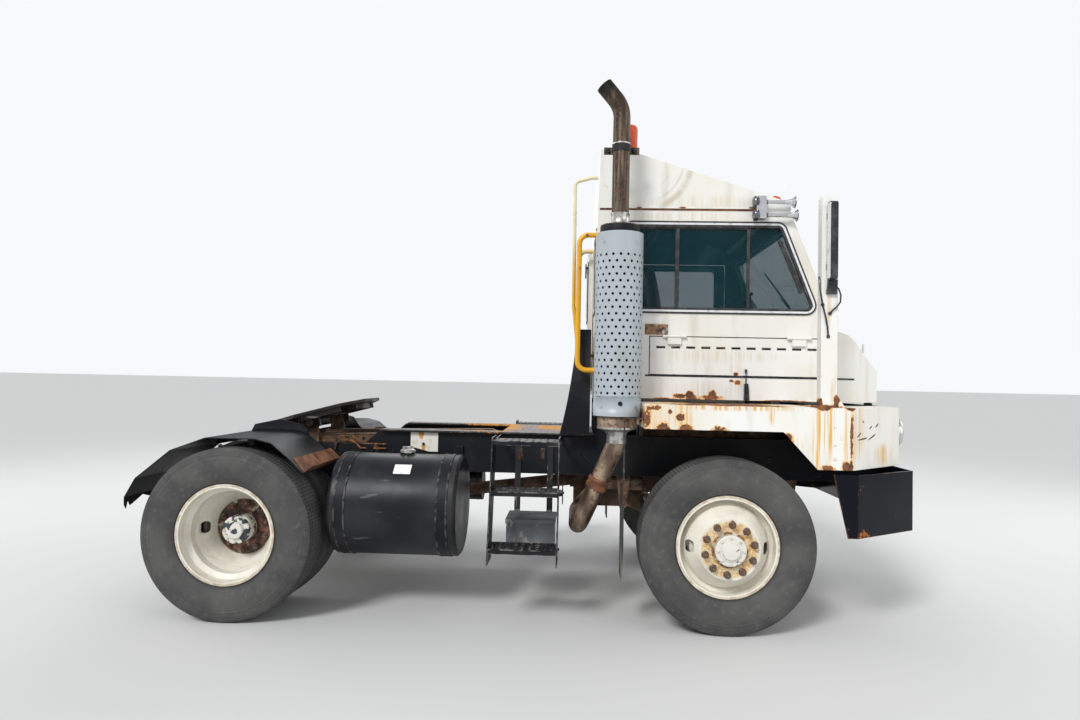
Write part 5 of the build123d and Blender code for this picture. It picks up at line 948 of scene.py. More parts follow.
for z, reach in ((2.470, 0.060), (1.125, 0.0625)):
    ear = stack_place @ Matrix.Translation((0, 0, z)) @ Matrix.Rotation(-1.1, 4, "Z")
    slab(clamps, [(reach - 0.002, -0.016), (reach + 0.026, -0.016), (reach + 0.026, 0.016), (reach - 0.002, 0.016)], ear, 0.030)
    bolt(clamps, ear @ Vector((reach + 0.013, -0.016, 0.015)), ear.to_3x3() @ Vector((0, -1, 0)), 0.016)
lathe(clamps, [(0.0555, 2.922), (0.0585, 2.923), (0.0585, 2.931), (0.0535, 2.932)], stack_place, 36)
piece("stack_clamps", clamps, "chassis", worn_alloy.material)
collars = bmesh.new()
lathe(collars, [(0.0535, 2.418), (0.118, 2.4185), (0.1215, 2.412), (0.1215, 2.372), (0.118, 2.3695)], stack_place, 48)
lathe(collars, [(0.0535, 2.878), (0.057, 2.879), (0.057, 2.926), (0.0535, 2.927)], stack_place, 36)
for offset in (-0.083, 0.083):
    bolt(collars, (STACK_X + offset, STACK_Y + 0.047, 2.902), (0, -1, 0), 0.020)
piece("stack_collars", collars, "chassis", old_black("sooty_black", rusty=0.8, gloss=0.55, dust=0.3))
elbow_run = (Vector((0.340, -0.920, 0.578)) - Vector((0.565, -0.950, 1.090))).normalized()
coupling = bmesh.new()
ring = [(0.0575, -0.034), (0.0655, -0.030), (0.068, -0.014), (0.063, -0.008), (0.063, 0.006), (0.068, 0.012), (0.0655, 0.030), (0.0575, 0.034)]
lathe(coupling, ring, aim((0.455, -0.9353, 0.840), elbow_run), 36)
piece("elbow_coupling", coupling, "chassis", bare_rust.material)
shield_grey = Finish("shield_enamel")
shield_dirt = shield_grey.step(shield_grey.grain(7, 7, (1, 1, 0.5)), 0.5, 0.8)
shield_chip = shield_grey.step(shield_grey.grain(36, 6), 0.72, 0.76)
shield_grey.wear(
    Base_Color=shield_grey.blend(
        shield_chip,
        shield_grey.blend(shield_grey.calc("MULTIPLY", shield_dirt, 0.5), (0.36, 0.405, 0.435), (0.26, 0.26, 0.245)),
        (0.13, 0.075, 0.05),
    ),
    Roughness=shield_grey.level(shield_dirt, 0.38, 0.6),
    Normal=shield_grey.relief(shield_grey.grain(30, 3), 0.0006),
)
SHIELD_RADIUS = 0.145
SHIELD_Z = (1.257, 2.368)
HOLES_ROUND, HOLE_ROWS_UP = 20, 22
ROW_PITCH = 0.0396
FIRST_ROW_Z = 1.257 + 0.118
shield = bmesh.new()


def on_shield(along, up, front):
    """A place on the rolled sheet, from the hole's column and row."""
    turn = 2 * math.pi * along / HOLES_ROUND
    reach = SHIELD_RADIUS - 0.003 + 0.003 * front
    return Vector((STACK_X + reach * math.cos(turn), STACK_Y + reach * math.sin(turn), FIRST_ROW_Z + ROW_PITCH * up))


pierced(shield, HOLES_ROUND, HOLE_ROWS_UP, (0.185, 0.213), on_shield, stagger=True, wrap=True)
for low, high in ((SHIELD_Z[0], FIRST_ROW_Z), (FIRST_ROW_Z + ROW_PITCH * HOLE_ROWS_UP, SHIELD_Z[1])):
    outer, inner = SHIELD_RADIUS, SHIELD_RADIUS - 0.003
    lathe(shield, [(inner, low), (outer, low), (outer, high), (inner, high), (inner, low)], stack_place, HOLES_ROUND * 4)
bmesh.ops.remove_doubles(shield, verts=shield.verts, dist=0.00002)
heat_shield = piece("perforated_shield", shield, "chassis", shield_grey.material)
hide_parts("heat_shield")
shield_seam = bmesh.new()
for z in (1.317, 2.308):
    for i in range(4):
        turn = math.radians(45 + 90 * i)
        inside = Vector((STACK_X + 0.1203 * math.cos(turn), STACK_Y + 0.1203 * math.sin(turn), z))
        lathe(shield_seam, [(0, 0), (0.008, 0), (0.008, 0.024), (0.0115, 0.0245), (0.0115, 0.029), (0, 0.029)],
              aim(inside, (math.cos(turn), math.sin(turn), 0)), 12)
piece("shield_standoffs", shield_seam, "chassis", shield_grey.material)
shield_screw = bmesh.new()
toward = Vector((math.cos(-1.5), math.sin(-1.5), 0))
bolt(shield_screw, Vector((STACK_X, STACK_Y, 1.335)) + toward * SHIELD_RADIUS, toward, 0.014)
piece("shield_screw", shield_screw, "chassis", hole_shade_and_dark_screws)

# Bumper. One heavy bent plate, glossy black, with rust breaking out along its raked rear edges and its lower
# corners. The eight bolts that hold it to the rails show on its face.
bumper_enamel = Finish("bumper_enamel")
low_down = bumper_enamel.step(bumper_enamel.axis("Z"), 0.66, 0.60)
raked = bumper_enamel.calc("ADD", bumper_enamel.axis("X"), bumper_enamel.calc("MULTIPLY", bumper_enamel.axis("Z"), 0.233))
near_back = bumper_enamel.step(raked, 2.045, 2.020)
attack = bumper_enamel.calc("ADD", bumper_enamel.calc("MULTIPLY", bumper_enamel.grain(11, 8), 0.7), bumper_enamel.calc("MULTIPLY", bumper_enamel.grain(50, 5), 0.3))
attack = bumper_enamel.calc("ADD", attack, bumper_enamel.calc("MULTIPLY", bumper_enamel.edge(0.008), 0.09))
attack = bumper_enamel.calc("ADD", attack, bumper_enamel.calc("MULTIPLY", bumper_enamel.most(low_down, near_back), 0.12))
eaten = bumper_enamel.step(attack, 0.655, 0.70)
film = bumper_enamel.calc("MULTIPLY", bumper_enamel.step(bumper_enamel.grain(2.5, 5, (1, 1, 0.4)), 0.50, 0.85), 0.16)
bumper_enamel.wear(
    Base_Color=bumper_enamel.blend(
        eaten, bumper_enamel.blend(film, (0.004, 0.005, 0.009), (0.085, 0.082, 0.075)), rust_colour(bumper_enamel)
    ),
    Roughness=bumper_enamel.calc("MAXIMUM", bumper_enamel.level(film, 0.12, 0.9), bumper_enamel.calc("MULTIPLY", eaten, 0.9)),
    Specular_IOR_Level=0.11,
    Normal=bumper_enamel.relief(bumper_enamel.calc("ADD", bumper_enamel.grain(3, 2), eaten), 0.0015, 0.004),
)
dress(bumper_enamel.material, "bumper")
bumper_bolts = bmesh.new()
for side in (-1, 1):
    for y in (0.36, 0.46):
        for z in (0.70, 0.86):
            head = [(0, 0), (0.021, 0), (0.020, 0.0045), (0.012, 0.0075), (0, 0.0085)]
            lathe(bumper_bolts, head, aim((2.3605, side * y, z), (1, 0, 0)), 20)
piece("bumper_bolts", bumper_bolts, "chassis", bumper_enamel.material)

# Front fenders. Folded sheet steel under old cream-white enamel. Rust has eaten the rear corners and lower
# edges and run down below the mirror posts, and the folded corners are dented and torn open in slits.


def weathered_white(name, spots=(), streaks=(), stain=(0.60, 0.50, 0.34, 0.45), bare_edges=0.10, inside=None, deep=0.90):
    """Old off-white enamel. Each spot is a centre and half size where rust breaks out, each streak one where
    water has stained it, in the colour and strength of stain. inside masks what is trimmed in dark board. A
    greater deep leaves more of the rust as orange bloom, and less of it as brown scale."""
    finish = Finish(name)
    cream = finish.step(finish.grain(1.7, 5), 0.35, 0.75)
    dirt = finish.calc("MULTIPLY", finish.step(finish.grain(11, 7, (1, 1, 0.14)), 0.50, 0.80), 0.55)
    chalk = finish.blend(cream, (0.76, 0.76, 0.74), (0.71, 0.68, 0.59))
    paint = finish.blend(dirt, chalk, (0.50, 0.45, 0.36))
    paint = finish.blend(finish.step(finish.grain(60, 5), 0.72, 0.78), paint, (0.32, 0.24, 0.17))
    run = finish.most(
        finish.step(finish.grain(75, 6, (1, 1, 0.02)), 0.46, 0.60),
        finish.calc("MULTIPLY", finish.step(finish.grain(20, 6, (1, 1, 0.06)), 0.42, 0.66), 0.45),
    )
    for centre, size in streaks:
        stained = finish.calc("MULTIPLY", finish.calc("MULTIPLY", finish.spot(centre, size), run), stain[3])
        paint = finish.blend(stained, paint, stain)
    ragged = finish.calc("ADD", finish.calc("MULTIPLY", finish.grain(13, 9), 0.75), finish.calc("MULTIPLY", finish.grain(60, 6), 0.50))
    field = finish.calc("ADD", finish.calc("SUBTRACT", ragged, 0.075), finish.calc("MULTIPLY", finish.edge(0.006), bare_edges))
    for centre, size in spots:
        field = finish.calc("ADD", field, finish.calc("MULTIPLY", finish.spot(centre, size), 0.50))
    halo = finish.step(field, deep - 0.21, deep + 0.01)
    core = finish.step(field, deep - 0.01, deep + 0.04)
    rim = finish.blend(finish.step(finish.grain(80, 5), 0.35, 0.65), (0.58, 0.24, 0.04), (0.84, 0.55, 0.23))
    paint = finish.blend(halo, paint, rim)
    surface = finish.blend(core, paint, finish.blend(finish.step(finish.grain(26, 6), 0.35, 0.65), (0.085, 0.035, 0.02), (0.24, 0.095, 0.035)))
    rough = finish.calc("MAXIMUM", finish.level(cream, 0.34, 0.52), finish.calc("MULTIPLY", halo, 0.85))
    if inside is not None:
        hidden = inside(finish)
        trim = finish.blend(finish.step(finish.grain(30, 5), 0.3, 0.7), (0.020, 0.022, 0.025), (0.045, 0.045, 0.047))
        surface = finish.blend(hidden, surface, trim)
        rough = finish.calc("MAXIMUM", rough, finish.calc("MULTIPLY", hidden, 0.8))
    height = finish.calc("ADD", finish.calc("MULTIPLY", finish.grain(4, 2), 1.2), finish.calc("MULTIPLY", core, -0.6))
    finish.wear(Base_Color=surface, Roughness=rough, Normal=finish.relief(height, 0.0016, 0.003))
    return finish


FENDER_SPOTS = [
    ((0.728, -1.18, 1.262), (0.040, 3.6, 0.105)),
    ((0.775, -1.18, 1.318), (0.060, 3.6, 0.028)),
    ((0.819, -1.18, 1.188), (0.078, 3.6, 0.078)),
    ((0.947, -1.18, 1.188), (0.074, 3.6, 0.074)),
    ((1.143, -1.18, 1.188), (0.080, 3.6, 0.062)),
    ((1.300, -1.18, 1.180), (0.090, 3.6, 0.018)),
    ((0.857, -1.18, 1.297), (0.026, 3.6, 0.026)),
    ((0.915, -1.18, 1.268), (0.046, 3.6, 0.038)),
    ((1.530, -1.18, 1.165), (0.040, 3.6, 0.040)),
    ((1.755, -1.18, 0.995), (0.075, 3.6, 0.030)),
    ((1.865, -1.18, 0.995), (0.055, 3.6, 0.062)),
    ((1.888, -1.18, 1.170), (0.017, 3.6, 0.230)),
    ((1.730, -1.18, 1.335), (0.075, 3.6, 0.022)),
    ((1.880, -1.18, 1.336), (0.050, 3.6, 0.018)),
    ((1.200, -1.18, 1.342), (0.600, 3.6, 0.010)),
]
FENDER_STREAKS = [
    ((0.775, -1.18, 1.265), (0.120, 3.6, 0.150)),
    ((0.930, -1.18, 1.260), (0.090, 3.6, 0.110)),
    ((1.700, -1.18, 1.180), (0.048, 3.6, 0.420)),
    ((1.760, -1.18, 1.230), (0.060, 3.6, 0.260)),
    ((1.880, -1.18, 1.170), (0.050, 3.6, 0.400)),
    ((1.200, -1.18, 1.330), (0.520, 3.6, 0.030)),
    ((1.440, -1.18, 1.300), (0.030, 3.6, 0.090)),
    ((1.560, -1.18, 1.120), (0.070, 3.6, 0.080)),
    ((1.950, -1.14, 1.230), (0.060, 3.6, 0.250)),
    ((2.160, -1.00, 1.060), (0.110, 3.6, 0.090)),
]
ORANGE_RUN = (0.66, 0.38, 0.09, 1.0)
fender_white = weathered_white("fender_white", FENDER_SPOTS, FENDER_STREAKS, ORANGE_RUN, bare_edges=0.13)
dress(fender_white.material, "front_fender_right", "front_fender_left")
fender_trim = bmesh.new()
slits = bmesh.new()
for side in (-1, 1):
    for z in (1.232, 1.129, 1.047):
        head = [(0, 0), (0.011, 0), (0.011, 0.0018), (0.0065, 0.0020), (0.0055, 0.0055), (0, 0.0062)]
        lathe(fender_trim, head, aim((1.794, side * 1.1785, z), (0, side, 0)), 16)
    folded = Vector((2.315 - 1.898, -side * (1.180 - 0.805), 0)).normalized()
    outward = Vector((abs(folded.y), side * folded.x, 0))
    for along, z, length, lean in ((0.062, 1.186, 0.060, 0.5), (0.105, 1.162, 0.120, 0.10), (0.215, 1.170, 0.105, 0.35),
                                   (0.200, 1.226, 0.040, 0.5), (0.275, 1.236, 0.052, 0.5), (0.110, 1.262, 0.022, -0.4)):
        centre = Vector((1.898, side * 1.180, z)) + folded * along
        run = (folded * math.cos(lean) + Vector((0, 0, 1)) * math.sin(lean)).normalized()
        rise = outward.cross(run).normalized()
        place = Matrix.Identity(4)
        place.col[0], place.col[1] = (*run, 0), (*rise, 0)
        place.col[2], place.col[3] = (*outward, 0), (*(centre - outward * 0.001), 1)
        half = length / 2
        slab(slits, [(-half, 0), (-half * 0.4, -0.004), (half * 0.5, -0.0045), (half, 0.001), (half * 0.3, 0.0035), (-half * 0.5, 0.003)],
             place, 0.0022)
piece("fender_bolts", fender_trim, "chassis", fender_white.material)
# Each slit is a thin slab laid on the fold, near black to rust brown: painted shade for the opening of the tear, with
# rust in it.
slit_shade_and_rust = Finish("torn_slit_shade_and_rust")
slit_shade_and_rust.wear(
    Base_Color=slit_shade_and_rust.blend(slit_shade_and_rust.step(slit_shade_and_rust.grain(90, 4), 0.4, 0.6), (0.015, 0.010, 0.008), (0.16, 0.07, 0.03)),
    Roughness=0.9,
)
piece("fender_slits", slits, "chassis", slit_shade_and_rust.material)

# Grille and headlamps. The grille is louvred sheet, black where the enamel has chalked; each lamp is a bright
# dish behind a fluted glass, held by a rim with three screws.
grille_black = old_black("grille_black", rusty=0.35, gloss=0.5, dust=0.4)
dress(grille_black, "grille")
lamp_shell = Finish("lamp_shell", metal=0.9)
lamp_shell.wear(
    Base_Color=lamp_shell.blend(lamp_shell.step(lamp_shell.grain(30, 5), 0.55, 0.75), (0.60, 0.60, 0.60), (0.26, 0.22, 0.18)),
    Roughness=lamp_shell.level(lamp_shell.grain(12, 4), 0.12, 0.42),
)
dress(lamp_shell.material, "headlamps")
lamp_glass = Finish("fluted_glass")
flute = lamp_glass.step(lamp_glass.calc("ABSOLUTE", lamp_glass.calc("SUBTRACT", lamp_glass.calc("FRACT", lamp_glass.calc("MULTIPLY", lamp_glass.axis("Y"), 90)), 0.5)), 0.0, 0.5)
lamp_glass.wear(
    Base_Color=lamp_glass.blend(lamp_glass.grain(20, 4), (0.62, 0.64, 0.63), (0.80, 0.81, 0.78)),
    Roughness=0.06,
    Normal=lamp_glass.relief(flute, 0.002),
)
lamp_rims = bmesh.new()
lamp_faces = bmesh.new()
for side in (-1, 1):
    front = aim((2.349, side * 0.682, 1.180), (1, 0, 0))
    rim = [(0.074, 0.0), (0.074, 0.008), (0.080, 0.012), (0.089, 0.010), (0.0935, 0.002), (0.0935, -0.010), (0.090, -0.010)]
    lathe(lamp_rims, rim, front, 48)
    lathe(lamp_faces, [(0.0745, 0.001), (0.060, 0.006), (0.035, 0.010), (0.015, 0.0115), (0, 0.012)], front, 48)
    for i in range(3):
        turn = math.radians(90 + 120 * i)
        screw = front @ Vector((0.0855 * math.cos(turn), 0.0855 * math.sin(turn), 0.0105))
        lathe(lamp_rims, [(0, 0.002), (0.003, 0.002), (0.0042, 0)], aim(screw, (1, 0, 0)), 10)
piece("lamp_rims", lamp_rims, "chassis", lamp_shell.material)
piece("lamp_faces", lamp_faces, "chassis", lamp_glass.material)

# Mud flaps. Thin rubber sheets greyed with road dust, each hung from a steel strap that has gone brown and is
# held by four small bolts.
flap_rubber = Finish("flap_rubber")
caked = flap_rubber.step(flap_rubber.calc("ADD", flap_rubber.grain(6, 7, (1, 1, 0.5)), flap_rubber.calc("MULTIPLY", flap_rubber.axis("Z"), -0.25)), 0.26, 0.50)
strap_rust = flap_rubber.step(flap_rubber.axis("Z"), 0.70, 0.74)
flap_rubber.wear(
    Base_Color=flap_rubber.blend(
        strap_rust, flap_rubber.blend(caked, (0.020, 0.020, 0.021), (0.17, 0.155, 0.135)),
        flap_rubber.blend(flap_rubber.step(flap_rubber.grain(30, 6), 0.45, 0.70), (0.018, 0.014, 0.012), (0.13, 0.07, 0.04)),
    ),
    Roughness=flap_rubber.level(caked, 0.6, 0.95),
    Normal=flap_rubber.relief(flap_rubber.grain(14, 5), 0.003),
)
dress(flap_rubber.material, "mudflaps")
flap_bolts = bmesh.new()
for side in (-1, 1):
    for y in (1.108, 1.127):
        for z in (0.735, 0.815):
            bolt(flap_bolts, (0.606, side * y, z), (1, 0, 0), 0.011)
piece("flap_bolts", flap_bolts, "chassis", nut_steel.material)

# Mirror posts and mirrors. Box posts of the same enamelled steel stand on the fenders in a rusty weld; long
# black heads hang on them, and a heater lead runs from each head into its post.
post_white = weathered_white(
    "post_white",
    spots=[((1.750, -1.150, 1.340), (0.130, 3.6, 0.032)), ((1.800, -1.180, 1.385), (0.030, 3.6, 0.040)),
           ((1.712, -1.180, 1.370), (0.016, 3.6, 0.040))],
    streaks=[((1.745, -1.180, 1.900), (0.040, 3.6, 0.160)), ((1.790, -1.180, 1.420), (0.040, 3.6, 0.120))],
    stain=(0.56, 0.33, 0.11, 0.5),
    bare_edges=0.05,
)
dress(post_white.material, "mirror_posts")
mirror_black = Finish("mirror_black")
mirror_haze = mirror_black.step(mirror_black.grain(18, 6), 0.4, 0.8)
mirror_black.wear(
    Base_Color=mirror_black.blend(mirror_haze, (0.010, 0.012, 0.014), (0.055, 0.055, 0.055)),
    Roughness=mirror_black.level(mirror_haze, 0.22, 0.5),
    Normal=mirror_black.relief(mirror_black.grain(90, 3), 0.0004),
)
dress(mirror_black.material, "mirror_heads")
silvered = Finish("silvered_glass", metal=1.0)
silvered.wear(
    Base_Color=silvered.blend(silvered.step(silvered.grain(12, 6), 0.5, 0.8), (0.78, 0.80, 0.81), (0.50, 0.49, 0.46)),
    Roughness=silvered.level(silvered.step(silvered.grain(30, 5), 0.5, 0.8), 0.03, 0.25),
)
mirror_faces = bmesh.new()
mirror_arms = bmesh.new()
mirror_leads = bmesh.new()
for side in (-1, 1):
    across_truck = Matrix(((0, 0, -1, 1.7375), (side, 0, 0, 0), (0, 1, 0, 0), (0, 0, 0, 1)))
    glass_edge = []
    for cy, cz, start in ((1.237, 2.500, 0), (1.198, 2.500, 90), (1.198, 2.088, 180), (1.237, 2.088, 270)):
        for i in range(5):
            turn = math.radians(start + 22.5 * i)
            glass_edge.append((cy + 0.010 * math.cos(turn), cz + 0.010 * math.sin(turn)))
    slab(mirror_faces, glass_edge, across_truck, 0.0012)
    for z in (2.145, 2.440):
        tube(mirror_arms, [(1.757, side * 1.176, z), (1.757, side * 1.200, z)], 0.009)
        slab(mirror_arms, [(-0.022, -0.018), (0.022, -0.018), (0.022, 0.018), (-0.022, 0.018)],
             aim((1.757, side * 1.178, z), (0, side, 0)), 0.004)
    slab(mirror_arms, [(1.735, 1.990), (1.790, 1.990), (1.795, 2.072), (1.742, 2.072)],
         Matrix(((1, 0, 0, 0), (0, 0, side, side * 1.181), (0, 1, 0, 0), (0, 0, 0, 1))), 0.020)
    loop = [(1.737, 1.188, 2.010), (1.748, 1.196, 2.040), (1.775, 1.200, 2.040), (1.800, 1.200, 2.020), (1.813, 1.198, 1.985),
            (1.811, 1.196, 1.945), (1.792, 1.193, 1.917), (1.770, 1.189, 1.898), (1.758, 1.186, 1.880)]
    tube(mirror_leads, [(x, side * y, z) for x, y, z in loop], 0.0048, 10)
    down = [(1.706, 1.150, 2.095), (1.704, 1.165, 2.060), (1.706, 1.178, 2.000), (1.716, 1.184, 1.930), (1.733, 1.186, 1.860),
            (1.744, 1.1855, 1.800), (1.749, 1.1845, 1.745)]
    tube(mirror_leads, [(x, side * y, z) for x, y, z in down], 0.0052, 10)
    for x, z in ((1.758, 1.880), (1.716, 1.930), (1.749, 1.748)):
        lathe(mirror_arms, [(0, 0), (0.010, 0), (0.010, 0.008), (0, 0.009)], aim((x, side * 1.179, z), (0, side, 0)), 12)
piece("mirror_faces", mirror_faces, "chassis", silvered.material)
piece("mirror_arms", mirror_arms, "chassis", mirror_black.material)
piece("mirror_leads", mirror_leads, "chassis", mirror_black.material)

# Cab shell. Flanged steel sheet in the same old white, trimmed dark inside. It has a louvred engine panel in
# its side, held shut by a rubber draw latch; above that a plate is gone and has left a brown, rusty patch.
CAB_RIGHT = -0.700
CAB_LEFT = 1.060
CAB_REAR_X = 0.435


def trimmed(finish):
    """1 on every face inside the cab, 0 on its outside."""
    across = finish.calc("ABSOLUTE", finish.calc("SUBTRACT", finish.axis("Y"), 0.180))
    raked = finish.calc("ADD", finish.calc("MULTIPLY", finish.axis("X"), 0.930), finish.calc("MULTIPLY", finish.axis("Z"), 0.367))
    below_roof = finish.calc("ADD", finish.calc("MULTIPLY", finish.axis("X"), 0.306), finish.calc("MULTIPLY", finish.axis("Z"), 0.952))
    inside = finish.step(across, 0.846, 0.844)
    for mask in (
        finish.step(finish.axis("X"), 0.468, 0.471),
        finish.step(raked, 2.478, 2.472),
        finish.step(below_roof, 3.009, 3.003),
        finish.step(finish.axis("Z"), 1.388, 1.392),
    ):
        inside = finish.calc("MINIMUM", inside, mask)
    return inside


def within(finish, letter, low, high, soft=0.004):
    """1 between two values of x, y or z, with soft ends."""
    rising = finish.step(finish.axis(letter), low - soft, low + soft)
    falling = finish.step(finish.axis(letter), high + soft, high - soft)
    return finish.calc("MINIMUM", rising, falling)


cab_white = weathered_white(
    "cab_white",
    spots=[((1.130, CAB_RIGHT, 1.372), (0.260, 0.2, 0.034)), ((1.045, CAB_RIGHT, 1.400), (0.045, 0.2, 0.034)),
           ((1.190, CAB_RIGHT, 1.402), (0.040, 0.2, 0.038)), ((0.970, CAB_RIGHT, 1.385), (0.060, 0.2, 0.030)),
           ((0.860, CAB_RIGHT, 1.362), (0.130, 0.2, 0.014)), ((1.350, CAB_RIGHT, 1.474), (0.050, 0.2, 0.030)),
           ((1.306, CAB_RIGHT, 1.486), (0.026, 0.2, 0.020)), ((1.640, CAB_RIGHT, 1.362), (0.240, 0.2, 0.012)),
           ((0.950, CAB_LEFT, 1.372), (0.300, 0.2, 0.030))],
    streaks=[((1.130, CAB_RIGHT, 1.420), (0.300, 0.2, 0.080)), ((1.360, CAB_RIGHT, 1.465), (0.080, 0.2, 0.060)),
             ((0.960, CAB_RIGHT, 2.540), (0.500, 0.2, 0.050)), ((0.820, CAB_RIGHT, 1.830), (0.120, 0.2, 0.090)),
             ((0.450, 0.300, 2.300), (0.050, 0.6, 0.400))],
    bare_edges=0.05,
    inside=trimmed,
    deep=0.985,
)
shell = cab_white
on_right = shell.step(shell.axis("Y"), CAB_RIGHT + 0.006, CAB_RIGHT + 0.003)
brown = shell.calc("MINIMUM", within(shell, "X", 0.751, 0.900, 0.003), within(shell, "Z", 1.772, 1.841, 0.003))
brown = shell.calc("MINIMUM", brown, on_right)
bared = shell.calc("MINIMUM", within(shell, "X", 0.735, 0.862, 0.002), within(shell, "Z", 1.851, 1.893, 0.002))
bared = shell.calc("MINIMUM", bared, on_right)
old_colour = shell.shader.inputs["Base Color"].links[0].from_socket
mottled = shell.blend(shell.step(shell.grain(48, 7), 0.36, 0.62), (0.045, 0.022, 0.014), (0.30, 0.155, 0.075))
old_colour = shell.blend(shell.calc("MULTIPLY", brown, shell.step(shell.grain(20, 6), 0.30, 0.46)), old_colour, mottled)
old_colour = shell.blend(bared, old_colour, (0.84, 0.84, 0.83))
shell.wear(Base_Color=old_colour)
dress(shell.material, "cab_right_wall", "cab_left_wall", "cab_rear_wall", "cab_front")
panel_white = weathered_white(
    "panel_white",
    spots=[((1.335, CAB_RIGHT, 1.527), (0.030, 0.2, 0.022))],
    streaks=[((1.200, CAB_RIGHT, 1.640), (0.600, 0.2, 0.060)), ((1.330, CAB_RIGHT, 1.560), (0.060, 0.2, 0.060))],
    bare_edges=0.04,
    inside=trimmed,
)
# Faces set back inside the louvre slots go near black to rust brown: rust, and painted shade in the slots.
louvre_slot_inside = panel_white.calc("MINIMUM", within(panel_white, "Z", 1.6862, 1.7035, 0.0008),
                          panel_white.step(panel_white.axis("Y"), CAB_RIGHT + 0.0008, CAB_RIGHT + 0.0035))
slot_rust_and_shade = panel_white.blend(panel_white.step(panel_white.grain(50, 5), 0.5, 0.7), (0.020, 0.017, 0.016), (0.30, 0.16, 0.11))
panel_colour = panel_white.shader.inputs["Base Color"].links[0].from_socket
panel_white.wear(Base_Color=panel_white.blend(louvre_slot_inside, panel_colour, slot_rust_and_shade))
dress(panel_white.material, "side_panel")
floor_board = Finish("floor_board")
floor_board.wear(
    Base_Color=floor_board.blend(floor_board.step(floor_board.grain(8, 7), 0.4, 0.7), (0.014, 0.014, 0.015), (0.09, 0.075, 0.06)),
    Roughness=floor_board.level(floor_board.grain(9, 5), 0.6, 0.9),
    Normal=floor_board.relief(floor_board.grain(90, 3), 0.001),
)
dress(floor_board.material, "cab_floor")


def on_side(y, side):
    """A place on a side wall: its x is the truck's x, its y is the height, and it faces outward."""
    return Matrix(((1, 0, 0, 0), (0, 0, side, y), (0, 1, 0, 0), (0, 0, 0, 1)))


def on_back(x):
    """A place on the rear wall: its x is the truck's y, its y is the height, and it faces rearward."""
    return Matrix(((0, 0, -1, x), (1, 0, 0, 0), (0, 1, 0, 0), (0, 0, 0, 1)))


def rounded(corners, radius, steps=6):
    """An outline with its corners rounded."""
    outline = []
    for i, corner in enumerate(corners):
        at = Vector(corner)
        before = (Vector(corners[i - 1]) - at).normalized()
        after = (Vector(corners[(i + 1) % len(corners)]) - at).normalized()
        half = before.angle(after) / 2
        middle = at + (before + after).normalized() * radius / math.sin(half)
        start = at + before * radius / math.tan(half) - middle
        sweep = start.angle_signed(at + after * radius / math.tan(half) - middle)
        for k in range(steps + 1):
            turn = -sweep * k / steps
            turned = (start.x * math.cos(turn) - start.y * math.sin(turn), start.x * math.sin(turn) + start.y * math.cos(turn))
            outline.append((middle.x + turned[0], middle.y + turned[1]))
    return outline


def inset(corners, by):
    """The outline's straight sides moved inward by this much, for corners that run anticlockwise."""
    moved = []
    for i, corner in enumerate(corners):
        at = Vector(corner)
        before = (at - Vector(corners[i - 1])).normalized()
        after = (Vector(corners[(i + 1) % len(corners)]) - at).normalized()
        inward_before, inward_after = Vector((-before.y, before.x)), Vector((-after.y, after.x))
        blend = (inward_before + inward_after).normalized()
        moved.append(tuple(at + blend * by / blend.dot(inward_before)))
    return moved


def band(shape, outer, inner, place, thick):
    """A flat ring between two outlines that have as many points."""
    layers = []
    for height in (0, thick):
        for outline in (outer, inner):
            layers.append([shape.verts.new(place @ Vector((x, y, height))) for x, y in outline])
    low_out, low_in, high_out, high_in = layers
    for i in range(len(outer)):
        j = (i + 1) % len(outer)
        for one, two in ((high_out, high_in), (low_in, low_out), (low_out, high_out), (high_in, low_in)):
            shape.faces.new([one[i], one[j], two[j], two[i]])


def window_frame(shape, corners, radius, outside, inside, place, thick):
    """A ring round a window from outside its edge to inside it."""
    outer = rounded(inset(corners, -outside), radius + outside)
    inner = rounded(inset(corners, inside), max(radius - inside, 0.004))
    band(shape, outer, inner, place, thick)


latch = bmesh.new()
latch_face = on_side(CAB_RIGHT, -1)
slab(latch, [(1.392, 1.538), (1.404, 1.538), (1.404, 1.560), (1.392, 1.560)], latch_face, 0.016)
slab(latch, [(1.3945, 1.462), (1.4015, 1.462), (1.4005, 1.545), (1.3955, 1.545)], latch_face @ Matrix.Translation((0, 0, 0.008)), 0.005)
slab(latch, rounded([(1.386, 1.362), (1.418, 1.362), (1.412, 1.470), (1.388, 1.470)], 0.006, 3), latch_face, 0.020)
slab(latch, rounded([(1.393, 1.366), (1.411, 1.366), (1.406, 1.452), (1.395, 1.452)], 0.004, 3), latch_face, 0.028)
for z in (1.378, 1.412, 1.446):
    lathe(latch, [(0, 0.028), (0.0045, 0.028), (0.004, 0.031), (0, 0.0315)], latch_face @ Matrix.Translation((1.402, z, 0)), 10)
draw_latch = piece("draw_latch", latch, "cab", mirror_black.material)
nose_lamp = bmesh.new()
for side, y in ((-1, -0.600), (1, 0.960)):
    flank = on_side(y, side)
    slab(nose_lamp, rounded([(2.166, 1.684), (2.188, 1.684), (2.180, 1.742), (2.166, 1.742)], 0.005, 3), flank, 0.028)
piece("nose_lamps", nose_lamp, "cab", lamp_glass.material)
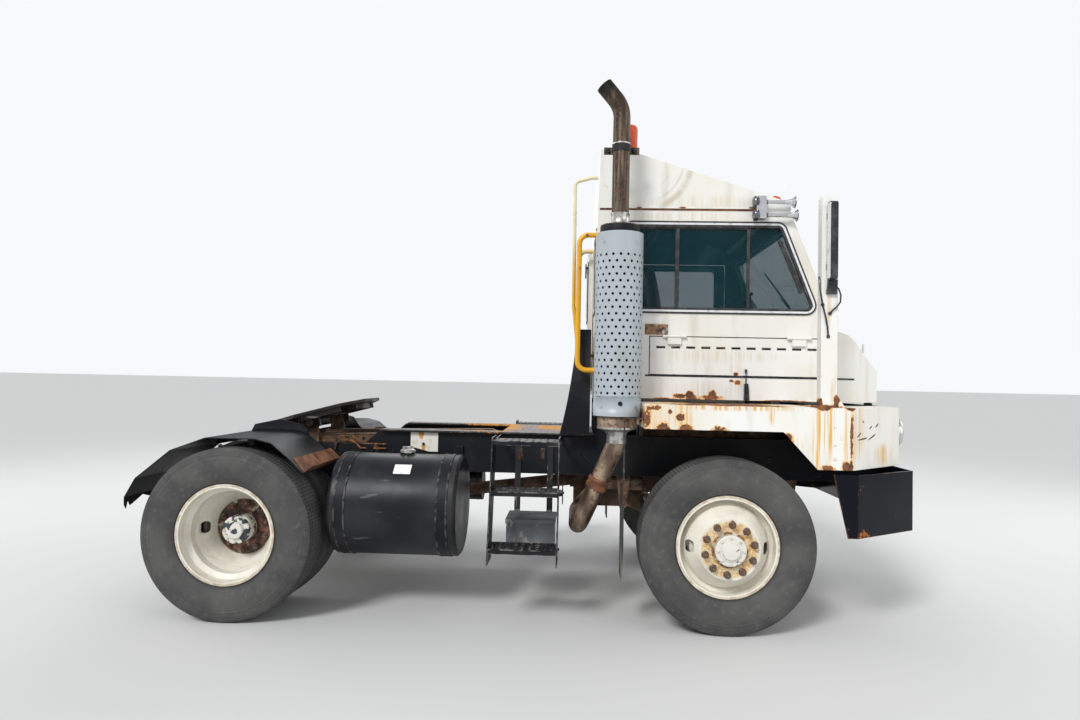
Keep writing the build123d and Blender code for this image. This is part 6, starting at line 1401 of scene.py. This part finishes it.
# Black strips along the seam under the engine panel and on to the nose, laid on the wall: painted shade for the gap
# line there.
gap_shade_strip = bmesh.new()
for side, y in ((-1, CAB_RIGHT), (1, CAB_LEFT)):
    for start, end in ((0.757, 1.905), (1.915, 2.080)):
        slab(gap_shade_strip, [(start, 1.5045), (end, 1.5045), (end, 1.5155), (start, 1.5155)], on_side(y, side), 0.0025)
piece("gap_shade_strips", gap_shade_strip, "cab", mirror_black.material)
amber = Finish("amber_lens")
ribbed = amber.step(amber.calc("ABSOLUTE", amber.calc("SUBTRACT", amber.calc("FRACT", amber.calc("MULTIPLY", amber.axis("Z"), 140)), 0.5)), 0.1, 0.4)
amber.wear(
    Base_Color=amber.blend(amber.step(amber.grain(30, 5), 0.3, 0.8), (0.62, 0.055, 0.008), (0.42, 0.07, 0.02)),
    Roughness=0.16,
    Emission_Color=(0.9, 0.12, 0.02, 1),
    Emission_Strength=0.03,
    Normal=amber.relief(ribbed, 0.0012),
)

# Windows. Green-tinted panes in black rubber with a bright filler strip; the right one has two slim dividers
# and a wiper blade parked against its raked edge.
tint = Finish("tinted_glass")
smudged = tint.step(tint.grain(5, 6), 0.55, 0.85)
# Every pane but the near side window is a brighter, denser teal: painted light for the sky seen through them. The near
# pane is darker and clearer: painted shade from the dark cab behind it.
far_panes_sky_lit = tint.step(tint.axis("Y"), -0.675, -0.665)
tint.wear(
    Base_Color=tint.blend(far_panes_sky_lit, tint.blend(smudged, (0.001, 0.050, 0.066), (0.02, 0.09, 0.105)),
                          tint.blend(smudged, (0.002, 0.26, 0.37), (0.04, 0.31, 0.40))),
    Roughness=tint.level(smudged, 0.02, 0.12),
    Alpha=tint.calc("ADD", tint.level(far_panes_sky_lit, 0.24, 0.56), tint.calc("MULTIPLY", smudged, 0.08)),
)
dress(tint.material, "cab_glass", "left_door_glass", "rear_door_glass")
gasket_black = Finish("gasket_rubber")
gasket_black.wear(
    Base_Color=gasket_black.blend(gasket_black.step(gasket_black.grain(24, 6), 0.4, 0.8), (0.012, 0.012, 0.013), (0.075, 0.072, 0.068)),
    Roughness=gasket_black.level(gasket_black.grain(24, 5), 0.45, 0.85),
)
filler_strip = Finish("filler_strip", metal=0.25)
filler_strip.wear(
    Base_Color=filler_strip.blend(filler_strip.step(filler_strip.grain(30, 5), 0.5, 0.8), (0.72, 0.73, 0.74), (0.38, 0.36, 0.33)),
    Roughness=filler_strip.level(filler_strip.grain(30, 4), 0.25, 0.5),
)
RIGHT_WINDOW = [(0.610, 1.932), (1.841, 1.932), (1.620, 2.492), (0.610, 2.492)]
QUARTER_WINDOW = [(0.525, 1.932), (0.810, 1.932), (0.810, 2.492), (0.525, 2.492)]
DOOR_WINDOW = [(0.960, 1.932), (1.540, 1.932), (1.540, 2.472), (0.960, 2.472)]
BACK_WINDOW = [(-0.560, 1.950), (-0.120, 1.950), (-0.120, 2.480), (-0.560, 2.480)]
SLIDER_WINDOW = [(0.120, 1.940), (0.500, 1.940), (0.500, 2.360), (0.120, 2.360)]
rubbers = {"cab": bmesh.new(), "driver_door": bmesh.new(), "rear_door": bmesh.new()}
strips = {"cab": bmesh.new(), "driver_door": bmesh.new(), "rear_door": bmesh.new()}
for body, corners, face in (
    ("cab", RIGHT_WINDOW, on_side(CAB_RIGHT, -1)),
    ("cab", QUARTER_WINDOW, on_side(CAB_LEFT, 1)),
    ("driver_door", DOOR_WINDOW, on_side(CAB_LEFT, 1)),
    ("cab", BACK_WINDOW, on_back(CAB_REAR_X)),
    ("rear_door", SLIDER_WINDOW, on_back(0.395)),
):
    window_frame(rubbers[body], corners, 0.045, 0.020, -0.009, face, 0.006)
    window_frame(strips[body], corners, 0.045, 0.009, 0.004, face, 0.008)
    window_frame(rubbers[body], corners, 0.045, -0.004, 0.020, face @ Matrix.Translation((0, 0, -0.013)), 0.016)
for body in rubbers:
    piece(f"{body}_gasket", rubbers[body], body, gasket_black.material)
    piece(f"{body}_filler_strip", strips[body], body, filler_strip.material)
dividers = bmesh.new()
pane = on_side(CAB_RIGHT + 0.0135, -1)
for low, high in ((0.940, 0.966), (1.397, 1.417)):
    slab(dividers, [(low, 1.945), (high, 1.945), (high, 2.480), (low, 2.480)], pane, 0.008)
slab(dividers, [(1.417, 2.440), (1.430, 2.480), (1.417, 2.480)], pane, 0.008)
slab(dividers, [(0.620, 2.462), (1.400, 2.462), (1.400, 2.482), (0.620, 2.482)], pane, 0.007)
blade = [(1.592, 2.392), (1.612, 2.400), (1.772, 2.060), (1.736, 2.052)]
slab(dividers, blade, pane, 0.010)
piece("window_dividers", dividers, "cab", gasket_black.material)
screen_seal = bmesh.new()
rake = Vector((1.667 - 1.972, 0, 2.589 - 1.815)).normalized()
facing = Vector((rake.z, 0, -rake.x))
origin = Vector((1.972, 0.180, 1.815)) - facing * 0.0155
screen_place = Matrix.Identity(4)
screen_place.col[0], screen_place.col[1] = (0, 1, 0, 0), (*rake, 0)
screen_place.col[2], screen_place.col[3] = (*facing, 0), (*origin, 1)
screen = [(-0.770, 0.060), (0.770, 0.060), (0.770, 0.735), (-0.770, 0.735)]
window_frame(screen_seal, screen, 0.020, 0.004, 0.022, screen_place, 0.0175)
for pivot in (-0.380, 0.380):
    arm_end = (pivot + 0.330, 0.330)
    sweep = [(pivot - 0.008, 0.030), (pivot + 0.008, 0.030), (arm_end[0] + 0.006, arm_end[1]), (arm_end[0] - 0.006, arm_end[1])]
    slab(screen_seal, sweep, screen_place @ Matrix.Translation((0, 0, 0.006)), 0.005)
    rubber_blade = [(pivot + 0.060, 0.090), (pivot + 0.070, 0.083), (arm_end[0] + 0.150, 0.560), (arm_end[0] + 0.140, 0.567)]
    slab(screen_seal, rubber_blade, screen_place @ Matrix.Translation((0, 0, 0.002)), 0.008)
    lathe(screen_seal, [(0, 0.016), (0.012, 0.016), (0.014, 0.0), (0, 0)], screen_place @ Matrix.Translation((pivot, 0.032, 0.0)), 14)
piece("windscreen_seal_and_wipers", screen_seal, "cab", gasket_black.material)

# Roof. A deep wedge of sheet with a drip rail round its seam; rainwater has left tan stains down its side and
# rust dots in the rail, and three tan arcs round one centre are laid on its side. Marker lamps and a stub of aerial
# stand on its front corners.
# Three tan arcs round one centre are laid on the roof's side: their centre, and for each arc its radius, width and
# strength.
ARC_CENTRE = (0.720, 2.900)
ROOF_ARCS = ((0.314, 0.034, 0.62), (0.262, 0.014, 0.40), (0.190, 0.016, 0.25))
roof_white = weathered_white(
    "roof_white",
    spots=[((1.420, CAB_RIGHT, 2.600), (0.030, 0.2, 0.012)), ((0.980, CAB_RIGHT, 2.598), (0.040, 0.2, 0.010)),
           ((0.700, CAB_RIGHT, 2.596), (0.030, 0.2, 0.010))],
    streaks=[((1.100, CAB_RIGHT, 2.640), (0.500, 0.3, 0.060)), ((0.800, 0.300, 2.950), (0.300, 0.6, 0.100))],
    bare_edges=0.04,
    inside=trimmed,
)
from_arc_centre = roof_white.calc("SQRT", roof_white.calc("ADD", roof_white.calc("POWER", roof_white.calc("SUBTRACT", roof_white.axis("X"), ARC_CENTRE[0]), 2),
                                                   roof_white.calc("POWER", roof_white.calc("SUBTRACT", roof_white.axis("Z"), ARC_CENTRE[1]), 2)))
arcs = []
for radius, width, strength in ROOF_ARCS:
    off_line = roof_white.calc("ABSOLUTE", roof_white.calc("SUBTRACT", from_arc_centre, radius))
    arcs.append(roof_white.calc("MULTIPLY", roof_white.step(off_line, width, 0.0), strength))
curved = roof_white.most(*arcs)
low_enough = roof_white.calc("MULTIPLY", roof_white.step(roof_white.axis("Z"), 2.90, 2.80), roof_white.step(roof_white.axis("X"), 0.80, 0.90))
curved = roof_white.calc("MULTIPLY", curved, roof_white.calc("MULTIPLY", low_enough, roof_white.step(roof_white.grain(9, 6), 0.30, 0.62)))
roof_colour = roof_white.shader.inputs["Base Color"].links[0].from_socket
roof_white.wear(Base_Color=roof_white.blend(curved, roof_colour, (0.42, 0.34, 0.21)))
dress(roof_white.material, "roof")
drip_rail = bmesh.new()
for y, side, start in ((CAB_RIGHT, -1, 0.447), (CAB_LEFT, 1, 0.447)):
    flank = on_side(y, side)
    end = 1.436 if side < 0 else 1.640
    slab(drip_rail, [(start, 2.592), (end, 2.592), (end, 2.5965), (start, 2.5965)], flank, 0.011)
    slab(drip_rail, [(start, 2.592), (end, 2.592), (end, 2.606), (start, 2.606)], flank @ Matrix.Translation((0, 0, 0.0095)), 0.0018)
piece("drip_rails", drip_rail, "cab", roof_white.material)
# A dark rust-brown strip just under the drip rail: rust, and painted shade under the rail.
rust_and_shade_under_drip = bmesh.new()
for y, side in ((CAB_RIGHT, -1), (CAB_LEFT, 1)):
    end = 1.436 if side < 0 else 1.640
    slab(rust_and_shade_under_drip, [(0.447, 2.581), (end, 2.581), (end, 2.592), (0.447, 2.592)], on_side(y, side), 0.003)
piece("roof_seam_rust_and_shade", rust_and_shade_under_drip, "cab", bare_rust.material)
marker_lenses = bmesh.new()
marker_bases = bmesh.new()
roof_tilt = math.atan(0.32)
for y in (-0.600, 0.180, 0.960):
    roof_top = 2.640 + (1.666 - 1.600) * 0.32
    slope = Matrix.Translation((1.600, y, roof_top)) @ Matrix.Rotation(roof_tilt, 4, "Y")
    slab(marker_bases, rounded([(-0.045, -0.024), (0.045, -0.024), (0.045, 0.024), (-0.045, 0.024)], 0.012, 4), slope, 0.012)
    dome = [(0, 0.044), (0.014, 0.042), (0.021, 0.032), (0.023, 0.012), (0, 0.012)]
    lathe(marker_lenses, dome, slope @ Matrix.Diagonal((1.55, 1, 1, 1)), 24)
tube(marker_bases, [(1.648, -0.560, 2.646), (1.653, -0.562, 2.700), (1.672, -0.566, 2.790)], 0.0022, 8)
piece("marker_lenses", marker_lenses, "cab", amber.material)
piece("marker_bases", marker_bases, "cab", filler_strip.material)
beacon_foot = bmesh.new()
lathe(beacon_foot, [(0.040, 2.962), (0.058, 2.963), (0.0595, 2.970), (0.0595, 2.984), (0.0545, 2.990), (0.0503, 2.991)],
      aim((0.639, -0.630, 0), (0, 0, 1)), 40)
piece("beacon_foot", beacon_foot, "cab", gasket_black.material)
dress(amber.material, "beacon")

# Air horns. Two chromed trumpets on a common bracket, each with its round diaphragm housing, dulled by salt.
horn_chrome = Finish("horn_chrome", metal=1.0)
pitted = horn_chrome.step(horn_chrome.grain(60, 6), 0.62, 0.74)
horn_chrome.wear(
    Base_Color=horn_chrome.blend(pitted, (0.72, 0.73, 0.75), (0.30, 0.25, 0.20)),
    Roughness=horn_chrome.level(horn_chrome.grain(14, 5), 0.08, 0.35),
)
dress(horn_chrome.material, "horns")
HORNS = ((-0.746, 2.630, 1.683), (-0.750, 2.545, 1.696))
housings = bmesh.new()
for y, z, mouth in HORNS:
    place = aim((1.424, y, z), (1, 0, 0))
    lathe(housings, [(0, -0.006), (0.020, -0.005), (0.033, 0.000), (0.037, 0.006), (0.037, 0.012), (0.034, 0.014), (0.034, 0.018),
                     (0.037, 0.020), (0.037, 0.026), (0.030, 0.034), (0.014, 0.040), (0.0, 0.040)], place, 36)
    lathe(housings, [(0.0125, 0.076), (0.0155, 0.078), (0.0155, 0.088), (0.0125, 0.090)], place, 24)
    lip = aim((mouth, y, z), (1, 0, 0))
    lathe(housings, [(0.0345, -0.004), (0.0375, -0.003), (0.0385, 0.0), (0.0365, 0.002), (0.0345, -0.001)], lip, 36)
dull_chrome = Finish("dull_chrome", metal=0.9)
dull_chrome.wear(
    Base_Color=dull_chrome.blend(dull_chrome.step(dull_chrome.grain(50, 6), 0.45, 0.75), (0.13, 0.15, 0.18), (0.32, 0.30, 0.27)),
    Roughness=dull_chrome.level(dull_chrome.grain(20, 5), 0.15, 0.5),
)
piece("horn_housings", housings, "cab", dull_chrome.material)

# Grab rails. Bent tube in safety yellow, chipped where hands and gloves have worn it to primer and steel.
rail_yellow = Finish("rail_yellow")
faded = rail_yellow.calc("MINIMUM", rail_yellow.step(rail_yellow.axis("Z"), 2.15, 2.60), rail_yellow.step(rail_yellow.axis("Y"), -0.30, -0.20))
chipped = rail_yellow.step(rail_yellow.grain(22, 8), 0.66, 0.70)
grime = rail_yellow.calc("MULTIPLY", rail_yellow.step(rail_yellow.grain(7, 6), 0.45, 0.8), 0.5)
yellow = rail_yellow.blend(faded, (0.74, 0.37, 0.012), (0.74, 0.66, 0.44))
rail_yellow.wear(
    Base_Color=rail_yellow.blend(chipped, rail_yellow.blend(grime, yellow, (0.36, 0.23, 0.07)), (0.12, 0.085, 0.06)),
    Roughness=rail_yellow.level(grime, 0.32, 0.9),
    Normal=rail_yellow.relief(chipped, 0.0008),
)
dress(rail_yellow.material, "grab_rails")
rail_feet = bmesh.new()
for y in (-0.640, -0.040):
    for z in (2.427, 1.536):
        lathe(rail_feet, [(0.0165, 0), (0.034, 0), (0.034, 0.004), (0.022, 0.006), (0.0168, 0.011)], aim((0.435, y, z), (-1, 0, 0)), 24)
lathe(rail_feet, [(0.0125, 0), (0.028, 0), (0.028, 0.004), (0.016, 0.006), (0.0128, 0.010)], aim((0.435, -0.135, 1.650), (-1, 0, 0)), 24)
piece("rail_feet", rail_feet, "cab", rail_yellow.material)

# Doors. The driver's door on the left has a paddle handle in a dished plate; the sliding rear door has a lever
# that hooks on its post, and hangs in two channels.
door_white = weathered_white(
    "door_white",
    spots=[((1.200, CAB_LEFT, 1.425), (0.300, 0.2, 0.024)), ((0.392, 0.300, 1.430), (0.1, 0.260, 0.030))],
    streaks=[((1.250, CAB_LEFT, 1.850), (0.300, 0.2, 0.120)), ((0.392, 0.300, 1.880), (0.1, 0.200, 0.120))],
    bare_edges=0.06,
    inside=trimmed,
)
dress(door_white.material, "left_door", "rear_door")
handles = bmesh.new()
paddle = on_side(CAB_LEFT, 1)
slab(handles, rounded([(0.930, 1.770), (1.060, 1.770), (1.060, 1.850), (0.930, 1.850)], 0.014, 4), paddle, 0.003)
slab(handles, rounded([(0.940, 1.795), (1.045, 1.795), (1.045, 1.835), (0.940, 1.835)], 0.008, 4), paddle @ Matrix.Translation((0, 0, 0.003)), 0.016)
lathe(handles, [(0, 0.003), (0.011, 0.003), (0.010, 0.007), (0, 0.0075)], paddle @ Matrix.Translation((0.992, 1.781, 0)), 18)
piece("door_handle", handles, "driver_door", horn_chrome.material)
lever = bmesh.new()
catch = on_back(0.395)
slab(lever, rounded([(0.060, 2.245), (0.092, 2.245), (0.092, 2.345), (0.060, 2.345)], 0.008, 3), catch, 0.004)
slab(lever, rounded([(0.064, 2.240), (0.078, 2.240), (0.082, 2.350), (0.066, 2.350)], 0.004, 3), catch @ Matrix.Translation((0, 0, 0.016)), 0.010)
lathe(lever, [(0.010, 0.004), (0.010, 0.018), (0, 0.018)], catch @ Matrix.Translation((0.073, 2.320, 0)), 14)
piece("rear_door_lever", lever, "rear_door", mirror_black.material)

# Inside. A high-backed seat on its pedestal, its cushions stitched in dark vinyl and split at the front edge,
# a grained black dash with round gauges, and a big rimmed wheel on a leaning column.
vinyl = Finish("seat_vinyl")
creased = vinyl.step(vinyl.grain(26, 7), 0.45, 0.75)
worn_through = vinyl.calc("MINIMUM", vinyl.spot((1.380, 0.330, 1.800), (0.100, 0.090, 0.060)), vinyl.step(vinyl.grain(20, 5), 0.45, 0.6))
vinyl.wear(
    Base_Color=vinyl.blend(worn_through, vinyl.blend(creased, (0.020, 0.021, 0.024), (0.060, 0.060, 0.064)), (0.42, 0.36, 0.22)),
    Roughness=vinyl.level(creased, 0.42, 0.70),
    Normal=vinyl.relief(vinyl.grain(160, 3), 0.0005),
)


def cushion(name, half, place, crown):
    """A stitched pad: crowned on both faces and pulled in along two seams."""
    shape = bmesh.new()
    across, along = 22, 22
    grid = {}
    for face in (-1, 1):
        for i in range(across + 1):
            for j in range(along + 1):
                u, v = 2 * i / across - 1, 2 * j / along - 1
                rim = (1 - abs(u) ** 5) * (1 - abs(v) ** 5)
                seam = math.exp(-((abs(u) - 0.42) / 0.035) ** 2) * 0.30 * rim
                swell = rim ** 0.40 * (half[2] - 0.004 + crown * (1 - u * u) * (1 - v * v)) - seam * half[2] * 0.5
                edge = i in (0, across) or j in (0, along)
                if edge and face > 0:
                    continue
                round_off = 1 - 0.045 * (u * u) * (v * v)
                spot = Vector((half[0] * u * round_off, half[1] * v * round_off, face * max(swell, 0.0)))
                grid[i, j, face] = shape.verts.new(place @ spot)
                if edge:
                    grid[i, j, 1] = grid[i, j, face]
    for face in (-1, 1):
        for i in range(across):
            for j in range(along):
                shape.faces.new([grid[i, j, face], grid[i + 1, j, face], grid[i + 1, j + 1, face], grid[i, j + 1, face]])
    pad = piece(name, shape, "cab", vinyl.material, 60)
    return pad


seat_pad = cushion("seat_cushion", (0.246, 0.238, 0.052), Matrix.Translation((1.160, 0.480, 1.738)), 0.008)
lean = math.atan2(0.105, 0.600)
back_place = Matrix.Translation((0.930, 0.480, 2.090)) @ Matrix.Rotation(-lean, 4, "Y") @ Matrix.Rotation(math.pi / 2, 4, "Y")
back_pad = cushion("seat_back", (0.300, 0.228, 0.042), back_place, 0.006)
pedestal = bmesh.new()
slab(pedestal, rounded([(0.955, 0.285), (1.345, 0.285), (1.345, 0.675), (0.955, 0.675)], 0.020, 4), Matrix.Translation((0, 0, 1.402)), 0.012)
for i in range(7):
    z = 1.415 + 0.032 * i
    grow = 0.0 if i % 2 else 0.014
    slab(pedestal, rounded([(1.000 - grow, 0.330 - grow), (1.300 + grow, 0.330 - grow), (1.300 + grow, 0.630 + grow), (1.000 - grow, 0.630 + grow)],
                           0.050, 5), Matrix.Translation((0, 0, z)), 0.032)
slab(pedestal, rounded([(0.930, 0.255), (1.390, 0.255), (1.390, 0.705), (0.930, 0.705)], 0.020, 4), Matrix.Translation((0, 0, 1.639)), 0.052)
hinge = Matrix(((1, 0, 0, 0), (0, 0, 1, 0), (0, 1, 0, 0), (0, 0, 0, 1)))
for y in (0.242, 0.708):
    slab(pedestal, [(0.912, 1.660), (1.060, 1.660), (1.000, 1.760), (0.960, 1.900), (0.915, 1.900)], hinge @ Matrix.Translation((0, 0, y)), 0.010)
seat_base = piece("seat_base", pedestal, "cab", gasket_black.material)
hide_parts("seat")
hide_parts("seat")
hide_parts("seat")
dash_grain = Finish("dash_board")
dash_grain.wear(
    Base_Color=dash_grain.blend(dash_grain.step(dash_grain.grain(6, 6), 0.5, 0.8), (0.020, 0.021, 0.023), (0.085, 0.078, 0.068)),
    Roughness=dash_grain.level(dash_grain.grain(9, 4), 0.5, 0.85),
    Normal=dash_grain.relief(dash_grain.grain(220, 2), 0.0006),
)
dress(dash_grain.material, "dashboard", "steering_wheel")
gauges = bmesh.new()
panel_slope = Vector((1.730 - 1.710, 0, 1.900 - 1.750)).normalized()
panel_out = Vector((-panel_slope.z, 0, panel_slope.x))
for y, radius in ((0.400, 0.048), (0.520, 0.048), (0.620, 0.026), (0.320, 0.026), (0.690, 0.026)):
    centre = Vector((1.710, y, 1.750)) + panel_slope * 0.080
    lathe(gauges, [(radius, 0), (radius, 0.006), (radius - 0.004, 0.008), (radius - 0.006, 0.004), (0, 0.003)], aim(centre, panel_out), 28)
piece("gauges", gauges, "cab", horn_chrome.material)

# Hose tower. A black sheet box behind the cab that carries the trailer's air and power sockets on its back; its
# folded edges are worn bright where the hoses rub, and the bright edges are painted highlights as well.
tower_black = old_black("tower_black", rusty=0.30, gloss=0.38, dust=0.45)
dress(tower_black, "hose_tower")
sockets = bmesh.new()
for y in (-0.470, -0.360, -0.250):
    stub = aim((0.402, y, 1.640), (-1, 0, 0))
    lathe(sockets, [(0, 0), (0.036, 0), (0.036, 0.005), (0.020, 0.007), (0.018, 0.040), (0.031, 0.044), (0.033, 0.058), (0.026, 0.062),
                    (0.018, 0.060), (0, 0.056)], stub, 28)
    bolt(sockets, (0.402, y, 1.585), (-1, 0, 0), 0.014)
piece("hose_sockets", sockets, "chassis", worn_alloy.material)

# Rear lamps. Two round red lamps and a blank plate bracket on the last crossmember, grey with road spray.
red_lens = Finish("red_lens")
spray = red_lens.step(red_lens.grain(20, 6), 0.42, 0.72)
red_lens.wear(
    Base_Color=red_lens.blend(spray, (0.42, 0.012, 0.010), (0.20, 0.09, 0.07)),
    Roughness=red_lens.level(spray, 0.14, 0.7),
)
rear_lamps = bmesh.new()
lamp_cups = bmesh.new()
for side in (-1, 1):
    cup = aim((-2.290, side * 0.300, 0.825), (-1, 0, 0))
    lathe(lamp_cups, [(0, 0), (0.054, 0), (0.056, 0.004), (0.056, 0.018), (0.050, 0.020), (0.050, 0.012)], cup, 32)
    lathe(rear_lamps, [(0.050, 0.010), (0.047, 0.026), (0.036, 0.032), (0, 0.036)], cup, 32)
slab(lamp_cups, [(-0.155, 0.775), (0.155, 0.775), (0.155, 0.880), (-0.155, 0.880)], on_back(-2.290), 0.003)
piece("rear_lenses", rear_lamps, "chassis", red_lens.material)
piece("rear_lamp_cups", lamp_cups, "chassis", gasket_black.material)
